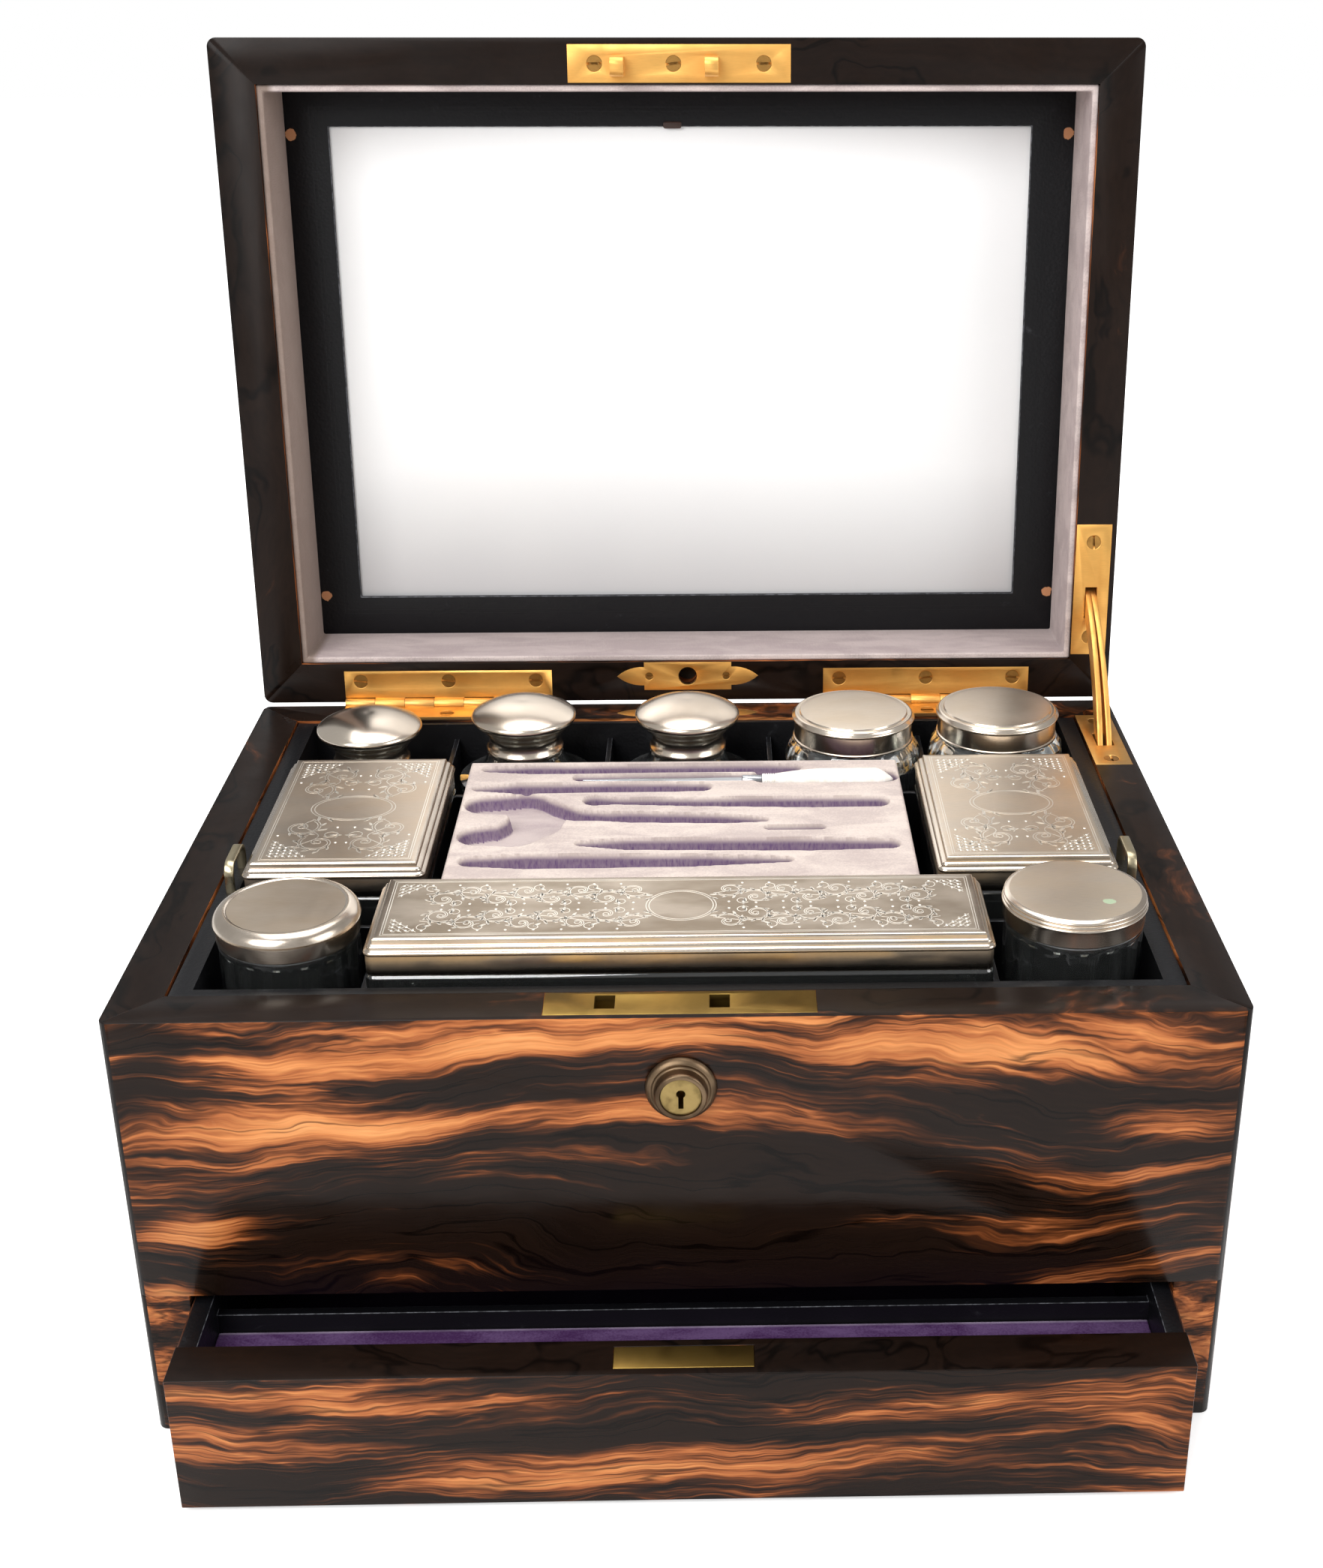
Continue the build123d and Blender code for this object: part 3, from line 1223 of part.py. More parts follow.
# ---- round glass and silver ----
def bottle_cap_profile(top):
    """Mushroom dome, under-curve and waisted collar, hollow over the neck."""
    r = BOTTLE_CAP_RADIUS
    collar = BOTTLE_COLLAR_RADIUS
    foot = top - BOTTLE_CAP_HEIGHT
    rim = top - CAP_RIM_DROP
    root = (collar + CAP_UNDER_REACH, rim - CAP_UNDER_DROP)
    dome = ThreePointArc((0, top), (r - CAP_CROWN_IN, top - CAP_CROWN_DROP), (r, rim))
    under = ThreePointArc((r, rim), (r - CAP_ROLL_IN, rim - CAP_ROLL_DROP), root)
    waist = ThreePointArc(root, (collar + CAP_WAIST_REACH, rim - CAP_WAIST_DROP), (collar, foot))
    bore = collar - COVER_METAL
    roof = foot + CAP_NECK_ROOM
    inside = Polyline((collar, foot), (bore, foot), (bore, roof), (0, roof), (0, top))
    return [dome, under, waist, inside]


def turn_curves(curves):
    face = make_face([Plane.XZ * c for c in curves])
    return revolve(face, Axis.Z)


def bottle_cap(x, top):
    return Pos(x, BACK_ROW_Y, 0) * turn_curves(bottle_cap_profile(top))


def bottle_glass(x, top):
    """Round bottle with a soft shoulder and a short neck inside the cap's collar."""
    collar = BOTTLE_COLLAR_RADIUS
    foot = top - BOTTLE_CAP_HEIGHT
    r = BOTTLE_RADIUS
    neck = collar - COVER_METAL - COVER_FIT
    bore = BOTTLE_BORE_RADIUS
    lip = (collar + BOTTLE_LIP, foot)
    inner = r - BOTTLE_WALL
    inner_top = foot - BOTTLE_SHOULDER - BOTTLE_WALL
    floor = TRAY_FLOOR + BOTTLE_WALL + GLASS_FLOOR_EXTRA
    shelf = Line(lip, (neck, foot))
    throat = Polyline(
        (neck, foot),
        (neck, foot + BOTTLE_NECK_HEIGHT),
        (bore, foot + BOTTLE_NECK_HEIGHT),
        (bore, foot - BOTTLE_INNER_DROP),
    )
    inner_shoulder = ThreePointArc(
        (bore, foot - BOTTLE_INNER_DROP),
        (inner - BOTTLE_INNER_IN, foot - BOTTLE_INNER_ROUND),
        (inner, inner_top),
    )
    inside = Polyline(
        (inner, inner_top),
        (inner, floor),
        (0, floor),
        (0, TRAY_FLOOR),
        (r - GLASS_FOOT_BEVEL, TRAY_FLOOR),
        (r, TRAY_FLOOR + GLASS_FOOT_BEVEL),
        (r, foot - BOTTLE_SHOULDER),
    )
    shoulder = ThreePointArc(
        (r, foot - BOTTLE_SHOULDER), (r - BOTTLE_SHOULDER_IN, foot - BOTTLE_SHOULDER_DROP), lip
    )
    curves = [shelf, throat, inner_shoulder, inside, shoulder]
    return Pos(x, BACK_ROW_Y, 0) * turn_curves(curves)


def round_lid(top, radius, height):
    """A turned cover: low crown, bead, straight skirt, hollow beneath."""
    skirt = radius - LID_SKIRT_INSET
    inner = skirt - COVER_METAL
    foot = top - height
    bead = top - LID_BEAD_DROP
    bead_foot = bead - LID_BEAD_HEIGHT
    profile = [
        (0, top),
        (radius - LID_CROWN_INSET, top - LID_CROWN_DROP),
        (radius - LID_STEP_INSET, top - LID_STEP_DROP),
        (radius, bead),
        (radius, bead_foot),
        (skirt, bead_foot - LID_BEAD_UNDERCUT),
        (skirt, foot),
        (inner, foot),
        (inner, top - LID_ROOF_DROP),
        (0, top - LID_ROOF_DROP),
    ]
    return turned(profile)


def jar_lid(x, top):
    return Pos(x, BACK_ROW_Y, 0) * round_lid(top, JAR_LID_RADIUS, JAR_LID_HEIGHT)


def jar_glass(x, top):
    """Shouldered jar: straight body, sloped shoulder and a neck inside the lid."""
    foot = top - JAR_LID_HEIGHT
    r = JAR_RADIUS
    shoulder = foot - JAR_SHOULDER
    neck = JAR_LID_RADIUS - LID_SKIRT_INSET - COVER_METAL - COVER_FIT
    floor = TRAY_FLOOR + JAR_WALL + GLASS_FLOOR_EXTRA
    profile = [
        (0, TRAY_FLOOR),
        (r - GLASS_FOOT_BEVEL, TRAY_FLOOR),
        (r, TRAY_FLOOR + GLASS_FOOT_BEVEL),
        (r, shoulder),
        (r - JAR_SHOULDER_IN, foot - JAR_SHOULDER_DROP),
        (JAR_LID_RADIUS - JAR_SEAT_INSET, foot),
        (neck, foot),
        (neck, foot + NECK_HEIGHT),
        (neck - JAR_WALL, foot + NECK_HEIGHT),
        (neck - JAR_WALL, foot - JAR_INNER_DROP),
        (r - JAR_WALL, shoulder - JAR_INNER_SLOPE),
        (r - JAR_WALL, floor),
        (0, floor),
    ]
    return Pos(x, BACK_ROW_Y, 0) * turned(profile)


def fluted_lid(x, top):
    return Pos(x, FRONT_ROW_Y, 0) * round_lid(top, FLUTED_LID_RADIUS, FLUTED_LID_HEIGHT)


def fluted_jar(x, top):
    """Straight jar with upright flutes cut round it."""
    foot = top - FLUTED_LID_HEIGHT
    r = FLUTED_RADIUS
    neck = FLUTED_LID_RADIUS - LID_SKIRT_INSET - COVER_METAL - COVER_FIT
    inner = r - JAR_WALL - FLUTE_DEPTH
    floor = TRAY_FLOOR + JAR_WALL + GLASS_FLOOR_EXTRA
    profile = [
        (0, TRAY_FLOOR),
        (r - FLUTED_FOOT_BEVEL, TRAY_FLOOR),
        (r, TRAY_FLOOR + FLUTED_FOOT_BEVEL),
        (r, foot),
        (neck, foot),
        (neck, foot + FLUTED_NECK_HEIGHT),
        (neck - JAR_WALL, foot + FLUTED_NECK_HEIGHT),
        (neck - JAR_WALL, foot - FLUTED_INNER_DROP),
        (inner, foot - FLUTED_INNER_DROP - FLUTED_INNER_SLOPE),
        (inner, floor),
        (0, floor),
    ]
    jar = turned(profile)
    pitch = 2 * math.pi * r / FLUTE_COUNT
    flute_radius = (pitch**2 / 8 + FLUTE_DEPTH**2 / 2) / FLUTE_DEPTH
    start = TRAY_FLOOR + FLUTE_FOOT_LAND
    height = foot - FLUTE_TOP_LAND - start
    flute = upright(flute_radius, height, r - FLUTE_DEPTH + flute_radius, 0, start)
    for item in PolarLocations(0, FLUTE_COUNT):
        jar -= item * flute
    return Pos(x, FRONT_ROW_Y, 0) * jar


# ---- oblong glass and silver ----
def box_cover(x, y, length, width, top):
    """Stepped, moulded cover with a straight skirt; length runs along X."""
    moulding = RectangleRounded(length, width, BOX_CORNER)
    base = top - BOX_COVER_TOP
    cover = extrude(Pos(0, 0, base - BOX_MOULDING) * moulding, amount=BOX_MOULDING)
    cover = chamfer(cover.edges().group_by(Axis.Z)[-1], BOX_BEVEL)
    inset = 2 * (BOX_BEVEL + BOX_STEP)
    panel = RectangleRounded(length - inset, width - inset, BOX_PANEL_CORNER)
    cover += extrude(Pos(0, 0, base) * panel, amount=BOX_COVER_TOP)
    skirt_drop = BOX_COVER_HEIGHT - BOX_MOULDING
    inset = 2 * BOX_SKIRT_INSET
    skirt = RectangleRounded(length - inset, width - inset, BOX_SKIRT_CORNER)
    cover += extrude(Pos(0, 0, base - BOX_COVER_HEIGHT) * skirt, amount=skirt_drop)
    inset += 2 * COVER_METAL
    room = RectangleRounded(length - inset, width - inset, BOX_PANEL_CORNER)
    cover -= extrude(Pos(0, 0, base - BOX_COVER_HEIGHT) * room, amount=BOX_COVER_HEIGHT - COVER_METAL)
    return Pos(x, y, 0) * cover


def box_glass(x, y, length, width, top, height):
    """Cut-glass box with a rim that the cover drops over and rests on."""
    base = top - BOX_COVER_TOP
    floor = base - height
    shelf = base - BOX_COVER_HEIGHT
    outer = RectangleRounded(length - BOX_GLASS_INSET, width - BOX_GLASS_INSET, BOX_CORNER)
    glass = extrude(Pos(0, 0, floor) * outer, amount=shelf - floor)
    glass = chamfer(glass.edges().group_by(Axis.Z)[0], BOX_FOOT_BEVEL)
    inset = 2 * (BOX_SKIRT_INSET + COVER_METAL + COVER_FIT)
    rim = RectangleRounded(length - inset, width - inset, BOX_RIM_CORNER)
    rim_top = base - COVER_METAL - BOX_RIM_GAP
    glass += extrude(Pos(0, 0, shelf) * rim, amount=rim_top - shelf)
    inset += 2 * BOX_GLASS_WALL
    room = RectangleRounded(length - inset, width - inset, BOX_CORNER)
    glass -= extrude(Pos(0, 0, floor + BOX_GLASS_WALL) * room, amount=rim_top - floor)
    return Pos(x, y, 0) * glass


# ---- tool tray ----
def recess(x0, x1, rear, width, end_rear=None):
    """A round-ended recess from x0 to x1, its line a distance from the pad's rear edge."""
    y0 = PAD_REAR - rear
    y1 = y0 if end_rear is None else PAD_REAR - end_rear
    length = math.hypot(x1 - x0, y1 - y0)
    angle = math.degrees(math.atan2(y1 - y0, x1 - x0))
    slot = SlotOverall(length, width)
    return Pos((x0 + x1) / 2, (y0 + y1) / 2) * Rot(0, 0, angle) * slot


def tool_place():
    """The place of the tool that is left: a slim part for its steel, a wide one for its handle."""
    end = TOOL_HANDLE_END + TOOL_END_GAP
    seated = recess(TOOL_BLADE_START - TOOL_PLACE_GAP, end, TOOL_REAR, TOOL_PLACE_WIDTH)
    width = 2 * TOOL_HANDLE_RADIUS + HANDLE_PLACE_ROOM
    return seated + recess(TOOL_HANDLE_START - TOOL_PLACE_GAP, end, TOOL_REAR, width)


def shears_place():
    """Two bows, the pivot between them and the closed blades."""
    place = recess(PAD_LEFT + PIVOT_LEFT, PAD_LEFT + PIVOT_END_LEFT, PIVOT_REAR, PIVOT_WIDTH)
    for rear in BOW_REARS:
        place += Pos(PAD_LEFT + BOW_LEFT, PAD_REAR - rear) * Ellipse(BOW_RADIUS, BOW_HALF_WIDTH)
    end = PAD_RIGHT - SHANK_RIGHT
    return place + recess(PAD_LEFT + SHANK_LEFT, end, SHANK_REAR, SHANK_WIDTH, SHANK_END_REAR)


def pad_recesses():
    """Outlines of the places for the manicure tools, in the pad's plane."""
    needle = recess(PAD_LEFT + NEEDLE_LEFT, PAD_RIGHT - NEEDLE_RIGHT, NEEDLE_REAR, NEEDLE_WIDTH)
    file_place = recess(PAD_LEFT + FILE_LEFT, PAD_RIGHT - FILE_RIGHT, FILE_REAR, FILE_WIDTH)
    end = PAD_RIGHT - HOOK_RIGHT
    hook_place = recess(PAD_LEFT + HOOK_LEFT, end, HOOK_REAR, HOOK_WIDTH, HOOK_END_REAR)
    slip = recess(PAD_RIGHT - SLIP_RIGHT, PAD_RIGHT - SLIP_END_RIGHT, SLIP_REAR, SLIP_WIDTH)
    end = PAD_RIGHT - BLADE_RIGHT
    blade = recess(PAD_LEFT + BLADE_LEFT, end, BLADE_REAR, LONG_PLACE_WIDTH, BLADE_END_REAR)
    end = PAD_RIGHT - REST_RIGHT
    rest = recess(PAD_LEFT + REST_LEFT, end, REST_REAR, LONG_PLACE_WIDTH, REST_END_REAR)
    return [needle, tool_place(), file_place, hook_place, shears_place(), slip, blade, rest]


def tool_board():
    """The board that carries the pad and rests on the tray's ledges."""
    half_x = TOOL_TRAY_LENGTH / 2
    half_y = TOOL_TRAY_WIDTH / 2
    top = TOOL_TRAY_TOP - TOOL_PAD_THICK
    board = block(-half_x, half_x, -half_y, half_y, top - TOOL_BOARD_THICK, top)
    return Pos(TOOL_TRAY_X, TOOL_TRAY_Y, 0) * board


def tool_pad():
    """Velvet-covered pad with a shaped place for each tool."""
    outline = Rectangle(TOOL_TRAY_LENGTH, TOOL_TRAY_WIDTH)
    pad = extrude(Pos(0, 0, TOOL_TRAY_TOP - TOOL_PAD_THICK) * outline, amount=TOOL_PAD_THICK)
    pad = fillet(pad.edges().group_by(Axis.Z)[-1], TOOL_PAD_ROUND)
    pad = Pos(TOOL_TRAY_X, TOOL_TRAY_Y, 0) * pad
    for place in pad_recesses():
        pad -= extrude(Pos(0, 0, TOOL_TRAY_TOP - TOOL_PAD_THICK) * place, amount=TOOL_PAD_THICK)
    return pad


def tool_seat():
    """Height of the tool's middle when it lies in the pad."""
    return TOOL_TRAY_TOP - TOOL_PAD_THICK + TOOL_HANDLE_RADIUS + TOOL_CLEARANCE


def tool_handle():
    """Tapered round handle, turned from bone, lying along X."""
    r = TOOL_HANDLE_RADIUS
    neck = TOOL_HANDLE_NECK
    length = TOOL_HANDLE_END - TOOL_HANDLE_START
    widest = (r, 0.72 * length)
    crown = ThreePointArc((neck, 0), (0.86 * r, 0.35 * length), widest)
    tip = ThreePointArc(widest, (0.75 * r, 0.9 * length), (TOOL_HANDLE_TIP, length))
    stem = Polyline((TOOL_HANDLE_TIP, length), (0, length), (0, 0), (neck, 0))
    body = turn_curves([crown, tip, stem])
    return Pos(TOOL_HANDLE_START, TOOL_Y, tool_seat()) * Rot(0, 90, 0) * body


def tool_blade():
    """Steel shank that tapers to a flat, pointed blade."""
    end = TOOL_HANDLE_START
    root = end - TOOL_SHANK_LENGTH
    taper = TOOL_BLADE_START + TOOL_BLADE_TAPER
    half = TOOL_BLADE_THICK
    outline = Polygon(
        (TOOL_BLADE_START, TOOL_Y - TOOL_BLADE_POINT),
        (taper, TOOL_Y - half),
        (root, TOOL_Y - half),
        (root, TOOL_Y + half),
        (taper, TOOL_Y + half),
        (TOOL_BLADE_START, TOOL_Y + TOOL_BLADE_POINT),
        align=None,
    )
    middle = tool_seat()
    blade = extrude(Pos(0, 0, middle - half / 2) * outline, amount=half)
    return blade + along_x(TOOL_SHANK_RADIUS, root, end, TOOL_Y, middle)


def cut_by(shape, tools):
    for tool in tools:
        shape -= tool
    return shape


def write(name, shapes):
    """Save one node; a list stays a group of separate solids."""
    if isinstance(shapes, list):
        shapes = Compound(children=[s.solid() if not isinstance(s, Solid) else s for s in shapes])
    export_step(shapes, "parts/" + name + ".step")


def write_body():
    write("body_front", body_front())
    write("body_back", body_back())
    write("body_left", body_side(-1))
    write("body_right", body_side(1))
    write("base_board", base_board())
    write("well_floor", well_floor())
    write("lock_plate", lock_plate())
    write("lock_case", lock_case())
    write("lock_bolt", lock_bolt())
    write("lock_plug", lock_plug())
    write("escutcheon", escutcheon())
    write("hinge_body_leaves", [cut_by(leaf, hinge_screws()) for leaf in body_hinge_leaves()])
    write("hinge_pins", hinge_pins())
    write("stay_body_plate", stay_body_plate())
    hole = BUTTON_RADIUS + RUNNING_CLEARANCE
    write("release_plate", pointed_plate(hole))
    write("release_button", release_button())
    write("body_screws", body_screws())


def write_lid():
    pieces = {
        "lid_walls": lid_walls(),
        "lid_top": lid_top(),
        "lid_lining": lid_lining(),
        "mirror_frame": mirror_frame(),
        "mirror_glass": mirror_glass(),
        "catch_plate": catch_plate(),
        "stay_lid_plate": stay_lid_plate(),
        "lid_pointed_plate": upside_down(pointed_plate(LID_BUTTON_HOLE_RADIUS)),
    }
    for name, shape in pieces.items():
        write(name, open_lid(shape))
    leaves = [cut_by(leaf, lid_screws()) for leaf in lid_hinge_leaves()]
    write("hinge_lid_leaves", [open_lid(leaf) for leaf in leaves])
    write("lid_screws", [open_lid(item) for item in lid_screws()])
    write("stay_arm", stay_arm())


def write_tray():
    write("tray_frame", tray_frame())
    write("tray_dividers", tray_dividers())
    write("tray_loops", tray_loops())
    write("tool_board", tool_board())
    write("tool_pad", tool_pad())
    write("tool_blade", tool_blade())
    write("tool_handle", tool_handle())


def write_containers():
    for index, (x, stand) in enumerate(zip(BOTTLE_XS, BOTTLE_CAP_STANDS), 1):
        write("bottle_%d_glass" % index, bottle_glass(x, TRAY_TOP + stand))
        write("bottle_%d_cap" % index, bottle_cap(x, TRAY_TOP + stand))
    for index, (x, stand) in enumerate(zip(JAR_XS, JAR_LID_STANDS), 1):
        write("jar_%d_glass" % index, jar_glass(x, TRAY_TOP + stand))
        write("jar_%d_lid" % index, jar_lid(x, TRAY_TOP + stand))
    fluted = zip((FLUTED_LEFT_X, FLUTED_RIGHT_X), FLUTED_LID_STANDS)
    for index, (x, stand) in enumerate(fluted, 1):
        write("fluted_jar_%d_glass" % index, fluted_jar(x, TRAY_TOP + stand))
        write("fluted_jar_%d_lid" % index, fluted_lid(x, TRAY_TOP + stand))
    for side, x in (("left", BOX_LEFT_X), ("right", BOX_RIGHT_X)):
        glass = box_glass(x, MIDDLE_ROW_Y, BOX_WIDTH, BOX_LENGTH, BOX_TOP, BOX_GLASS_HEIGHT)
        write(side + "_box_glass", glass)
        write(side + "_box_cover", box_cover(x, MIDDLE_ROW_Y, BOX_WIDTH, BOX_LENGTH, BOX_TOP))
    long_size = (0, FRONT_ROW_Y, LONG_BOX_LENGTH, LONG_BOX_WIDTH, LONG_BOX_TOP)
    write("long_box_glass", box_glass(*long_size, LONG_BOX_GLASS_HEIGHT))
    write("long_box_cover", box_cover(*long_size))


def write_drawer():
    write("drawer_front", pull_out(drawer_front()))
    write("drawer_box", pull_out(drawer_box()))
    write("drawer_pads", [pull_out(pad) for pad in drawer_pads()])
    write("drawer_plate", pull_out(drawer_plate()))
    write("drawer_catch", pull_out(drawer_catch()))


os.makedirs("parts", exist_ok=True)
write_body()
write_lid()
write_tray()
write_containers()
write_drawer()
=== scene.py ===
import json
import math
import random

import bmesh
import bpy
from bpy.props import FloatProperty, FloatVectorProperty, IntProperty, PointerProperty
from mathutils import Matrix, Vector


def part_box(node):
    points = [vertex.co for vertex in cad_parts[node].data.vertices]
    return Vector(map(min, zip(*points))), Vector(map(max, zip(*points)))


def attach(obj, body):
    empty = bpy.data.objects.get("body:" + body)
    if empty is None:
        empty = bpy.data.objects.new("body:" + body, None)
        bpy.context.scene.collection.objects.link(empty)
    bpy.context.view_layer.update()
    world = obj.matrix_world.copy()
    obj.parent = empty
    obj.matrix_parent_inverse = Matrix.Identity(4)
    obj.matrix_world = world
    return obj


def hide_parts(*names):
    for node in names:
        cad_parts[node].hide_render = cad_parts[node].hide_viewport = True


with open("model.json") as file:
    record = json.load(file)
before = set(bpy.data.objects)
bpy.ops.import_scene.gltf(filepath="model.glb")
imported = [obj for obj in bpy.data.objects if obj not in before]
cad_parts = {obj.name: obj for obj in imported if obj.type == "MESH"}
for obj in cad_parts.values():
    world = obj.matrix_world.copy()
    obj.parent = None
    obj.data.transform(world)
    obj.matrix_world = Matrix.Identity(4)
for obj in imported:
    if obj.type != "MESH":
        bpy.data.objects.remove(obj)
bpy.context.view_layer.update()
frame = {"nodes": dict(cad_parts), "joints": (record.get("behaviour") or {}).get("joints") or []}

bl_info = {
    "name": "Fitted Dressing Box",
    "version": (1, 0, 0),
    "blender": (4, 5, 0),
    "location": "3D View > Sidebar > Dressing Box",
    "description": "Dresses the frame of a fitted dressing box: veneer, brass, silver, glass and velvet",
    "category": "Object",
}

MM = 0.001

# ---- places read from the frame, in millimetres ----
LID_JOINT = next(j for j in frame["joints"] if j["name"] == "lid_hinge")
HINGE = Vector(LID_JOINT["pos_m"])
LID_ANGLE = math.radians(-LID_JOINT["range_deg"][0])
TO_OPEN = Matrix.Translation(HINGE) @ Matrix.Rotation(-LID_ANGLE, 4, "X") @ Matrix.Translation(-HINGE)
TO_CLOSED = TO_OPEN.inverted()


def span(node):
    """The lowest and highest corners of a node at rest, in millimetres."""
    low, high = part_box(node)
    return low / MM, high / MM


HALF_WIDTH = span("body_left")[0].x * -1
HALF_DEPTH = span("body_back")[1].y
PAD_TOP = span("tool_pad")[1].z
# how near two points lie, in mm, when they count as one
WELD = 0.01


# ---- colours ----
def srgb(code):
    """An sRGB hex colour as a linear colour with alpha."""
    values = [int(code[i:i + 2], 16) / 255 for i in (1, 3, 5)]
    linear = [v / 12.92 if v <= 0.04045 else ((v + 0.055) / 1.055) ** 2.4 for v in values]
    return (*linear, 1.0)


# ---- nodes ----
COLOUR_A = 6
COLOUR_B = 7
SMOOTH = {"interpolation_type": "SMOOTHSTEP"}
COLOURED = {"data_type": "RGBA"}
MULTIPLIED = {"data_type": "RGBA", "blend_type": "MULTIPLY"}
PLUS = {"operation": "ADD"}
TIMES = {"operation": "MULTIPLY"}
TIMES_PLUS = {"operation": "MULTIPLY_ADD"}
SIZE_OF = {"operation": "ABSOLUTE"}
GREATER = {"operation": "MAXIMUM"}


def wire(tree, item, inputs):
    """Sets or links a node's inputs, by name or in order; a node as a value links its result."""
    for name, value in (inputs if isinstance(inputs, dict) else dict(enumerate(inputs))).items():
        if isinstance(value, bpy.types.Node):
            value = next(socket for socket in value.outputs if socket.enabled)
        if isinstance(value, bpy.types.NodeSocket):
            tree.links.new(value, item.inputs[name])
        else:
            item.inputs[name].default_value = value


def add(tree, kind, settings=(), inputs=(), stops=()):
    """Adds a node, with its settings, its ramp's stops and its inputs."""
    item = tree.nodes.new(kind)
    for name, value in dict(settings).items():
        setattr(item, name, value)
    for index, (position, code) in enumerate(stops):
        elements = item.color_ramp.elements
        stop = elements[index] if index < 2 else elements.new(position)
        stop.position = position
        stop.color = srgb(code)
    wire(tree, item, inputs)
    return item


def surface(name, colour, inputs):
    """A material with one Principled shader; returns it, its tree and the shader."""
    material = bpy.data.materials.new(name)
    material.use_nodes = True
    tree = material.node_tree
    tree.nodes.clear()
    shader = add(tree, "ShaderNodeBsdfPrincipled", (), {"Base Color": srgb(colour), **inputs})
    add(tree, "ShaderNodeOutputMaterial", (), {"Surface": shader})
    return material, tree, shader


def object_mm(tree, lid=False):
    """Object coordinates in millimetres; on the lid, those of the closed lid."""
    place = add(tree, "ShaderNodeTexCoord").outputs["Object"]
    if lid:
        place = add(tree, "ShaderNodeMapping", {"vector_type": "POINT"}, {
            "Vector": place, "Rotation": (LID_ANGLE, 0, 0),
            "Location": HINGE - Matrix.Rotation(LID_ANGLE, 3, "X") @ HINGE,
        })
    return add(tree, "ShaderNodeVectorMath", {"operation": "SCALE"}, {0: place, "Scale": 1 / MM})


def facing(tree, lid=False):
    """The surface's own direction as x, y and z; on the lid, that of the closed lid."""
    normal = add(tree, "ShaderNodeTexCoord").outputs["Normal"]
    if lid:
        normal = add(tree, "ShaderNodeMapping", {"vector_type": "VECTOR"}, {
            "Vector": normal, "Rotation": (LID_ANGLE, 0, 0),
        })
    return add(tree, "ShaderNodeSeparateXYZ", (), (normal,)).outputs


def levelness(tree, lid=False):
    """1 where the surface faces straight up or down, 0 where it stands upright."""
    return add(tree, "ShaderNodeMath", SIZE_OF, (facing(tree, lid)[2],))


def noise(tree, place, period, detail=2.0, roughness=0.5, distortion=0.0):
    """Noise whose features repeat about every period (x, y, z) millimetres."""
    scaled = add(tree, "ShaderNodeVectorMath", {"operation": "DIVIDE"}, (place, period))
    return add(tree, "ShaderNodeTexNoise", (), {
        "Vector": scaled, "Scale": 1.0, "Detail": detail, "Roughness": roughness,
        "Distortion": distortion,
    })


def away_from_half(tree, value):
    """How far a noise value is from one half: 0 along thin wandering lines."""
    offset = add(tree, "ShaderNodeMath", {"operation": "SUBTRACT"}, (value, 0.5))
    return add(tree, "ShaderNodeMath", SIZE_OF, (offset,))


def blob(tree, place, centre, reach):
    """1 at the centre of a soft-edged patch, falling to 0 at its reach."""
    local = add(tree, "ShaderNodeMapping", {"vector_type": "TEXTURE"}, {
        "Vector": place, "Location": centre, "Scale": reach,
    })
    ball = add(tree, "ShaderNodeTexGradient", {"gradient_type": "SPHERICAL"}, (local,))
    return add(tree, "ShaderNodeMapRange", SMOOTH, (ball.outputs["Fac"],))


# ---- materials ----
FAR = 1000.0
MOUNT_SPOTS = [(x, y) for x in (-145.0, 145.0) for y in (-88.0, 88.0)]
MOUNT_SPOT_RADIUS = 3.6
# the dark crossband at a board's end: its width, and where it has its full tone, in mm
BAND = 2.3
BAND_INNER = 2.0

# where sapwood shows or heartwood closes in: centre x, centre z, reach x, reach z, strength
FRONT_PATCHES = (
    (-112, 110, 62, 24, 0.2),
    (-20, 142, 140, 11, 0.21),
    (92, 131, 95, 17, 0.33),
    (136, 108, 34, 9, 0.13),
    (-82, 60, 52, 8, 0.12),
    (-144, 74, 24, 11, 0.2),
    (-154, 52, 16, 12, 0.22),
    (-62, 120, 60, 18, -0.13),
    (40, 98, 120, 18, -0.09),
    (0, 66, 210, 34, -0.19),
    (-152, 138, 24, 14, -0.12),
)
DRAWER_PATCHES = (
    (-95, 39, 75, 9, 0.13),
    (-70, 14, 100, 12, 0.12),
    (112, 38, 60, 9, 0.10),
    (0, 27, 190, 5, -0.10),
    (95, 16, 80, 12, -0.04),
)


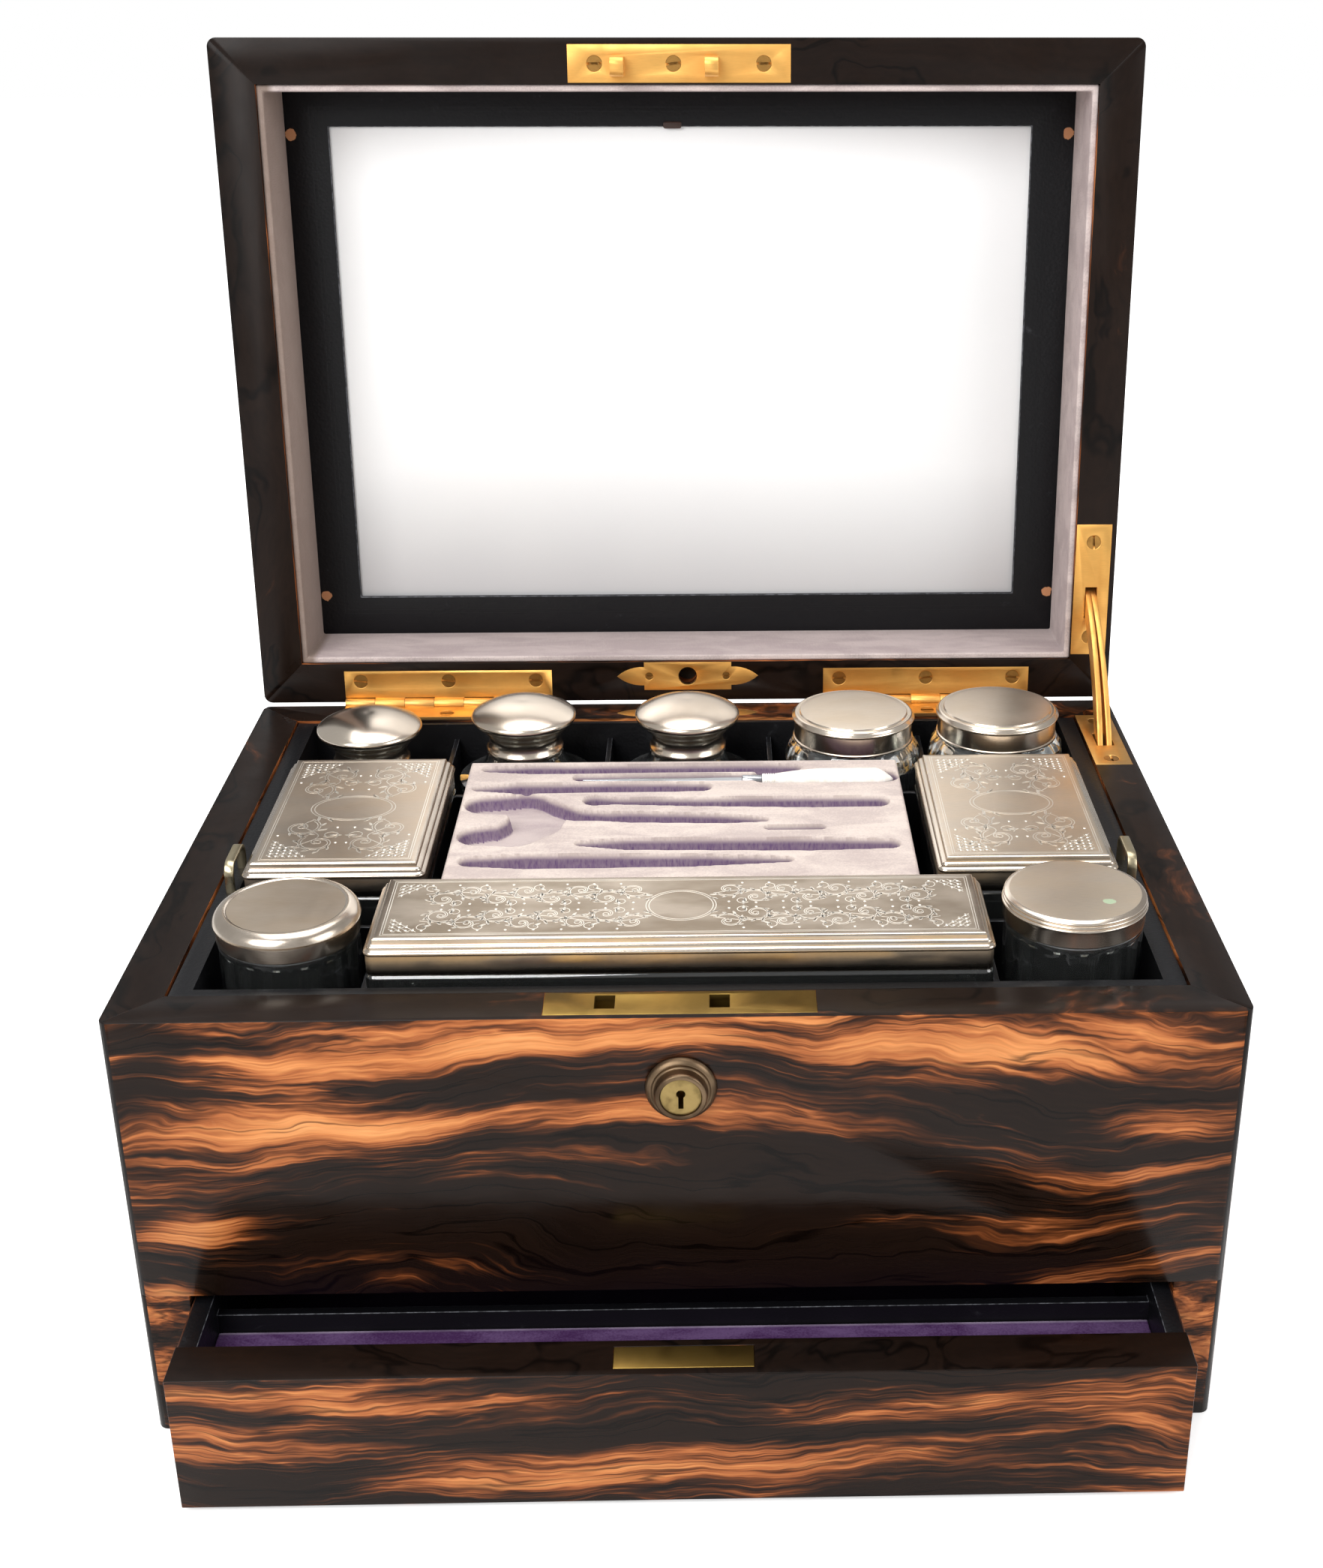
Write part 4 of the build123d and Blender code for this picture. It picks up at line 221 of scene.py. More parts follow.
def coromandel(name, along="x", across="z", lid=False, patches=(), lift=0.0, edge_band=False):
    """Coromandel veneer: orange sapwood in near-black heartwood, French polished.

    Growth lines bend round the figure, thin orange where the wood is dark and thin black where it
    is pale; the polish gives deep blacks and a soft shine that fine wear dulls in clouds.
    """
    material, tree, shader = surface(name, "#7A4526", {"Roughness": 0.2, "Specular IOR Level": 0.16})
    place = object_mm(tree, lid)
    parts = add(tree, "ShaderNodeSeparateXYZ", (), (place,)).outputs
    other = "xyz".replace(along, "").replace(across, "")
    lay = add(tree, "ShaderNodeCombineXYZ", (), [parts["xyz".index(way)] for way in (along, across, other)])

    # the figure wanders across the board in long waves with smaller ones on them
    sways = []
    for period, detail, sway in (((170.0, 90.0, 90.0), 2.0, 11.0), ((34.0, 26.0, 40.0), 3.0, 2.4)):
        wave = noise(tree, lay, period, detail)
        sways.append(add(tree, "ShaderNodeMapRange", (), (wave, 0.3, 0.7, -sway, sway)))
    drift = add(tree, "ShaderNodeMath", PLUS, sways)
    shift = add(tree, "ShaderNodeCombineXYZ", (), {1: drift})
    flow = add(tree, "ShaderNodeVectorMath", PLUS, (lay, shift))

    # broad fields of dark and pale wood, and where the sapwood shows
    level = noise(tree, flow, (150.0, 13.0, 60.0), 5.0, 0.55, 0.1)
    for x, z, reach_x, reach_z, strength in patches:
        spot = blob(tree, place, (x, 0, z), (reach_x, FAR, reach_z))
        level = add(tree, "ShaderNodeMath", TIMES_PLUS, (spot, strength, level))
    level = add(tree, "ShaderNodeMath", PLUS, (level, lift))

    # feathered streaks, and orange lines that follow the figure through the dark wood
    feather = noise(tree, flow, (30.0, 1.1, 6.0), 4.0, 0.6)
    streak = away_from_half(tree, noise(tree, flow, (120.0, 8.0, 30.0), 3.0))
    for value, *ends in ((feather, 0.3, 0.7, -0.055, 0.055), (streak, 0.0, 0.02, 0.05, 0.0)):
        extra = add(tree, "ShaderNodeMapRange", (), (value, *ends))
        level = add(tree, "ShaderNodeMath", PLUS, (level, extra))

    # the rims, where the boards meet the lid, are cut from the black heartwood
    up = facing(tree, lid)[2]
    if lid:
        up = add(tree, "ShaderNodeMath", TIMES, (up, -1.0))
    rim = add(tree, "ShaderNodeMapRange", SMOOTH, (up, 0.6, 0.95))
    darker = -0.23 if lid else -0.18
    if edge_band and along == "x":
        darker = add(tree, "ShaderNodeMapRange", (), (parts[0], 45.0, 95.0, -0.17, -0.05))
    level = add(tree, "ShaderNodeMath", TIMES_PLUS, (rim, darker, level))
    if edge_band:
        out = add(tree, "ShaderNodeMath", SIZE_OF, (parts[0],))
        sides = add(tree, "ShaderNodeMapRange", SMOOTH, (out, HALF_WIDTH - BAND, HALF_WIDTH - BAND_INNER))
        near = add(tree, "ShaderNodeMapRange", SMOOTH, (parts[1], BAND - HALF_DEPTH, BAND_INNER - HALF_DEPTH))
        band = add(tree, "ShaderNodeMath", TIMES, (sides, near))
        level = add(tree, "ShaderNodeMath", TIMES_PLUS, (band, -0.5, level))

    colour = add(tree, "ShaderNodeValToRGB", (), {"Fac": level}, (
        (0.0, "#140D0A"), (0.46, "#1E130D"), (0.515, "#3C2214"), (0.56, "#6D3B1E"),
        (0.61, "#AA6236"), (0.69, "#D0854D"), (0.84, "#EBA164"),
    ))
    vein = away_from_half(tree, noise(tree, flow, (150.0, 7.0, 45.0), 3.0))
    vein = add(tree, "ShaderNodeMapRange", (), (vein, 0.003, 0.022, 0.32, 1.0))
    fibre = noise(tree, flow, (14.0, 0.55, 2.0))
    hair = add(tree, "ShaderNodeMapRange", (), (fibre, 0.3, 0.7, 0.84, 1.1))
    shade = add(tree, "ShaderNodeMath", TIMES, (vein, hair))
    tone = add(tree, "ShaderNodeMix", MULTIPLIED, {0: 1.0, COLOUR_A: colour, COLOUR_B: shade})

    # wear dulls the polish in clouds, and the handled rims are duller all over
    worn = noise(tree, place, (30.0, 30.0, 30.0), 4.0, 0.6)
    worn = add(tree, "ShaderNodeMapRange", (), (worn, 0.3, 0.75, 0.12, 0.3))
    dull = add(tree, "ShaderNodeMath", TIMES_PLUS, (rim, 0.15, worn))
    relief = add(tree, "ShaderNodeBump", (), {"Strength": 0.05, "Distance": 0.0002, "Height": fibre})
    wire(tree, shader, {"Base Color": tone, "Roughness": dull, "Normal": relief})
    return material


def metal(name, colour, tarnish, rough, cloud=14.0, wear=0.35, lid=False, flat=None, skirt=None, spot=None):
    """A solid metal whose tarnish gathers in soft clouds over fine polishing lines.

    Level faces may be satin and of a tone of their own, as an engraved ground is; upright ones may
    keep patches of browner tarnish and painted warm reflection; one spot may be eaten by verdigris.
    """
    material, tree, shader = surface(name, colour, {"Metallic": 1.0, "Roughness": rough})
    place = object_mm(tree, lid)
    clouds = noise(tree, place, (cloud, cloud, cloud), 3.0, 0.5, 0.3)
    amount = add(tree, "ShaderNodeMapRange", SMOOTH, (clouds, 0.42, 0.72, 0.0, wear))
    tone = add(tree, "ShaderNodeMix", COLOURED, {
        0: amount, COLOUR_A: srgb(colour), COLOUR_B: srgb(tarnish),
    })
    gloss = add(tree, "ShaderNodeMapRange", (), (clouds, 0.3, 0.7, rough * 0.85, rough * 1.25))
    lean = levelness(tree, lid) if flat or skirt else None
    if flat:
        level = add(tree, "ShaderNodeMapRange", (), (lean, 0.985, 0.998))
        ground = noise(tree, place, (26.0, 12.0, 20.0), 3.0)
        ground = add(tree, "ShaderNodeMapRange", (), (ground, 0.35, 0.65, 0.0, 0.6))
        satin = add(tree, "ShaderNodeMix", COLOURED, {
            0: ground, COLOUR_A: srgb(flat), COLOUR_B: srgb(colour),
        })
        tone = add(tree, "ShaderNodeMix", COLOURED, {0: level, COLOUR_A: tone, COLOUR_B: satin})
        gloss = add(tree, "ShaderNodeMath", TIMES_PLUS, (level, 0.14, gloss))
    # upright faces: patches of tarnish that also carry a painted warm reflection
    if skirt:
        tarnish_and_reflection = noise(tree, place, (26.0, 26.0, 6.0), 2.0, 0.4)
        tarnish_and_reflection = add(tree, "ShaderNodeMapRange", (), (tarnish_and_reflection, 0.42, 0.56, 0.4, 0.95))
        upright = add(tree, "ShaderNodeMapRange", (), (lean, 0.3, 0.05))
        upright = add(tree, "ShaderNodeMath", TIMES, (upright, tarnish_and_reflection))
        tone = add(tree, "ShaderNodeMix", COLOURED, {0: upright, COLOUR_A: tone, COLOUR_B: srgb(skirt)})
        gloss = add(tree, "ShaderNodeMath", TIMES_PLUS, (upright, 0.45, gloss))
    if spot:
        x, y, reach = spot
        ragged = noise(tree, place, (1.2, 1.2, 1.2), 3.0, 0.6)
        bite = blob(tree, place, (x, y, 0), (reach, reach * 0.8, FAR))
        bite = add(tree, "ShaderNodeMath", TIMES_PLUS, (ragged, 0.5, bite))
        bite = add(tree, "ShaderNodeMapRange", (), (bite, 0.55, 0.65))
        tone = add(tree, "ShaderNodeMix", COLOURED, {0: bite, COLOUR_A: tone, COLOUR_B: srgb("#C9D6BE")})
        gloss = add(tree, "ShaderNodeMath", GREATER, (gloss, bite))
    line = noise(tree, place, (3.0, 0.15, 3.0))
    shade = add(tree, "ShaderNodeMapRange", (), (line, 0.3, 0.7, 0.95, 1.04))
    final = add(tree, "ShaderNodeMix", MULTIPLIED, {0: 1.0, COLOUR_A: tone, COLOUR_B: shade})
    relief = add(tree, "ShaderNodeBump", (), {"Strength": 0.04, "Distance": 0.0001, "Height": line})
    wire(tree, shader, {"Base Color": final, "Roughness": gloss, "Normal": relief})
    return material


def goatskin(name, lid=False, bare_beyond=None, worn_spots=()):
    """Black grained goatskin over board; the pressed grain glints and the rubbed arrises go grey.

    Beyond some distance from the middle it may leave the wood bare, and screws may have worn round
    places in it.
    """
    material, tree, shader = surface(name, "#0C0C0F", {"Roughness": 0.42, "Specular IOR Level": 0.28})
    place = object_mm(tree, lid)
    grain = add(tree, "ShaderNodeVectorMath", {"operation": "SCALE"}, {0: place, "Scale": 0.9})
    pebbles = add(tree, "ShaderNodeTexVoronoi", {"feature": "SMOOTH_F1"}, {
        "Vector": grain, "Scale": 1.0, "Smoothness": 0.4,
    })
    scuff = noise(tree, place, (9.0, 9.0, 9.0), 6.0, 0.7, 0.5)
    scuff = add(tree, "ShaderNodeMapRange", SMOOTH, (scuff, 0.62, 0.8, 0.0, 0.25))
    lean = levelness(tree, lid)
    above = add(tree, "ShaderNodeMapRange", (), (lean, 0.2, 0.45))
    below = add(tree, "ShaderNodeMapRange", (), (lean, 0.97, 0.85))
    arris = add(tree, "ShaderNodeMath", TIMES, (above, below))
    fleck = noise(tree, place, (2.5, 2.5, 2.5), 4.0, 0.7)
    fleck = add(tree, "ShaderNodeMapRange", (), (fleck, 0.42, 0.6, 0.15, 0.9))
    arris = add(tree, "ShaderNodeMath", TIMES, (arris, fleck))
    rubbed = add(tree, "ShaderNodeMath", GREATER, (scuff, arris))
    tone = add(tree, "ShaderNodeMix", COLOURED, {
        0: rubbed, COLOUR_A: srgb("#0C0C0F"), COLOUR_B: srgb("#6A6C72"),
    })
    if bare_beyond is not None:
        out = add(tree, "ShaderNodeSeparateXYZ", (), (place,)).outputs[0]
        out = add(tree, "ShaderNodeMath", SIZE_OF, (out,))
        bare = add(tree, "ShaderNodeMapRange", (), (out, bare_beyond, bare_beyond + 0.2))
        tone = add(tree, "ShaderNodeMix", COLOURED, {0: bare, COLOUR_A: tone, COLOUR_B: srgb("#4A2A1B")})
    if worn_spots:
        worn = None
        for x, y in worn_spots:
            spot = blob(tree, place, (x, y, 0), (MOUNT_SPOT_RADIUS, MOUNT_SPOT_RADIUS, FAR))
            worn = add(tree, "ShaderNodeMath", GREATER, (worn, spot)) if worn else spot
        wobble = noise(tree, place, (3.0, 3.0, 3.0), 3.0, 0.6)
        ragged = add(tree, "ShaderNodeMath", TIMES_PLUS, (wobble, 0.9, worn))
        amount = add(tree, "ShaderNodeMapRange", SMOOTH, (ragged, 0.78, 0.86))
        tone = add(tree, "ShaderNodeMix", COLOURED, {0: amount, COLOUR_A: tone, COLOUR_B: srgb("#C48A62")})
    relief = add(tree, "ShaderNodeBump", (), {"Strength": 0.3, "Distance": 0.0002, "Height": pebbles})
    wire(tree, shader, {"Base Color": tone, "Normal": relief})
    return material


def velvet(name, face, deep, low, high, pale, lid=False, floor=0.2, shaded_strip=None, rubbed_and_shadowed_y=None):
    """Silk velvet: pale where the pile lies over; upright faces and low pile take painted shade.

    One strip is painted browner as shade; along a rubbed line the pile has lost its colour, and
    behind it the pile is painted dark as shadow.
    """
    material, tree, shader = surface(name, face, {
        "Roughness": 0.9, "Specular IOR Level": 0.1, "Sheen Weight": 0.35, "Sheen Roughness": 0.4,
        "Sheen Tint": srgb(pale),
    })
    place = object_mm(tree, lid)
    parts = add(tree, "ShaderNodeSeparateXYZ", (), (place,)).outputs
    # painted shade: the deep colour goes on upright faces, more of it lower down
    wall = add(tree, "ShaderNodeMapRange", SMOOTH, (levelness(tree, lid), 0.9, 0.45, floor))
    down = add(tree, "ShaderNodeMapRange", SMOOTH, (parts[2], high, low))
    tufts = noise(tree, place, (0.7, 0.7, 4.0), 3.0, 0.6)
    tufted = add(tree, "ShaderNodeMapRange", (), (tufts, 0.3, 0.7, 0.72, 1.0))
    depth = add(tree, "ShaderNodeMath", TIMES, (wall, down))
    depth = add(tree, "ShaderNodeMath", TIMES, (depth, tufted))
    nap = noise(tree, place, (26.0, 10.0, 10.0), 5.0, 0.6, 0.5)
    lying = add(tree, "ShaderNodeMapRange", (), (nap, 0.38, 0.64))
    thread = add(tree, "ShaderNodeMapRange", (), (tufts, 0.3, 0.7, -0.35, 0.35))
    lay = add(tree, "ShaderNodeMath", PLUS, (lying, thread))
    tone = add(tree, "ShaderNodeMix", COLOURED, {0: lay, COLOUR_A: srgb(face), COLOUR_B: srgb(pale)})
    layers = [(depth, deep)]
    # painted shade: a browner strip between the two given x places
    if shaded_strip:
        lit_x, shaded_x, strip_shade = shaded_strip
        layers.append((add(tree, "ShaderNodeMapRange", (), (parts[0], lit_x, shaded_x, 0.0, 0.8)), strip_shade))
    if rubbed_and_shadowed_y is not None:
        # painted shadow: behind the rubbed line the pile turns near black
        painted_shadow = add(tree, "ShaderNodeMapRange", (), (parts[1], rubbed_and_shadowed_y, rubbed_and_shadowed_y + 0.5, 0.0, 0.92))
        near = add(tree, "ShaderNodeMapRange", (), (parts[1], rubbed_and_shadowed_y - 1.8, rubbed_and_shadowed_y))
        far = add(tree, "ShaderNodeMapRange", (), (parts[1], rubbed_and_shadowed_y + 0.3, rubbed_and_shadowed_y + 0.1))
        patchy = add(tree, "ShaderNodeMapRange", (), (nap, 0.35, 0.6, 0.35, 1.0))
        bare = add(tree, "ShaderNodeMath", TIMES, (near, far))
        bare = add(tree, "ShaderNodeMath", TIMES, (bare, patchy))
        layers += [(painted_shadow, "#0B0910"), (bare, "#CDBFD4")]
    for amount, code in layers:
        tone = add(tree, "ShaderNodeMix", COLOURED, {0: amount, COLOUR_A: tone, COLOUR_B: srgb(code)})
    pile = add(tree, "ShaderNodeMath", PLUS, (tufts, nap))
    relief = add(tree, "ShaderNodeBump", (), {"Strength": 0.4, "Distance": 0.0004, "Height": pile})
    wire(tree, shader, {"Base Color": tone, "Normal": relief})
    return material


def plain(name, colour, inputs, second=None, period=(8.0, 8.0, 8.0)):
    """A quiet finish whose colour drifts a little towards a second colour."""
    material, tree, shader = surface(name, colour, inputs)
    drift = noise(tree, object_mm(tree), period, 4.0, 0.6)
    amount = add(tree, "ShaderNodeMapRange", SMOOTH, (drift, 0.35, 0.7))
    tone = add(tree, "ShaderNodeMix", COLOURED, {
        0: amount, COLOUR_A: srgb(colour), COLOUR_B: srgb(second or colour),
    })
    relief = add(tree, "ShaderNodeBump", (), {"Strength": 0.05, "Distance": 0.0001, "Height": drift})
    wire(tree, shader, {"Base Color": tone, "Normal": relief})
    return material


def silvered_glass():
    """Old mirror glass: milky silvering that scatters most of the light, with a painted reflection."""
    material, tree, shader = surface("silvered_glass", "#F4F4F4", {"Metallic": 0.15, "Roughness": 0.4})
    depth = add(tree, "ShaderNodeSeparateXYZ", (), (object_mm(tree, True),)).outputs[1]
    # painted reflection: the colour greys from white towards the hinge edge of the glass
    down = add(tree, "ShaderNodeMapRange", (), (depth, 90.0, -90.0))
    tone = add(tree, "ShaderNodeValToRGB", (), (down,), (
        (0.0, "#D2D2D3"), (0.3, "#FDFDFD"), (1.0, "#FFFFFF"),
    ))
    wire(tree, shader, {"Base Color": tone})
    return material


def flint_glass():
    """Clear lead glass, ground and polished: bright edges, and a film of dust that dulls it in clouds."""
    material, tree, shader = surface("flint_glass", "#E3E8E6", {
        "Transmission Weight": 0.985, "IOR": 1.6, "Coat Weight": 1.0, "Coat Roughness": 0.03,
        "Coat IOR": 1.7,
    })
    smear = noise(tree, object_mm(tree), (12.0, 12.0, 20.0), 3.0, 0.6)
    film = add(tree, "ShaderNodeMapRange", (), (smear, 0.35, 0.75, 0.0, 0.05))
    wire(tree, shader, {"Roughness": film})
    return material


# ---- meshes ----
def keep(name, mesh, key, body, replaced=()):
    """Turns a mesh into a piece with the finish of that key, which rides on its body."""
    mesh.materials.clear()
    mesh.materials.append(finish(key))
    piece = bpy.data.objects.new(name, mesh)
    bpy.context.scene.collection.objects.link(piece)
    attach(piece, body)
    if replaced:
        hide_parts(*replaced)
    return piece


def smoothed(mesh, angle=35.0):
    """Shades a mesh smooth, except over edges sharper than the angle."""
    mesh.shade_smooth()
    mesh.set_sharp_from_angle(angle=math.radians(angle))
    return mesh


def from_loops(name, loops, closed_ring=True, capped=()):
    """A skin over successive loops of points in mm; one-point loops are poles."""
    work = bmesh.new()
    rows = [[work.verts.new(Vector(point) * MM) for point in loop] for loop in loops]
    for a, b in zip(rows, rows[1:]):
        count = max(len(a), len(b))
        for i in range(count if closed_ring else count - 1):
            j = (i + 1) % count
            if len(a) == 1:
                work.faces.new((a[0], b[j], b[i]))
            elif len(b) == 1:
                work.faces.new((a[i], a[j], b[0]))
            else:
                work.faces.new((a[i], a[j], b[j], b[i]))
    for index in capped:
        work.faces.new(rows[index])
    bmesh.ops.recalc_face_normals(work, faces=work.faces)
    mesh = bpy.data.meshes.new(name)
    work.to_mesh(mesh)
    work.free()
    return mesh


def curved(start, pull, end, steps):
    """Points from start to end along a curve that leans towards the pull."""
    return [tuple(start * (1 - t) ** 2 + pull * 2 * t * (1 - t) + end * t * t)
            for t in (k / steps for k in range(steps + 1))]


def eased(points, radius, steps=4):
    """A line of (across, height) points with each inner corner rounded."""
    line = [points[0]]
    for before, corner, after in zip(points, points[1:], points[2:]):
        corner_at = Vector(corner)
        way_in = Vector(before) - corner_at
        way_out = Vector(after) - corner_at
        cut = min(radius, way_in.length * 0.45, way_out.length * 0.45)
        start = corner_at + way_in.normalized() * cut
        line += curved(start, corner_at, corner_at + way_out.normalized() * cut, steps)
    return line + [points[-1]]


def bow(start, end, height, steps=10):
    """Points of a shallow arc from start to end that bulges by height to the left."""
    a, b = Vector(start), Vector(end)
    side = Vector((a.y - b.y, b.x - a.x)).normalized()
    return curved(a, (a + b) / 2 + side * height * 2, b, steps)


def turned(name, profile, centre, segments, cut=None):
    """A body of revolution; cut(angle, radius, height) may change the radius, as facets do."""
    x0, y0 = centre
    loops = []
    for radius, height in profile:
        if radius < 0.001:
            loops.append([(x0, y0, height)])
            continue
        loop = []
        for i in range(segments):
            angle = 2 * math.pi * i / segments
            r = cut(angle, radius, height) if cut else radius
            loop.append((x0 + r * math.cos(angle), y0 + r * math.sin(angle), height))
        loops.append(loop)
    return from_loops(name, loops)


def rounded_loop(centre, half_x, half_y, corner, height, steps=6):
    """A rounded rectangle at a height."""
    loop = []
    corner = max(corner, 0.05)
    for quarter, (sx, sy) in enumerate(((1, 1), (-1, 1), (-1, -1), (1, -1))):
        for k in range(steps + 1):
            angle = math.radians(90 * quarter + 90 * k / steps)
            loop.append((
                centre[0] + sx * (half_x - corner) + corner * math.cos(angle),
                centre[1] + sy * (half_y - corner) + corner * math.sin(angle),
                height,
            ))
    return loop


def moulded(name, profile, centre, half_x, half_y, corner, capped=(0, -1)):
    """A moulding of (inset, height) points run round a rounded rectangle."""
    return from_loops(name, [
        rounded_loop(centre, half_x - inset, half_y - inset, corner - inset, height)
        for inset, height in profile
    ], capped=capped)


# beds cut to within a hair of these boards' edges leave rims too thin for one joined-up face
THIN_RIMMED = ("body_right", "lid_walls")


def merged_copy(name, node):
    """A welded copy of a node's mesh, its flat faces joined up where their rims allow it."""
    mesh = frame["nodes"][node].data.copy()
    mesh.name = name
    work = bmesh.new()
    work.from_mesh(mesh)
    bmesh.ops.remove_doubles(work, verts=work.verts, dist=WELD * MM)
    if node not in THIN_RIMMED:
        bmesh.ops.dissolve_limit(work, angle_limit=math.radians(0.6), verts=work.verts, edges=work.edges)
    work.to_mesh(mesh)
    work.free()
    return mesh


def applied(mesh, *modifiers):
    """The mesh after its modifiers; each is (type, settings, inputs of its node tree)."""
    helper = bpy.data.objects.new("helper", mesh)
    bpy.context.scene.collection.objects.link(helper)
    for kind, settings, *inputs in modifiers:
        modifier = helper.modifiers.new(kind, kind)
        for key, value in settings.items():
            setattr(modifier, key, value)
        for key, value in dict(*inputs).items():
            modifier[key] = value
    graph = bpy.context.evaluated_depsgraph_get()
    result = bpy.data.meshes.new_from_object(helper.evaluated_get(graph))
    bpy.data.objects.remove(helper)
    result.name = mesh.name
    return result


def bevelled(mesh, edge, steps=2):
    """The mesh with its sharp edges rounded over by edge mm."""
    mesh.shade_smooth()
    return applied(mesh, ("BEVEL", {
        "width": edge * MM, "segments": steps, "limit_method": "ANGLE",
        "angle_limit": math.radians(30), "harden_normals": True, "use_clamp_overlap": True,
    }))


def softened(name, node, key, body, edge, steps=2):
    """A piece that stands for the node, with the node's shape and rounded edges."""
    return keep(name, bevelled(merged_copy(name, node), edge, steps), key, body, (node,))


def solids(node, matrix=Matrix.Identity(4)):
    """The (lowest, highest) corners in mm of each separate solid of a node."""
    work = bmesh.new()
    work.from_mesh(frame["nodes"][node].data)
    bmesh.ops.transform(work, matrix=matrix, verts=work.verts)
    bmesh.ops.remove_doubles(work, verts=work.verts, dist=WELD * MM)
    left = set(work.verts)
    found = []
    while left:
        stack = [left.pop()]
        members = []
        while stack:
            vert = stack.pop()
            members.append(vert.co / MM)
            for edge in vert.link_edges:
                other = edge.other_vert(vert)
                if other in left:
                    left.remove(other)
                    stack.append(other)
        found.append([Vector(pick(c[i] for c in members) for i in range(3)) for pick in (min, max)])
    work.free()
    return sorted(found, key=lambda corners: (corners[0].x, corners[0].y))


# ---- repeated work, grown by Geometry Nodes ----
def growing_tree(name, measures):
    """A tree that takes geometry, measures and a material; returns it, what it is given and its output."""
    tree = bpy.data.node_groups.new(name, "GeometryNodeTree")
    sockets = [("Geometry", "Geometry"), *((label, "Float") for label in measures), ("Material", "Material")]
    for label, kind in sockets:
        tree.interface.new_socket(label, in_out="INPUT", socket_type="NodeSocket" + kind)
    tree.interface.new_socket("Geometry", in_out="OUTPUT", socket_type="NodeSocketGeometry")
    return tree, add(tree, "NodeGroupInput").outputs, add(tree, "NodeGroupOutput")


def finish_tree(tree, geometry, given, result):
    """Realises the instances and sets the material, as the last steps of a tree."""
    real = add(tree, "GeometryNodeRealizeInstances", (), (geometry,))
    done = add(tree, "GeometryNodeSetMaterial", (), {"Geometry": real, "Material": given["Material"]})
    wire(tree, result, (done,))
    return tree


def screw_tree():
    """A slotted countersunk screw at each point, turned by the point's own angle."""
    tree, given, result = growing_tree("Slotted screws", (
        "Head Radius", "Head Depth", "Shank Radius", "Length", "Slot Width", "Slot Depth",
    ))
    head = add(tree, "GeometryNodeMeshCone", (), {
        "Vertices": 40, "Radius Bottom": given["Shank Radius"], "Radius Top": given["Head Radius"],
        "Depth": given["Head Depth"],
    })
    down = add(tree, "ShaderNodeMath", TIMES, (given["Head Depth"], -1.0))
    drop = add(tree, "ShaderNodeCombineXYZ", (), {2: down})
    head = add(tree, "GeometryNodeTransform", (), {"Geometry": head, "Translation": drop})
    length = add(tree, "ShaderNodeMath", TIMES, (given["Head Radius"], 3.0))
    double = add(tree, "ShaderNodeMath", TIMES, (given["Slot Depth"], 2.0))
    size = add(tree, "ShaderNodeCombineXYZ", (), (length, given["Slot Width"], double))
    saw = add(tree, "GeometryNodeMeshCube", (), {"Size": size})
    slotted = add(tree, "GeometryNodeMeshBoolean", {"operation": "DIFFERENCE", "solver": "EXACT"}, {
        "Mesh 1": head, "Mesh 2": saw,
    })
    shank = add(tree, "GeometryNodeMeshCylinder", (), {
        "Vertices": 16, "Radius": given["Shank Radius"], "Depth": given["Length"],
    })
    half = add(tree, "ShaderNodeMath", TIMES, (given["Length"], -0.5))
    sunk = add(tree, "ShaderNodeMath", {"operation": "SUBTRACT"}, (half, given["Slot Depth"]))
    low = add(tree, "ShaderNodeCombineXYZ", (), {2: sunk})
    shank = add(tree, "GeometryNodeTransform", (), {"Geometry": shank, "Translation": low})
    whole = add(tree, "GeometryNodeJoinGeometry")
    for part in (slotted, shank):
        wire(tree, whole, (part,))
    turn = add(tree, "GeometryNodeInputNamedAttribute", {"data_type": "FLOAT"}, {"Name": "turn"})
    spin = add(tree, "ShaderNodeCombineXYZ", (), {2: turn.outputs["Attribute"]})
    placed = add(tree, "GeometryNodeInstanceOnPoints", (), {
        "Points": given["Geometry"], "Instance": whole, "Rotation": spin,
    })
    return finish_tree(tree, placed, given, result)


def line_tree():
    """A flat ribbon of bright-cut metal, or a pressed line, along every edge of the drawing."""
    tree, given, result = growing_tree("Cut lines", ("Width", "Height"))
    path = add(tree, "GeometryNodeMeshToCurve", (), {"Mesh": given["Geometry"]})
    path = add(tree, "GeometryNodeSetCurveNormal", {"mode": "Z_UP"}, {"Curve": path})
    section = add(tree, "GeometryNodeCurvePrimitiveQuadrilateral", {"mode": "RECTANGLE"}, {
        "Width": given["Width"], "Height": given["Height"],
    })
    ribbon = add(tree, "GeometryNodeCurveToMesh", (), {
        "Curve": path, "Profile Curve": section, "Fill Caps": True,
    })
    return finish_tree(tree, ribbon, given, result)


def stud_tree():
    """A small low dome at each point, as a graver's punch leaves."""
    tree, given, result = growing_tree("Punched dots", ("Radius",))
    dome = add(tree, "GeometryNodeMeshIcoSphere", (), {"Radius": given["Radius"], "Subdivisions": 2})
    flat = add(tree, "GeometryNodeTransform", (), {"Geometry": dome, "Scale": (1.0, 1.0, 0.3)})
    placed = add(tree, "GeometryNodeInstanceOnPoints", (), {"Points": given["Geometry"], "Instance": flat})
    return finish_tree(tree, placed, given, result)


def drawing(lines=(), points=(), turns=()):
    """A mesh of loose edges along lines, or of loose points with their turns, in mm."""
    mesh = bpy.data.meshes.new("drawing")
    verts = [Vector(p) * MM for p in points]
    edges = []
    for line in lines:
        first = len(verts)
        verts.extend(Vector(p) * MM for p in line)
        edges.extend((first + i, first + i + 1) for i in range(len(line) - 1))
    mesh.from_pydata(verts, edges, [])
    if turns:
        mesh.attributes.new("turn", "FLOAT", "POINT").data.foreach_set("value", turns)
    return mesh


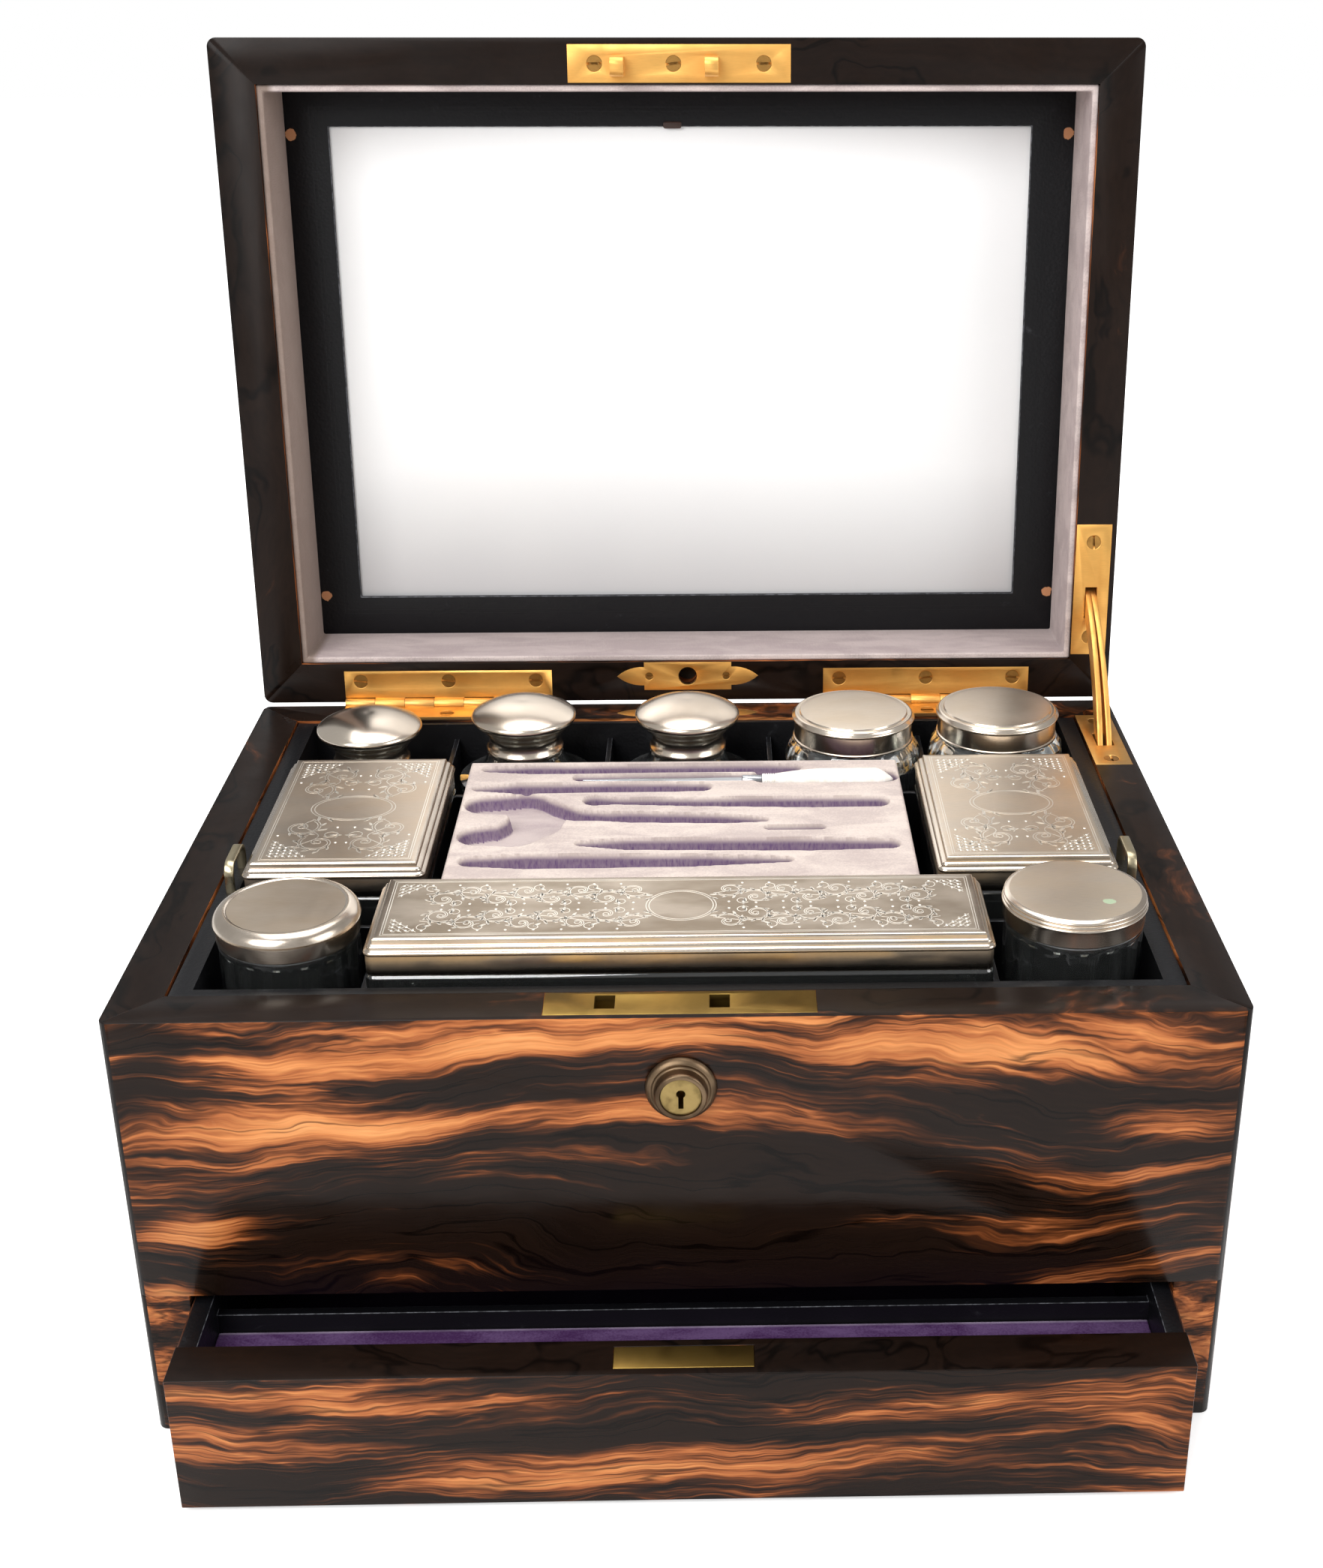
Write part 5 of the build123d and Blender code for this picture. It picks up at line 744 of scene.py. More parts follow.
def grown(name, mesh, tree, measures, key, body, matrix, replaced=()):
    """Runs a tree on a drawing, with its measures in mm, and keeps the result as a plain piece."""
    values = {label: measure * MM for label, measure in measures.items()}
    values["Material"] = finish(key)
    inputs = {
        item.identifier: values[item.name] for item in tree.interface.items_tree
        if item.in_out == "INPUT" and item.name in values
    }
    result = applied(mesh, ("NODES", {"node_group": tree}, inputs))
    result.name = name
    result.transform(matrix)
    return keep(name, smoothed(result), key, body, replaced)


def mitred(name, node, body, edge):
    """Cuts the lid's frame at its mitres into four pieces, so that the grain turns with them."""
    sides = {"front": (0, -1), "back": (0, 1), "left": (-1, 0), "right": (1, 0)}
    for side, (out_x, out_y) in sides.items():
        mesh = merged_copy(name + "_" + side, node)
        mesh.transform(TO_CLOSED)
        work = bmesh.new()
        work.from_mesh(mesh)
        for corner in (-1, 1):
            x, y = out_x or corner, out_y or corner
            cut = bmesh.ops.bisect_plane(
                work, geom=work.verts[:] + work.edges[:] + work.faces[:], dist=1e-7,
                plane_co=Vector((x * HALF_WIDTH, y * HALF_DEPTH, 0)) * MM,
                plane_no=(x, -y, 0) if out_y else (-x, y, 0), clear_outer=True,
            )
            rim = [item for item in cut["geom_cut"] if isinstance(item, bmesh.types.BMEdge)]
            bmesh.ops.holes_fill(work, edges=rim)
        work.to_mesh(mesh)
        work.free()
        mesh.transform(TO_OPEN)
        mesh = bevelled(mesh, edge)
        key = "veneer_lid_long" if out_y else "veneer_lid_short"
        keep(mesh.name, mesh, key, body)
    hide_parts(node)


def pillowed(name, node, key, body, voxel, rise):
    """A stuffed piece: its shape built from small cubes and smoothed, its pile raised by rise mm."""
    mesh = applied(
        frame["nodes"][node].data.copy(),
        ("REMESH", {"mode": "VOXEL", "voxel_size": voxel * MM, "use_smooth_shade": True}),
        ("SMOOTH", {"factor": 0.5, "iterations": 3}),
    )
    mesh.name = name
    nap = max(vert.co.z for vert in mesh.vertices) - 2.0 * MM
    for vert in mesh.vertices:
        if vert.co.z > nap:
            vert.co.z += rise * MM
    keep(name, mesh, key, body, (node,))


def dressed(node, key):
    """Gives a frame node its finish as it is."""
    piece = frame["nodes"][node]
    piece.data.materials.clear()
    piece.data.materials.append(finish(key))


# ---- engraving on the silver ----
def arc_between(start, end, bulge, steps=8):
    """Points of an arc whose bulge is a share of its length."""
    a, b = Vector(start), Vector(end)
    return curved(a, (a + b) / 2 + Vector((a.y - b.y, b.x - a.x)) * bulge, b, steps)


def spiral(u, v, radius, start, sense, turns=1.4, steps=30):
    """A line that winds in to its centre."""
    line = []
    for k in range(steps + 1):
        t = k / steps
        angle = start + sense * 2 * math.pi * turns * t
        reach = radius * (1 - t) ** 0.8 + 0.25
        line.append((u + reach * math.cos(angle), v + reach * math.sin(angle)))
    return line


def leaf(u, v, angle, length, lean):
    """A pointed leaflet of two curved cuts and a vein."""
    tip = (u + length * math.cos(angle), v + length * math.sin(angle))
    middle = (u + 0.7 * length * math.cos(angle + 0.12), v + 0.7 * length * math.sin(angle + 0.12))
    return [
        arc_between((u, v), tip, 0.34 * lean),
        arc_between((u, v), tip, -0.1 * lean),
        [(u, v), middle],
    ]


def scroll(u, v, radius, start, sense):
    """A scroll of two winding lines with leaflets along its outside and a bud at its heart."""
    lines = [
        spiral(u, v, radius, start, sense),
        spiral(u, v, radius * 0.84, start + 0.2 * sense, sense, 1.2),
        spiral(u, v, radius * 0.2, start, -sense, 0.8, 12),
    ]
    for k in range(6):
        angle = start + sense * (0.35 + 0.62 * k)
        reach = radius * (1 - (0.35 + 0.62 * k) / (2.8 * math.pi)) ** 0.8
        root = (u + reach * math.cos(angle), v + reach * math.sin(angle))
        lines += leaf(*root, angle - 0.75 * sense, radius * (0.42 if k % 2 else 0.56), sense)
    return lines


def lattice(u, v, size, pitch=2.1):
    """Crossed lines that fill the corner at (u, v), and the dots between them."""
    lines = []
    dots = []
    count = int(size / pitch)
    for i in range(1, count + 1):
        reach = i * pitch
        lines.append([(u, v - reach), (u - reach, v)])
        start = (u - size + reach, v - reach)
        run = min(size - reach, reach)
        if run > 0.3:
            lines.append([start, (start[0] + run, start[1] + run)])
        dots += [(u - reach + (j + 0.5) * pitch, v - (j + 0.5) * pitch) for j in range(i)]
    return lines, dots


def ornament(half_u, half_v, seed):
    """The engraving of a cover's panel: border lines, a bare cartouche, scrolls and lattice corners."""
    chance = random.Random(seed)
    lines = []
    for inset in (1.5, 2.2):
        u, v = half_u - inset, half_v - inset
        lines.append([(-u, -v), (u, -v), (u, v), (-u, v), (-u, -v)])
    field_u, field_v = half_u - 3.4, half_v - 3.4
    shield_u = min(0.24 * field_u, 0.62 * field_v)
    shield_v = 0.58 * field_v
    for swell in (1.0, 1.09):
        lines.append([
            (swell * shield_u * math.cos(a), swell * shield_v * math.sin(a))
            for a in (2 * math.pi * k / 48 for k in range(49))
        ])
    corner = 0.62 * field_v
    radius = 0.3 * field_v
    quarter = []
    dots = []
    reach = shield_u * 1.1 + radius * 0.8
    step = radius * 1.75
    index = 0
    while reach < field_u - radius * 0.8:
        high = index % 2 == 0
        v = field_v * (0.66 if high else 0.34)
        clear = (field_u - reach) + (field_v - v) - radius > corner
        if clear:
            start = math.pi * (1.15 if high else 0.85) + chance.uniform(-0.2, 0.2)
            quarter += scroll(reach, v, radius, start, 1 if high else -1)
            nearby = (reach + step * 0.5, field_v * (0.2 if high else 0.82))
            quarter += [spiral(*nearby, radius * 0.42, start + 2.0, -1 if high else 1, 1.1, 18)]
            quarter += leaf(*nearby, start + 1.2, radius * 0.6, 1)
            quarter += leaf(reach - radius * 0.7, v * 0.35, start - 1.0, radius * 0.55, -1)
            dots += [(reach, v * 0.15 + 0.6), (reach + radius * 0.9, field_v - 0.9)]
        reach += step
        index += 1
    stem = [
        (shield_u + (field_u * 0.9 - shield_u) * t, field_v * (0.5 + 0.14 * math.sin(9 * t)))
        for t in (k / 40 for k in range(41))
    ]
    quarter.append(stem)
    mesh_lines, mesh_dots = lattice(field_u, field_v, corner)
    quarter += mesh_lines
    dots += mesh_dots
    for mirror_u in (-1, 1):
        for mirror_v in (-1, 1):
            lines += [[(mirror_u * u, mirror_v * v) for u, v in line] for line in quarter]
    points = [(mu * u, mv * v) for mu in (-1, 1) for mv in (-1, 1) for u, v in dots]
    return lines, points


# ---- the settings an artist can change ----
class DressingLook(bpy.types.PropertyGroup):
    edge_ease: FloatProperty(
        name="Edge Ease", description="How far the wood's and metal's edges are rounded over",
        default=0.0003, min=0.00005, max=0.001, unit="LENGTH", subtype="DISTANCE",
    )
    pile_grain: FloatProperty(
        name="Pile Grain", description="Size of the steps that the stuffed pieces are built from",
        default=0.0008, min=0.0004, max=0.002, unit="LENGTH", subtype="DISTANCE",
    )
    cut_width: FloatProperty(
        name="Cut Width", description="Width of a line cut by the engraver",
        default=0.00028, min=0.0001, max=0.001, unit="LENGTH", subtype="DISTANCE",
    )
    turning_steps: IntProperty(
        name="Turning Steps", description="Facets round each turned piece", default=96, min=24, max=192,
    )
    seed: IntProperty(
        name="Seed", description="Changes the engraved scrolls and the screws' slots", default=7,
    )


class StageLook(bpy.types.PropertyGroup):
    key_power: FloatProperty(
        name="Key Power", description="Power of the large soft lamp at the front left",
        default=24.0, min=0.0, unit="POWER",
    )
    fill_power: FloatProperty(
        name="Fill Power", description="Power of the soft lamp at the right",
        default=9.0, min=0.0, unit="POWER",
    )
    top_power: FloatProperty(
        name="Top Power", description="Power of the lamp overhead", default=18.0, min=0.0, unit="POWER",
    )
    room_light: FloatProperty(
        name="Room Light", description="Strength of the even light of the room", default=0.4, min=0.0,
    )
    backdrop: FloatVectorProperty(
        name="Backdrop", description="Colour behind the box", subtype="COLOR", size=3,
        default=(1.0, 1.0, 1.0), min=0.0, max=1.0,
    )


# ---- finishes, each made once ----
def middle_of(node):
    """The middle of a node, seen from above, in millimetres."""
    low, high = span(node)
    return (low.x + high.x) / 2, (low.y + high.y) / 2


def verdigris_spot():
    """Where verdigris has eaten the right-hand fluted jar's lid: x, y, reach."""
    x, y = middle_of("fluted_jar_2_lid")
    return x + 9.0, y - 8.0, 3.4


FINISHES = {
    "veneer_front": lambda: coromandel("coromandel_front", patches=FRONT_PATCHES, edge_band=True),
    "veneer_drawer": lambda: coromandel("coromandel_drawer", patches=DRAWER_PATCHES),
    "veneer_side": lambda: coromandel("coromandel_side", "y", "z", lift=0.03, edge_band=True),
    "veneer_lid_long": lambda: coromandel("coromandel_lid_long", "x", "z", lid=True),
    "veneer_lid_short": lambda: coromandel("coromandel_lid_short", "y", "z", lid=True, lift=0.03),
    "veneer_lid_top": lambda: coromandel("coromandel_lid_top", "x", "y", lid=True, lift=0.2),
    "mahogany": lambda: plain(
        "mahogany_carcase", "#3A1D12", {"Roughness": 0.5}, "#512B1B", (60.0, 6.0, 6.0),
    ),
    "brass": lambda: metal("lacquered_brass", "#E2AF66", "#BC8A48", 0.4),
    "brass_lid": lambda: metal("lacquered_brass_lid", "#F0B866", "#CC954E", 0.44, lid=True),
    "brass_screw": lambda: metal("screw_brass", "#B98A4A", "#6E4E28", 0.36, cloud=3.0),
    "brass_dull": lambda: metal("dull_brass", "#B0914E", "#7A6331", 0.36, wear=0.6),
    "brass_pale": lambda: metal("pale_brass", "#C4B89A", "#94866A", 0.3),
    "brass_aged": lambda: metal("aged_brass", "#9C8656", "#5A4A2C", 0.34, cloud=5.0, wear=0.7),
    "bronze": lambda: metal("aged_bronze", "#7A6650", "#3B2D22", 0.42, wear=0.8),
    "steel": lambda: metal("polished_steel", "#B4B6BA", "#7C7C80", 0.24),
    "silver": lambda: metal("silver", "#F4E7D6", "#B39F89", 0.22, 40.0, 0.5),
    "silver_jar": lambda: metal("silver_jar_lid", "#EFE2D1", "#B39F89", 0.22, 40.0, 0.5, flat="#E6D5BE"),
    "silver_dull": lambda: metal("silver_worn", "#E6D9C9", "#8F7D6B", 0.22, 34.0, 0.7, flat="#D6C2AA"),
    "silver_spot": lambda: metal(
        "silver_with_verdigris", "#E6D9C9", "#9C8B7C", 0.22, 40.0, 0.6, flat="#EAD8C0",
        spot=verdigris_spot(),
    ),
    # each skirt colour is tarnish with a painted warm reflection on the covers' upright sides
    "silver_left_box": lambda: metal(
        "engraved_silver_left", "#D6CABC", "#8C7B6B", 0.22, 40.0, 0.6, flat="#DAC6AF", skirt="#8E7A66",
    ),
    "silver_right_box": lambda: metal(
        "engraved_silver_right", "#E2D6C6", "#9C8B7C", 0.22, 50.0, 0.5, flat="#ECDAC3", skirt="#C8AE8A",
    ),
    "silver_long_box": lambda: metal(
        "engraved_silver_long", "#D9CCBC", "#9C8B7C", 0.22, 50.0, 0.5, flat="#9F907D", skirt="#DDBD90",
    ),
    "silver_cut": lambda: metal("bright_cut_silver", "#FFF9EE", "#F2E8D8", 0.4, wear=0.1),
    "leather": lambda: goatskin("goatskin_tray"),
    "leather_drawer": lambda: goatskin("goatskin_drawer", bare_beyond=span("drawer_box")[1].x - 0.6),
    "leather_mount": lambda: goatskin("goatskin_mirror_mount", lid=True, worn_spots=MOUNT_SPOTS),
    # the second colour given to each velvet is its painted shade
    "velvet_lid": lambda: velvet(
        "lilac_velvet_lid", "#B7A8A5", "#97888A", -1, 400, "#DCCDC8", True,
        # the lid's strip at its left is painted browner as shade
        shaded_strip=(-143.0, -145.5, "#7A685B"),
    ),
    "velvet_pad": lambda: velvet(
        "lilac_velvet_pad", "#BCADA8", "#665072", PAD_TOP - 2.6, PAD_TOP - 0.4, "#D6C8BF", floor=0.3,
    ),
    # the rubbed line lies at the wall across the drawer, where the front pad ends; behind it the velvet is
    # painted dark as shadow
    "velvet_drawer": lambda: velvet(
        "purple_velvet", "#432750", "#28132F", -1, 60, "#634A72", floor=0.0,
        rubbed_and_shadowed_y=solids("drawer_pads")[0][1].y,
    ),
    "mirror": silvered_glass,
    "bone": lambda: plain("bone", "#FBF8F2", {"Roughness": 0.35}, "#EFE8DC", (2.0, 8.0, 8.0)),
    "tab": lambda: plain("mirror_tab", "#3A241A", {"Roughness": 0.5}),
    "glass": flint_glass,
}
MADE = {}


def finish(key):
    """The finish of that name, made the first time that it is asked for."""
    if key not in MADE:
        MADE[key] = FINISHES[key]()
    return MADE[key]


def ease(share=1.0):
    """How far edges are rounded over, in mm."""
    return bpy.context.scene.dressing_look.edge_ease / MM * share


def turning_steps():
    """Facets round each turned piece."""
    return bpy.context.scene.dressing_look.turning_steps


def round_place(node):
    """A round node's middle, radius, foot and top, in millimetres."""
    low, high = span(node)
    return middle_of(node), (high.x - low.x) / 2, low.z, high.z


def oblong_place(node):
    """An oblong node's middle, half width, half depth, foot and top, in millimetres."""
    low, high = span(node)
    return middle_of(node), (high.x - low.x) / 2, (high.y - low.y) / 2, low.z, high.z


def keep_silver(name, mesh, key, node):
    """Keeps a spun or raised cover that stands for the node and rides on the body of its name."""
    keep(name + "_silver", smoothed(mesh, 40), key, node, (node,))


def keep_glass(name, mesh):
    """Keeps a vessel's glass, which rides on the vessel's body."""
    keep(name + "_flint", smoothed(mesh, 30), "glass", name, (name + "_glass",))


class DRESSBOX_OT_case(bpy.types.Operator):
    """Veneers the four boards and finishes the boards inside them"""
    bl_idname = "dressbox.case"
    bl_label = "Case"

    def execute(self, context):
        for side in ("front", "back", "left", "right"):
            key = "veneer_front" if side in ("front", "back") else "veneer_side"
            softened("case_" + side, "body_" + side, key, "case", ease())
        for node in ("base_board", "well_floor"):
            dressed(node, "mahogany")
        return {"FINISHED"}


# share of the wood's rounding that thin metal has
THIN = 0.6
# radii of the keyhole rose's bore, its sleeve in the wood and its nozzle, in mm
ROSE_BORE = 6.05
ROSE_SLEEVE = 7.2
ROSE_NOZZLE = 7.7


class DRESSBOX_OT_case_brass(bpy.types.Operator):
    """Finishes the lock, hinge leaves, stay plate and drawer release of the case"""
    bl_idname = "dressbox.case_brass"
    bl_label = "Case Brass"

    def execute(self, context):
        for node in ("lock_plate", "release_plate", "stay_body_plate", "hinge_body_leaves"):
            key = "brass_dull" if node == "lock_plate" else "brass"
            softened("dressed_" + node, node, key, "case", ease(THIN))
        for node in ("lock_case", "hinge_pins"):
            dressed(node, "brass_dull")
        for name, node, key, slot in (
            ("dressed_lock_bolt", "lock_bolt", "steel", "steel"),
            ("dressed_lock_plug", "lock_plug", "brass_aged", "brass"),
            ("dressed_button", "release_button", "brass", "brass"),
        ):
            softened(name, node, key, node, ease(THIN))
        self.rose()
        return {"FINISHED"}

    def rose(self):
        """The keyhole rose: a domed flange round a straight nozzle."""
        low, high = span("escutcheon")
        middle = (low.z + high.z) / 2
        reach = (high.z - low.z) / 2
        tip, back, wall = -low.y, -high.y, HALF_DEPTH
        profile = [
            (ROSE_BORE, back), (ROSE_SLEEVE, back), (ROSE_SLEEVE, wall), (reach - 0.2, wall),
            (reach, wall + 0.5), (reach - 0.5, wall + 1.5), (ROSE_NOZZLE + 1.3, wall + 2.3),
            (ROSE_NOZZLE + 0.5, wall + 2.0), (ROSE_NOZZLE, wall + 2.4), (ROSE_NOZZLE, tip - 0.9),
            (ROSE_NOZZLE - 0.3, tip - 0.2), (ROSE_NOZZLE - 0.9, tip), (ROSE_BORE + 0.15, tip),
            (ROSE_BORE, tip - 0.3), (ROSE_BORE, back),
        ]
        mesh = turned("keyhole_rose", eased(profile, 0.35, 3), (0, 0), turning_steps())
        mesh.transform(Matrix.Translation((0, 0, middle * MM)) @ Matrix.Rotation(math.radians(90), 4, "X"))
        keep("keyhole_rose", smoothed(mesh), "bronze", "case", ("escutcheon",))


FLIP = Matrix.Translation((0, 0, 2 * HINGE.z)) @ Matrix.Rotation(math.pi, 4, "X")
# how far a screw's head lies below its plate's face, in mm
SCREW_SUNK = 0.05
# screws further from the middle than this, in mm, stand on the short rims
SHORT_RIM_X = 150.0
# a screw's measures as shares of the radius of the solid that it stands for
SCREW_SHARES = {
    "Head Radius": 0.93, "Head Depth": 0.6, "Shank Radius": 0.45, "Slot Width": 0.3, "Slot Depth": 0.35,
}


def screw_places(node, matrix):
    """Where a plate's screws stand: (x, y, top, head radius, length) in the rim's frame."""
    return [
        ((low.x + high.x) / 2, (low.y + high.y) / 2, high.z, (high.x - low.x) / 2, high.z - low.z)
        for low, high in solids(node, matrix)
    ]


class DRESSBOX_OT_screws(bpy.types.Operator):
    """Grows the slotted screws of the plates on the case and on the lid"""
    bl_idname = "dressbox.screws"
    bl_label = "Screws"

    def execute(self, context):
        chance = random.Random(context.scene.dressing_look.seed)
        tree = screw_tree()
        rims = (
            ("body_screws", "case", Matrix.Identity(4), Matrix.Identity(4)),
            ("lid_screws", "lid", FLIP @ TO_CLOSED, TO_OPEN @ FLIP),
        )
        for node, body, there, back in rims:
            places = screw_places(node, there)
            stand = [node]
            for size in sorted({round(place[3], 1) for place in places}, reverse=True):
                group = [place for place in places if round(place[3], 1) == size]
                points = [(place[0], place[1], place[2] - SCREW_SUNK) for place in group]
                turns = [self.slot_angle(place[0], chance) for place in group]
                radius, length = group[0][3:]
                measures = {label: share * radius for label, share in SCREW_SHARES.items()}
                grown(
                    "%s_%s" % (node, "large" if size > 2 else "small"),
                    drawing(points=points, turns=turns), tree, {**measures, "Length": length},
                    "brass_screw", body, back, stand,
                )
                stand = ()
        return {"FINISHED"}

    def slot_angle(self, x, chance):
        """Every slot lies along its rim, more or less."""
        along = 0.0 if abs(x) < SHORT_RIM_X else math.pi / 2
        return along + chance.uniform(-0.12, 0.12)


# half width and half height of the two lines pressed round the mirror's window, their middle, and
# the tab's place from the middle and from the hidden edge of the glass, in mm
TOOLED_FRAMES = ((136.5, 95.0), (138.0, 96.5))
TOOLED_MIDDLE_Y = -1.0
WINDOW_TAB = (-3.4, 4.4)


class DRESSBOX_OT_lid(bpy.types.Operator):
    """Veneers the lid's mitred walls and top, lines it and sets the mirror in its leather mount"""
    bl_idname = "dressbox.lid"
    bl_label = "Lid"

    def execute(self, context):
        mitred("lid_wall", "lid_walls", "lid", ease())
        softened("lid_panel", "lid_top", "veneer_lid_top", "lid", ease())
        lining = softened("lid_velvet", "lid_lining", "velvet_lid", "lid", 0.8, 3)
        softened("mirror_mount", "mirror_frame", "leather_mount", "lid", 0.5, 3)
        softened("mirror", "mirror_glass", "mirror", "lid", 0.2)
        face = self.lowest("mirror_frame", 2)
        self.tooled_lines(face)
        self.tab(face)
        return {"FINISHED"}

    def lowest(self, node, axis):
        """The least place of a node along an axis of the closed lid, in mm."""
        return min((TO_CLOSED @ vert.co)[axis] / MM for vert in frame["nodes"][node].data.vertices)

    def tooled_lines(self, face):
        """A double line pressed into the mount round the mirror's window."""
        lines = [
            [(sx * reach_x, TOOLED_MIDDLE_Y + sy * reach_y, face)
             for sx, sy in ((-1, -1), (1, -1), (1, 1), (-1, 1), (-1, -1))]
            for reach_x, reach_y in TOOLED_FRAMES
        ]
        grown(
            "tooled_lines", drawing(lines), line_tree(), {"Width": 0.5, "Height": 0.08},
            "leather_mount", "lid", TO_OPEN,
        )

    def tab(self, face):
        """The small dark tab at the top of the mirror's window."""
        middle = (WINDOW_TAB[0], self.lowest("mirror_glass", 1) + WINDOW_TAB[1])
        profile = [(0, face), (0, face - 0.5), (0.3, face - 0.7)]
        tab = moulded("mirror_tab", profile, middle, 3.4, 1.2, 0.8)
        tab.transform(TO_OPEN)
        keep("mirror_tab", smoothed(tab), "tab", "lid")


class DRESSBOX_OT_lid_brass(bpy.types.Operator):
    """Finishes the plates, links and hinge leaves of the lid, and the stay"""
    bl_idname = "dressbox.lid_brass"
    bl_label = "Lid Brass"

    def execute(self, context):
        for node in ("catch_plate", "stay_lid_plate", "lid_pointed_plate", "hinge_lid_leaves"):
            softened("dressed_" + node, node, "brass_lid", "lid", ease(THIN))
        softened("dressed_stay", "stay_arm", "brass_lid", "stay", ease(THIN))
        return {"FINISHED"}


# how far the drawer's pile stands over its solid, in mm, and its step as a share of the pile grain
DRAWER_PILE = 3.0
DRAWER_STEP = 1.25


class DRESSBOX_OT_drawer(bpy.types.Operator):
    """Veneers the drawer's front, lines its box with leather and lays in its velvet"""
    bl_idname = "dressbox.drawer"
    bl_label = "Drawer"

    def execute(self, context):
        step = context.scene.dressing_look.pile_grain / MM * DRAWER_STEP
        softened("drawer_face", "drawer_front", "veneer_drawer", "drawer", ease())
        softened("drawer_case", "drawer_box", "leather_drawer", "drawer", ease())
        pillowed(
            "drawer_velvet", "drawer_pads", "velvet_drawer", "drawer", step,
            DRAWER_PILE,
        )
        softened("dressed_drawer_plate", "drawer_plate", "brass_dull", "drawer", 0.2)
        dressed("drawer_catch", "steel")
        return {"FINISHED"}


class DRESSBOX_OT_tray(bpy.types.Operator):
    """Covers the lift-out tray in leather and fits its two strap loops"""
    bl_idname = "dressbox.tray"
    bl_label = "Tray"

    def execute(self, context):
        softened("tray_case", "tray_frame", "leather", "tray", ease(2))
        softened("tray_walls", "tray_dividers", "leather", "tray", ease())
        softened("strap_loops", "tray_loops", "brass_pale", "tray", ease(0.8))
        return {"FINISHED"}


# the pad's step as a share of the pile grain, and the reach of its rounded brinks, in mm
PAD_STEP = 0.55
PAD_ROUND = 1.5
# each place in the pad as (from the left, from the rear, half width) along its length
TOOL_PLACES = (
    ((7, 6.8, 1.8), (22, 6.8, 3.7), (108, 6.8, 3.3), (115, 6.8, 2.2)),
    ((40, 14.8, 2.4), (100, 14.8, 2.8), (105, 14.8, 5.0), (146, 14.8, 5.0)),
    ((5, 23.4, 1.6), (18, 23.2, 4.0), (70, 22.8, 4.0), (82, 23.0, 3.4)),
    ((46, 34.0, 3.8), (53, 34.6, 2.4), (80, 35.8, 3.2), (120, 36.4, 4.3), (142, 36.6, 4.0)),
    ((9, 37, 6.8), (22, 37, 9.0), (28, 44, 9.2), (26, 54, 9.2), (20, 61, 8.8), (9, 62, 6.6)),
    ((30, 41, 6.4), (40, 46.0, 4.0), (50, 47.2, 3.2), (58, 47.6, 4.1), (90, 49.6, 3.4), (103, 50.6, 1.4)),
    ((105, 57.0, 1.4), (122, 57.0, 1.4)),
    ((43, 68.2, 1.6), (58, 68.8, 4.1), (118, 70.0, 4.6), (144, 70.2, 3.2)),
    ((8, 81.0, 3.2), (26, 81.2, 5.2), (80, 81.4, 4.2), (110, 81.4, 1.6)),
)


class DRESSBOX_OT_tool_tray(bpy.types.Operator):
    """Stuffs the velvet pad with its shaped places and lays in the one tool that is left"""
    bl_idname = "dressbox.tool_tray"
    bl_label = "Tool Tray"

    def execute(self, context):
        self.pad(context.scene.dressing_look.pile_grain / MM * PAD_STEP)
        dressed("tool_board", "mahogany")
        softened("tool_steel", "tool_blade", "steel", "tool", 0.25)
        self.handle()
        return {"FINISHED"}

    def pad(self, step):
        """Velvet drawn down over a shaped block: every place is a run of discs joined up."""
        low, high = span("tool_pad")
        width, depth = high.x - low.x, high.y - low.y
        across, deep = round(width / step), round(depth / step)
        floor = low.z + 0.3
        rows = []
        for j in range(deep + 1):
            v = depth * j / deep
            row = []
            for i in range(across + 1):
                u = width * i / across
                sunk = min(max(0.5 - self.outside(u, v) / PAD_ROUND, 0.0), 1.0)
                sunk = sunk * sunk * (3 - 2 * sunk)
                brink = min(u, width - u, v, depth - v, PAD_ROUND)
                drop = PAD_ROUND - math.sqrt(max(PAD_ROUND ** 2 - (PAD_ROUND - brink) ** 2, 0.0))
                height = high.z - drop
                row.append((low.x + u, high.y - v, height + (floor - height) * sunk))
            rows.append(row)
        hems = [[(*point[:2], low.z) for point in row] for row in (rows[0], rows[-1])]
        mesh = from_loops("tool_velvet", [hems[0], *rows, hems[1]], closed_ring=False)
        smoothed(mesh, 60)
        piece = keep("tool_velvet", mesh, "velvet_pad", "tool_tray", ("tool_pad",))

    def outside(self, u, v):
        """How far a point of the pad lies outside the nearest place; less than 0 inside one."""
        reaches = []
        for run in TOOL_PLACES:
            for (u0, v0, r0), (u1, v1, r1) in zip(run, run[1:]):
                du, dv = u1 - u0, v1 - v0
                t = min(max(((u - u0) * du + (v - v0) * dv) / (du * du + dv * dv), 0.0), 1.0)
                reaches.append(math.hypot(u - u0 - t * du, v - v0 - t * dv) - (r0 + (r1 - r0) * t))
        return min(reaches)

    def handle(self):
        """The turned bone handle with its fine rings beside the ferrule."""
        low, high = span("tool_handle")
        radius = (high.y - low.y) / 2
        length = high.x - low.x
        profile = [(0, 0), (0.55 * radius, 0)]
        for ring in range(5):
            at = 0.8 + ring * 0.8
            profile += [(0.6 * radius, at), (0.52 * radius, at + 0.3), (0.6 * radius, at + 0.6)]
        crown = bow((0.62 * radius, 5.4), (radius, 0.66 * length), -0.6, 14)
        tip = bow((radius, 0.66 * length), (0.12 * radius, length), -2.4, 12)
        profile += [(min(r, radius), z) for r, z in crown + tip[1:]] + [(0, length)]
        mesh = turned("bone_handle", profile, (0, 0), turning_steps())
        ferrule = Vector((low.x, (low.y + high.y) / 2, (low.z + high.z) / 2)) * MM
        mesh.transform(Matrix.Translation(ferrule) @ Matrix.Rotation(math.radians(90), 4, "Y"))
        keep("bone_handle", smoothed(mesh, 50), "bone", "tool", ("tool_handle",))


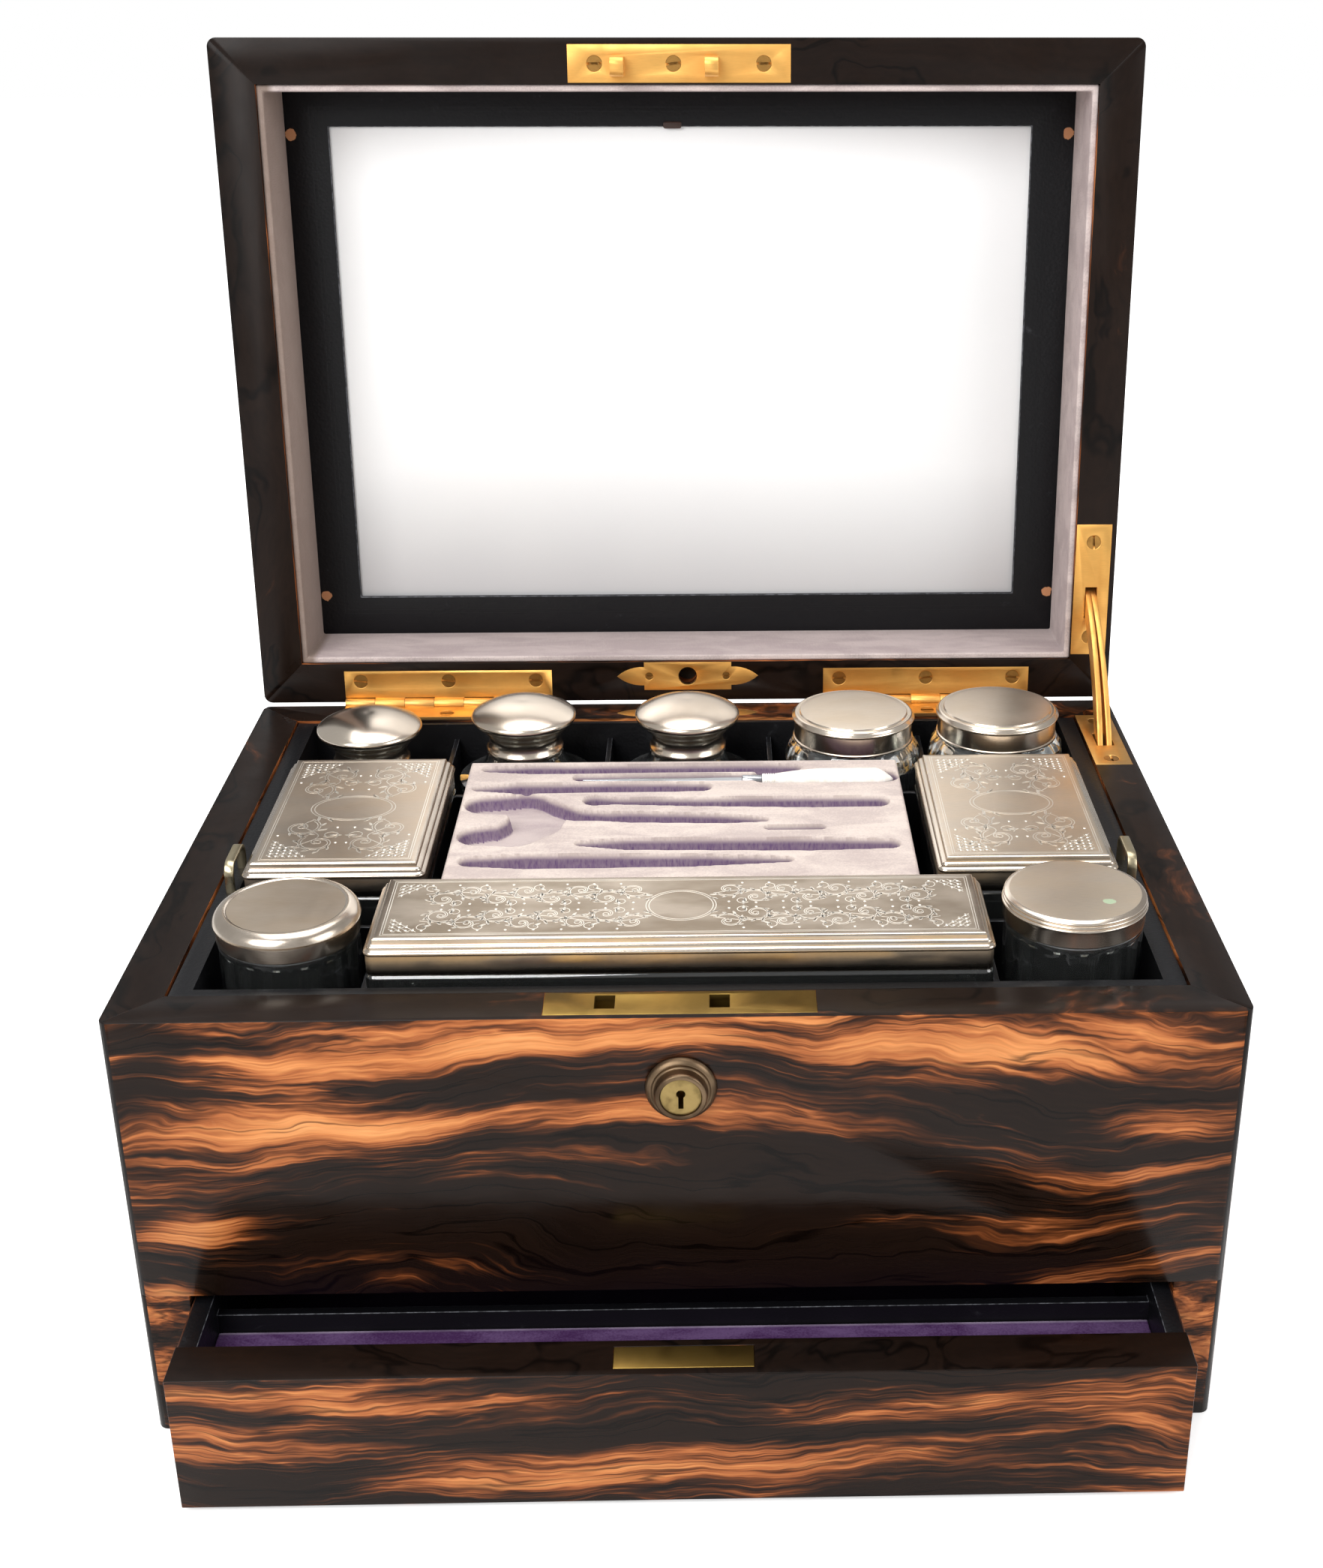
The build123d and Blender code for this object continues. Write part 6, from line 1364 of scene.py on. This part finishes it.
# radii of a bottle's collar, neck and bore, and the thickness of its wall, in mm
BOTTLE_COLLAR = 13.0
BOTTLE_NECK = 11.8
BOTTLE_BORE = 7.5
BOTTLE_WALL = 3.5


class DRESSBOX_OT_bottles(bpy.types.Operator):
    """Blows the three scent bottles and spins their mushroom caps"""
    bl_idname = "dressbox.bottles"
    bl_label = "Bottles"

    def execute(self, context):
        for index in (1, 2, 3):
            self.cap("bottle_%d" % index)
            self.glass("bottle_%d" % index)
        return {"FINISHED"}

    def cap(self, name):
        """A low dome with a rolled rim over a waisted, hollow collar."""
        node = name + "_cap"
        middle, radius, foot, top = round_place(node)
        rim, collar = top - 6.0, BOTTLE_COLLAR
        profile = bow((0, top), (radius - 0.7, rim + 1.5), 1.55, 16)
        profile += bow((radius - 0.7, rim + 1.5), (radius - 0.5, rim - 1.4), 0.75, 6)[1:]
        profile += bow((radius - 0.9, rim - 1.8), (collar + 2.0, rim - 5.0), -0.3, 6)
        profile += bow((collar + 2.0, rim - 5.0), (collar + 0.9, foot + 2.6), -1.3, 10)[1:]
        profile += [(collar + 1.2, foot + 2.2), (collar + 1.2, foot + 1.5), (collar + 0.5, foot + 1.2)]
        profile += [(collar + 0.5, foot + 0.3), (collar, foot), (collar - 0.9, foot)]
        profile += [(collar - 0.9, foot + 8.0), (0, foot + 8.0)]
        keep_silver(name, turned(name + "_silver", profile, middle, turning_steps()), "silver", node)

    def glass(self, name):
        """A straight, finely facetted body under a round shoulder and a plain neck."""
        middle, radius, floor, top = round_place(name + "_glass")
        foot = top - 7.0
        neck, bore, inner = BOTTLE_NECK, BOTTLE_BORE, radius - BOTTLE_WALL
        profile = [(0, floor + 0.6), (radius - 5, floor + 0.6), (radius - 3, floor), (radius - 1.2, floor)]
        profile += [(radius, floor + 2)]
        profile += bow((radius, foot - 9.5), (BOTTLE_COLLAR + 0.9, foot), 2.6, 10)
        profile += [(neck, foot), (neck, top - 0.5), (neck - 0.5, top), (bore, top), (bore, foot - 3)]
        profile += bow((bore, foot - 3), (inner, foot - 13), -2.2, 8)[1:]
        bottom = floor + BOTTLE_WALL + 2
        profile += [(inner, bottom + 2), (inner - 3, bottom), (0, bottom)]

        def facets(angle, r, height):
            if height < foot - 11 and r > radius - 0.5:
                return r * (1 - 0.012 * (1 - math.cos(24 * angle)))
            return r

        keep_glass(name, turned(name + "_flint", profile, middle, turning_steps(), facets))


# radii of a shouldered jar's neck and bore, in mm
JAR_NECK = 20.8
JAR_BORE = 17.8


class DRESSBOX_OT_jars(bpy.types.Operator):
    """Cuts the two shouldered jars at the back and spins their lids"""
    bl_idname = "dressbox.jars"
    bl_label = "Jars"

    def execute(self, context):
        for index in (1, 2):
            self.lid("jar_%d" % index)
            self.glass("jar_%d" % index)
        return {"FINISHED"}

    def lid(self, name):
        """A flat lid with a step, a rolled double rim and a straight skirt."""
        node = name + "_lid"
        middle, radius, foot, top = round_place(node)
        skirt = radius - 0.8
        profile = [(0, top), (radius - 5.5, top - 0.35), (radius - 3.0, top - 0.7)]
        profile += [(radius - 2.6, top - 1.25)]
        profile += bow((radius - 2.2, top - 1.3), (radius - 0.6, top - 2.0), 0.5, 5)
        profile += bow((radius - 0.5, top - 2.2), (radius - 0.5, top - 3.6), 0.6, 6)[1:]
        profile += [(skirt, top - 3.9), (skirt, foot + 1.0)]
        profile += [(skirt + 0.4, foot + 0.7), (skirt + 0.4, foot + 0.2), (skirt, foot)]
        profile += [(skirt - 0.9, foot), (skirt - 0.9, top - 3.4), (0, top - 3.4)]
        keep_silver(name, turned(name + "_silver", profile, middle, turning_steps()), "silver_jar", node)

    def glass(self, name):
        """A heavy round body with sixteen cut faces on its side and its shoulder."""
        middle, radius, floor, top = round_place(name + "_glass")
        foot = span(name + "_lid")[0].z
        seat, neck, bore = radius - 2.9, JAR_NECK, JAR_BORE
        profile = [
            (0, floor + 0.6), (radius - 6, floor + 0.6), (radius - 4, floor), (radius - 1.5, floor),
            (radius, floor + 2), (radius, foot - 6), (radius - 0.9, foot - 3), (seat, foot),
            (neck, foot), (neck, top - 0.5), (neck - 0.5, top), (bore, top), (bore, foot - 4),
            (radius - 3, foot - 9), (radius - 3, floor + 8), (radius - 6, floor + 5), (0, floor + 5),
        ]

        def facets(angle, r, height):
            if r > seat - 0.1 and foot - 6.5 < height <= foot:
                return r * (1 - 0.02 * abs(math.sin(8 * angle)))
            if r > radius - 0.5 and height < foot - 5:
                return r * (1 - 0.016 * abs(math.sin(8 * angle)))
            return r

        mesh = turned(name + "_flint", eased(profile, 0.6, 3), middle, turning_steps(), facets)
        keep_glass(name, mesh)


# radii of a fluted jar's neck and bore, in mm
FLUTED_NECK = 20.3
FLUTED_BORE = 17.3


class DRESSBOX_OT_fluted_jars(bpy.types.Operator):
    """Cuts the two fluted jars at the front and spins their lids"""
    bl_idname = "dressbox.fluted_jars"
    bl_label = "Fluted Jars"

    def execute(self, context):
        self.lid("fluted_jar_1", "silver_dull", broad=True)
        self.lid("fluted_jar_2", "silver_spot", broad=False)
        for index in (1, 2):
            self.glass("fluted_jar_%d" % index)
        return {"FINISHED"}

    def lid(self, name, key, broad):
        """One lid has a broad rounded rim, the other a flat top to a thin triple ring."""
        node = name + "_lid"
        middle, radius, foot, top = round_place(node)
        skirt = radius - 0.6
        if broad:
            profile = [(0, top - 0.3), (radius - 4.6, top - 0.3), (radius - 4.2, top - 0.3)]
            profile += [(radius - 3.9, top - 0.05)]
            profile += bow((radius - 3.6, top), (radius, top - 3.3), 0.75, 9)
            profile += [(radius - 0.7, top - 3.7), (radius - 0.2, top - 4.0), (radius - 0.2, top - 4.5)]
        else:
            profile = [(0, top), (radius - 2.4, top - 0.1), (radius - 1.8, top - 0.15)]
            profile += [(radius - 1.2, top - 0.45)]
            for ring in range(3):
                z = top - 0.6 - 1.1 * ring
                r = radius - 0.9 + 0.25 * ring
                profile += bow((r, z), (r, z - 1.0), 0.42, 5)
        profile += [(skirt, top - 4.8), (skirt, foot + 0.3), (skirt - 0.3, foot)]
        profile += [(skirt - 0.9, foot), (skirt - 0.9, top - 3.6), (0, top - 3.6)]
        profile = [(min(r, radius), z) for r, z in profile]
        keep_silver(name, turned(name + "_silver", profile, middle, turning_steps() * 2), key, node)

    def glass(self, name):
        """A straight body cut with sixteen hollow flutes."""
        middle, radius, floor, top = round_place(name + "_glass")
        foot = span(name + "_lid")[0].z
        neck, bore = FLUTED_NECK, FLUTED_BORE
        profile = [
            (0, floor + 0.6), (radius - 5, floor + 0.6), (radius - 3.5, floor), (radius - 1, floor),
            (radius, floor + 1), (radius, floor + 4), (radius, floor + 6), (radius, foot - 3.5),
            (radius, foot - 1.5), (radius, foot), (neck, foot), (neck, top - 0.4), (neck - 0.4, top),
            (bore, top), (bore, foot - 2), (radius - 3.9, foot - 4), (radius - 3.9, floor + 7),
            (radius - 6, floor + 5), (0, floor + 5),
        ]

        def flutes(angle, r, height):
            if r > radius - 0.3 and floor + 5 < height < foot - 2:
                return r - 0.9 * abs(math.cos(8 * angle)) ** 1.4
            return r

        mesh = turned(name + "_flint", eased(profile, 0.4, 2), middle, turning_steps() * 2, flutes)
        keep_glass(name, mesh)


# the oblong boxes' corner radius, and how far the flat panel lies inside a cover's edge, in mm
BOX_CORNER = 3.0
PANEL_INSET = 3.5


class DRESSBOX_OT_boxes(bpy.types.Operator):
    """Raises the three oblong boxes' covers, engraves them and cuts the glass below"""
    bl_idname = "dressbox.boxes"
    bl_label = "Boxes"

    def execute(self, context):
        look = context.scene.dressing_look
        trees = line_tree(), stud_tree()
        for index, name in enumerate(("left_box", "right_box", "long_box")):
            self.cover(name)
            self.glass(name)
            self.engraving(name, trees, look.cut_width / MM, look.seed + index)
        return {"FINISHED"}

    def cover(self, name):
        """A hollow cover whose mouldings step in to a flat panel, with its inner wall."""
        node = name + "_cover"
        middle, half_x, half_y, foot, top = oblong_place(node)
        profile = [(1.5, foot), (0.85, foot), (0.6, foot + 0.3), (0.6, top - 4.9)]
        profile += bow((0.5, top - 4.8), (0.6, top - 3.2), 0.5, 6)
        profile += [(1.1, top - 3.0)]
        profile += bow((1.2, top - 2.9), (2.2, top - 1.6), 0.35, 6)
        profile += [(2.7, top - 1.5), (2.8, top - 0.9)]
        profile += bow((2.8, top - 0.8), (3.5, top), 0.22, 4)
        profile += [(6.0, top)]
        profile = [(max(inset, 0.0), z) for inset, z in profile]
        work = bmesh.new()
        for line in (profile, [(1.5, foot), (1.5, top - 2.1)]):
            part = moulded(name + "_silver", line, middle, half_x, half_y, BOX_CORNER, (-1,))
            work.from_mesh(part)
            bpy.data.meshes.remove(part)
        bmesh.ops.remove_doubles(work, verts=work.verts, dist=0.001 * MM)
        bmesh.ops.recalc_face_normals(work, faces=work.faces)
        mesh = bpy.data.meshes.new(name + "_silver")
        work.to_mesh(mesh)
        work.free()
        keep_silver(name, mesh, "silver_" + name, node)

    def glass(self, name):
        """A thick plain body with a ledge that the cover stands on."""
        middle, half_x, half_y, floor, rim = oblong_place(name + "_glass")
        shelf = span(name + "_cover")[0].z
        profile = [
            (1.2, floor), (0, floor + 1.2), (0, shelf - 1.0), (0.8, shelf), (1.6, shelf), (1.6, rim - 0.3),
            (1.9, rim), (4.8, rim), (5.2, rim - 0.4), (5.2, floor + 5.0), (6.6, floor + 3.6),
        ]
        mesh = moulded(name + "_flint", eased(profile, 0.25, 2), middle, half_x, half_y, BOX_CORNER)
        keep_glass(name, mesh)

    def engraving(self, name, trees, cut, seed):
        """The ornament on the cover's panel, laid along the panel's longer side."""
        node = name + "_cover"
        low, high = span(node)
        half_x, half_y = (high.x - low.x) / 2 - PANEL_INSET, (high.y - low.y) / 2 - PANEL_INSET
        lines, dots = ornament(max(half_x, half_y), min(half_x, half_y), seed)
        turn = math.radians(90) if half_y > half_x else 0.0
        panel = Vector((*middle_of(node), high.z)) * MM
        place = Matrix.Translation(panel) @ Matrix.Rotation(turn, 4, "Z")
        flat = [[(u, v, 0.0) for u, v in line] for line in lines]
        points = [(u, v, 0.0) for u, v in dots]
        grown(
            name + "_cuts", drawing(flat), trees[0], {"Width": cut, "Height": 0.05}, "silver_cut",
            node, place,
        )
        grown(
            name + "_dots", drawing(points=points), trees[1], {"Radius": 0.5}, "silver_cut",
            node, place,
        )


# ---- stage ----
CAMERA_PLACE = Vector((11.5, -630.0, 443.0)) * MM
CAMERA_YAW = -0.026
CAMERA_PITCH = -0.430
CAMERA_ROLL = 0.002
CAMERA_LENS = 47.25
CAMERA_SHIFT = (-0.0673, 0.0187)
CAMERA_SENSOR = 36.0
FLOOR_REACH = 4.0
# what the lamps are aimed at, and each lamp's place and width, in metres
LAMP_AIM = Vector((0, 0, 0.12))
LAMPS = {
    "key": ((-0.75, -1.25, 1.25), 1.1),
    "fill": ((1.35, -0.7, 0.9), 0.9),
    "top": ((0.0, 0.25, 1.7), 1.3),
}


class DRESSBOX_OT_stage(bpy.types.Operator):
    """Sets the white floor, the soft lamps, the room's light and the camera"""
    bl_idname = "dressbox.stage"
    bl_label = "Stage"

    def execute(self, context):
        stage = context.scene.stage_look
        self.floor(stage)
        self.room(stage)
        for name, (place, size) in LAMPS.items():
            self.lamp(name, place, size, getattr(stage, name + "_power"))
        self.camera()
        context.scene.view_settings.view_transform = "Standard"
        return {"FINISHED"}

    def floor(self, stage):
        """A white sweep that glows to the camera alone, more so away from the box."""
        mesh = bpy.data.meshes.new("floor")
        corners = [(x * FLOOR_REACH, y * FLOOR_REACH, 0) for x, y in ((-1, -1), (1, -1), (1, 1), (-1, 1))]
        mesh.from_pydata(corners, [], [(0, 1, 2, 3)])
        material, tree, shader = surface("white_sweep", "#FAFAFA", {
            "Roughness": 0.9, "Specular IOR Level": 0.0,
        })
        eye = add(tree, "ShaderNodeLightPath").outputs["Is Camera Ray"]
        place = add(tree, "ShaderNodeTexCoord").outputs["Object"]
        away = add(tree, "ShaderNodeVectorMath", {"operation": "LENGTH"}, (place,)).outputs["Value"]
        lift = add(tree, "ShaderNodeMapRange", (), (away, 0.25, 0.9, 0.42, 1.0))
        glow = add(tree, "ShaderNodeMath", TIMES, (eye, lift))
        wire(tree, shader, {"Emission Color": (*stage.backdrop, 1.0), "Emission Strength": glow})
        mesh.materials.append(material)
        piece = bpy.data.objects.new("floor", mesh)
        bpy.context.scene.collection.objects.link(piece)

    def room(self, stage):
        """Even light that looks brighter where the camera sees it, straight or through glass."""
        world = bpy.data.worlds.new("studio")
        world.use_nodes = True
        tree = world.node_tree
        tree.nodes.clear()
        rays = add(tree, "ShaderNodeLightPath").outputs
        seen = add(tree, "ShaderNodeMath", GREATER, (rays["Is Camera Ray"], rays["Is Transmission Ray"]))
        strength = add(tree, "ShaderNodeMapRange", (), (seen, 0.0, 1.0, stage.room_light, 1.0))
        glow = add(tree, "ShaderNodeBackground", (), {"Color": (*stage.backdrop, 1.0), "Strength": strength})
        add(tree, "ShaderNodeOutputWorld", (), {"Surface": glow})
        bpy.context.scene.world = world

    def lamp(self, name, place, size, power):
        """A square soft lamp turned to the box."""
        data = bpy.data.lights.new(name, "AREA")
        data.shape = "SQUARE"
        data.size = size
        data.energy = power
        lamp = bpy.data.objects.new(name, data)
        lamp.location = place
        lamp.rotation_euler = (LAMP_AIM - Vector(place)).to_track_quat("-Z", "Y").to_euler()
        bpy.context.scene.collection.objects.link(lamp)

    def camera(self):
        """The camera at its place, turned by its yaw, pitch and roll."""
        data = bpy.data.cameras.new("camera")
        data.lens = CAMERA_LENS
        data.sensor_width = CAMERA_SENSOR
        data.sensor_fit = "AUTO"
        data.shift_x, data.shift_y = CAMERA_SHIFT
        data.clip_start = 0.01
        camera = bpy.data.objects.new("camera", data)
        cos_pitch, sin_pitch = math.cos(CAMERA_PITCH), math.sin(CAMERA_PITCH)
        ahead = Vector((
            -math.sin(CAMERA_YAW) * cos_pitch, math.cos(CAMERA_YAW) * cos_pitch, sin_pitch,
        ))
        right = Vector((math.cos(CAMERA_YAW), math.sin(CAMERA_YAW), 0))
        up = right.cross(ahead)
        tilted_right = right * math.cos(CAMERA_ROLL) + up * math.sin(CAMERA_ROLL)
        tilted_up = up * math.cos(CAMERA_ROLL) - right * math.sin(CAMERA_ROLL)
        turn = Matrix((tilted_right, tilted_up, -ahead)).transposed().to_4x4()
        camera.matrix_world = Matrix.Translation(CAMERA_PLACE) @ turn
        bpy.context.scene.collection.objects.link(camera)
        bpy.context.scene.camera = camera


class DRESSBOX_PT_panel(bpy.types.Panel):
    bl_label = "Dressing Box"
    bl_idname = "DRESSBOX_PT_panel"
    bl_space_type = "VIEW_3D"
    bl_region_type = "UI"
    bl_category = "Dressing Box"

    def draw(self, context):
        for settings in (context.scene.dressing_look, context.scene.stage_look):
            column = self.layout.column()
            for name in settings.__annotations__:
                column.prop(settings, name)
        column = self.layout.column()
        for operator in OPERATORS:
            column.operator(operator.bl_idname)


OPERATORS = (
    DRESSBOX_OT_case, DRESSBOX_OT_case_brass, DRESSBOX_OT_screws, DRESSBOX_OT_lid, DRESSBOX_OT_lid_brass,
    DRESSBOX_OT_drawer, DRESSBOX_OT_tray, DRESSBOX_OT_tool_tray, DRESSBOX_OT_bottles, DRESSBOX_OT_jars,
    DRESSBOX_OT_fluted_jars, DRESSBOX_OT_boxes, DRESSBOX_OT_stage,
)
CLASSES = (DressingLook, StageLook, *OPERATORS, DRESSBOX_PT_panel)


def register():
    for item in CLASSES:
        bpy.utils.register_class(item)
    bpy.types.Scene.dressing_look = PointerProperty(type=DressingLook)
    bpy.types.Scene.stage_look = PointerProperty(type=StageLook)


def unregister():
    del bpy.types.Scene.stage_look
    del bpy.types.Scene.dressing_look
    for item in reversed(CLASSES):
        bpy.utils.unregister_class(item)


def main():
    register()
    bpy.ops.dressbox.case()
    bpy.ops.dressbox.case_brass()
    bpy.ops.dressbox.screws()
    bpy.ops.dressbox.lid()
    bpy.ops.dressbox.lid_brass()
    bpy.ops.dressbox.drawer()
    bpy.ops.dressbox.tray()
    bpy.ops.dressbox.tool_tray()
    bpy.ops.dressbox.bottles()
    bpy.ops.dressbox.jars()
    bpy.ops.dressbox.fluted_jars()
    bpy.ops.dressbox.boxes()
    bpy.ops.dressbox.stage()


if __name__ == "__main__":
    main()
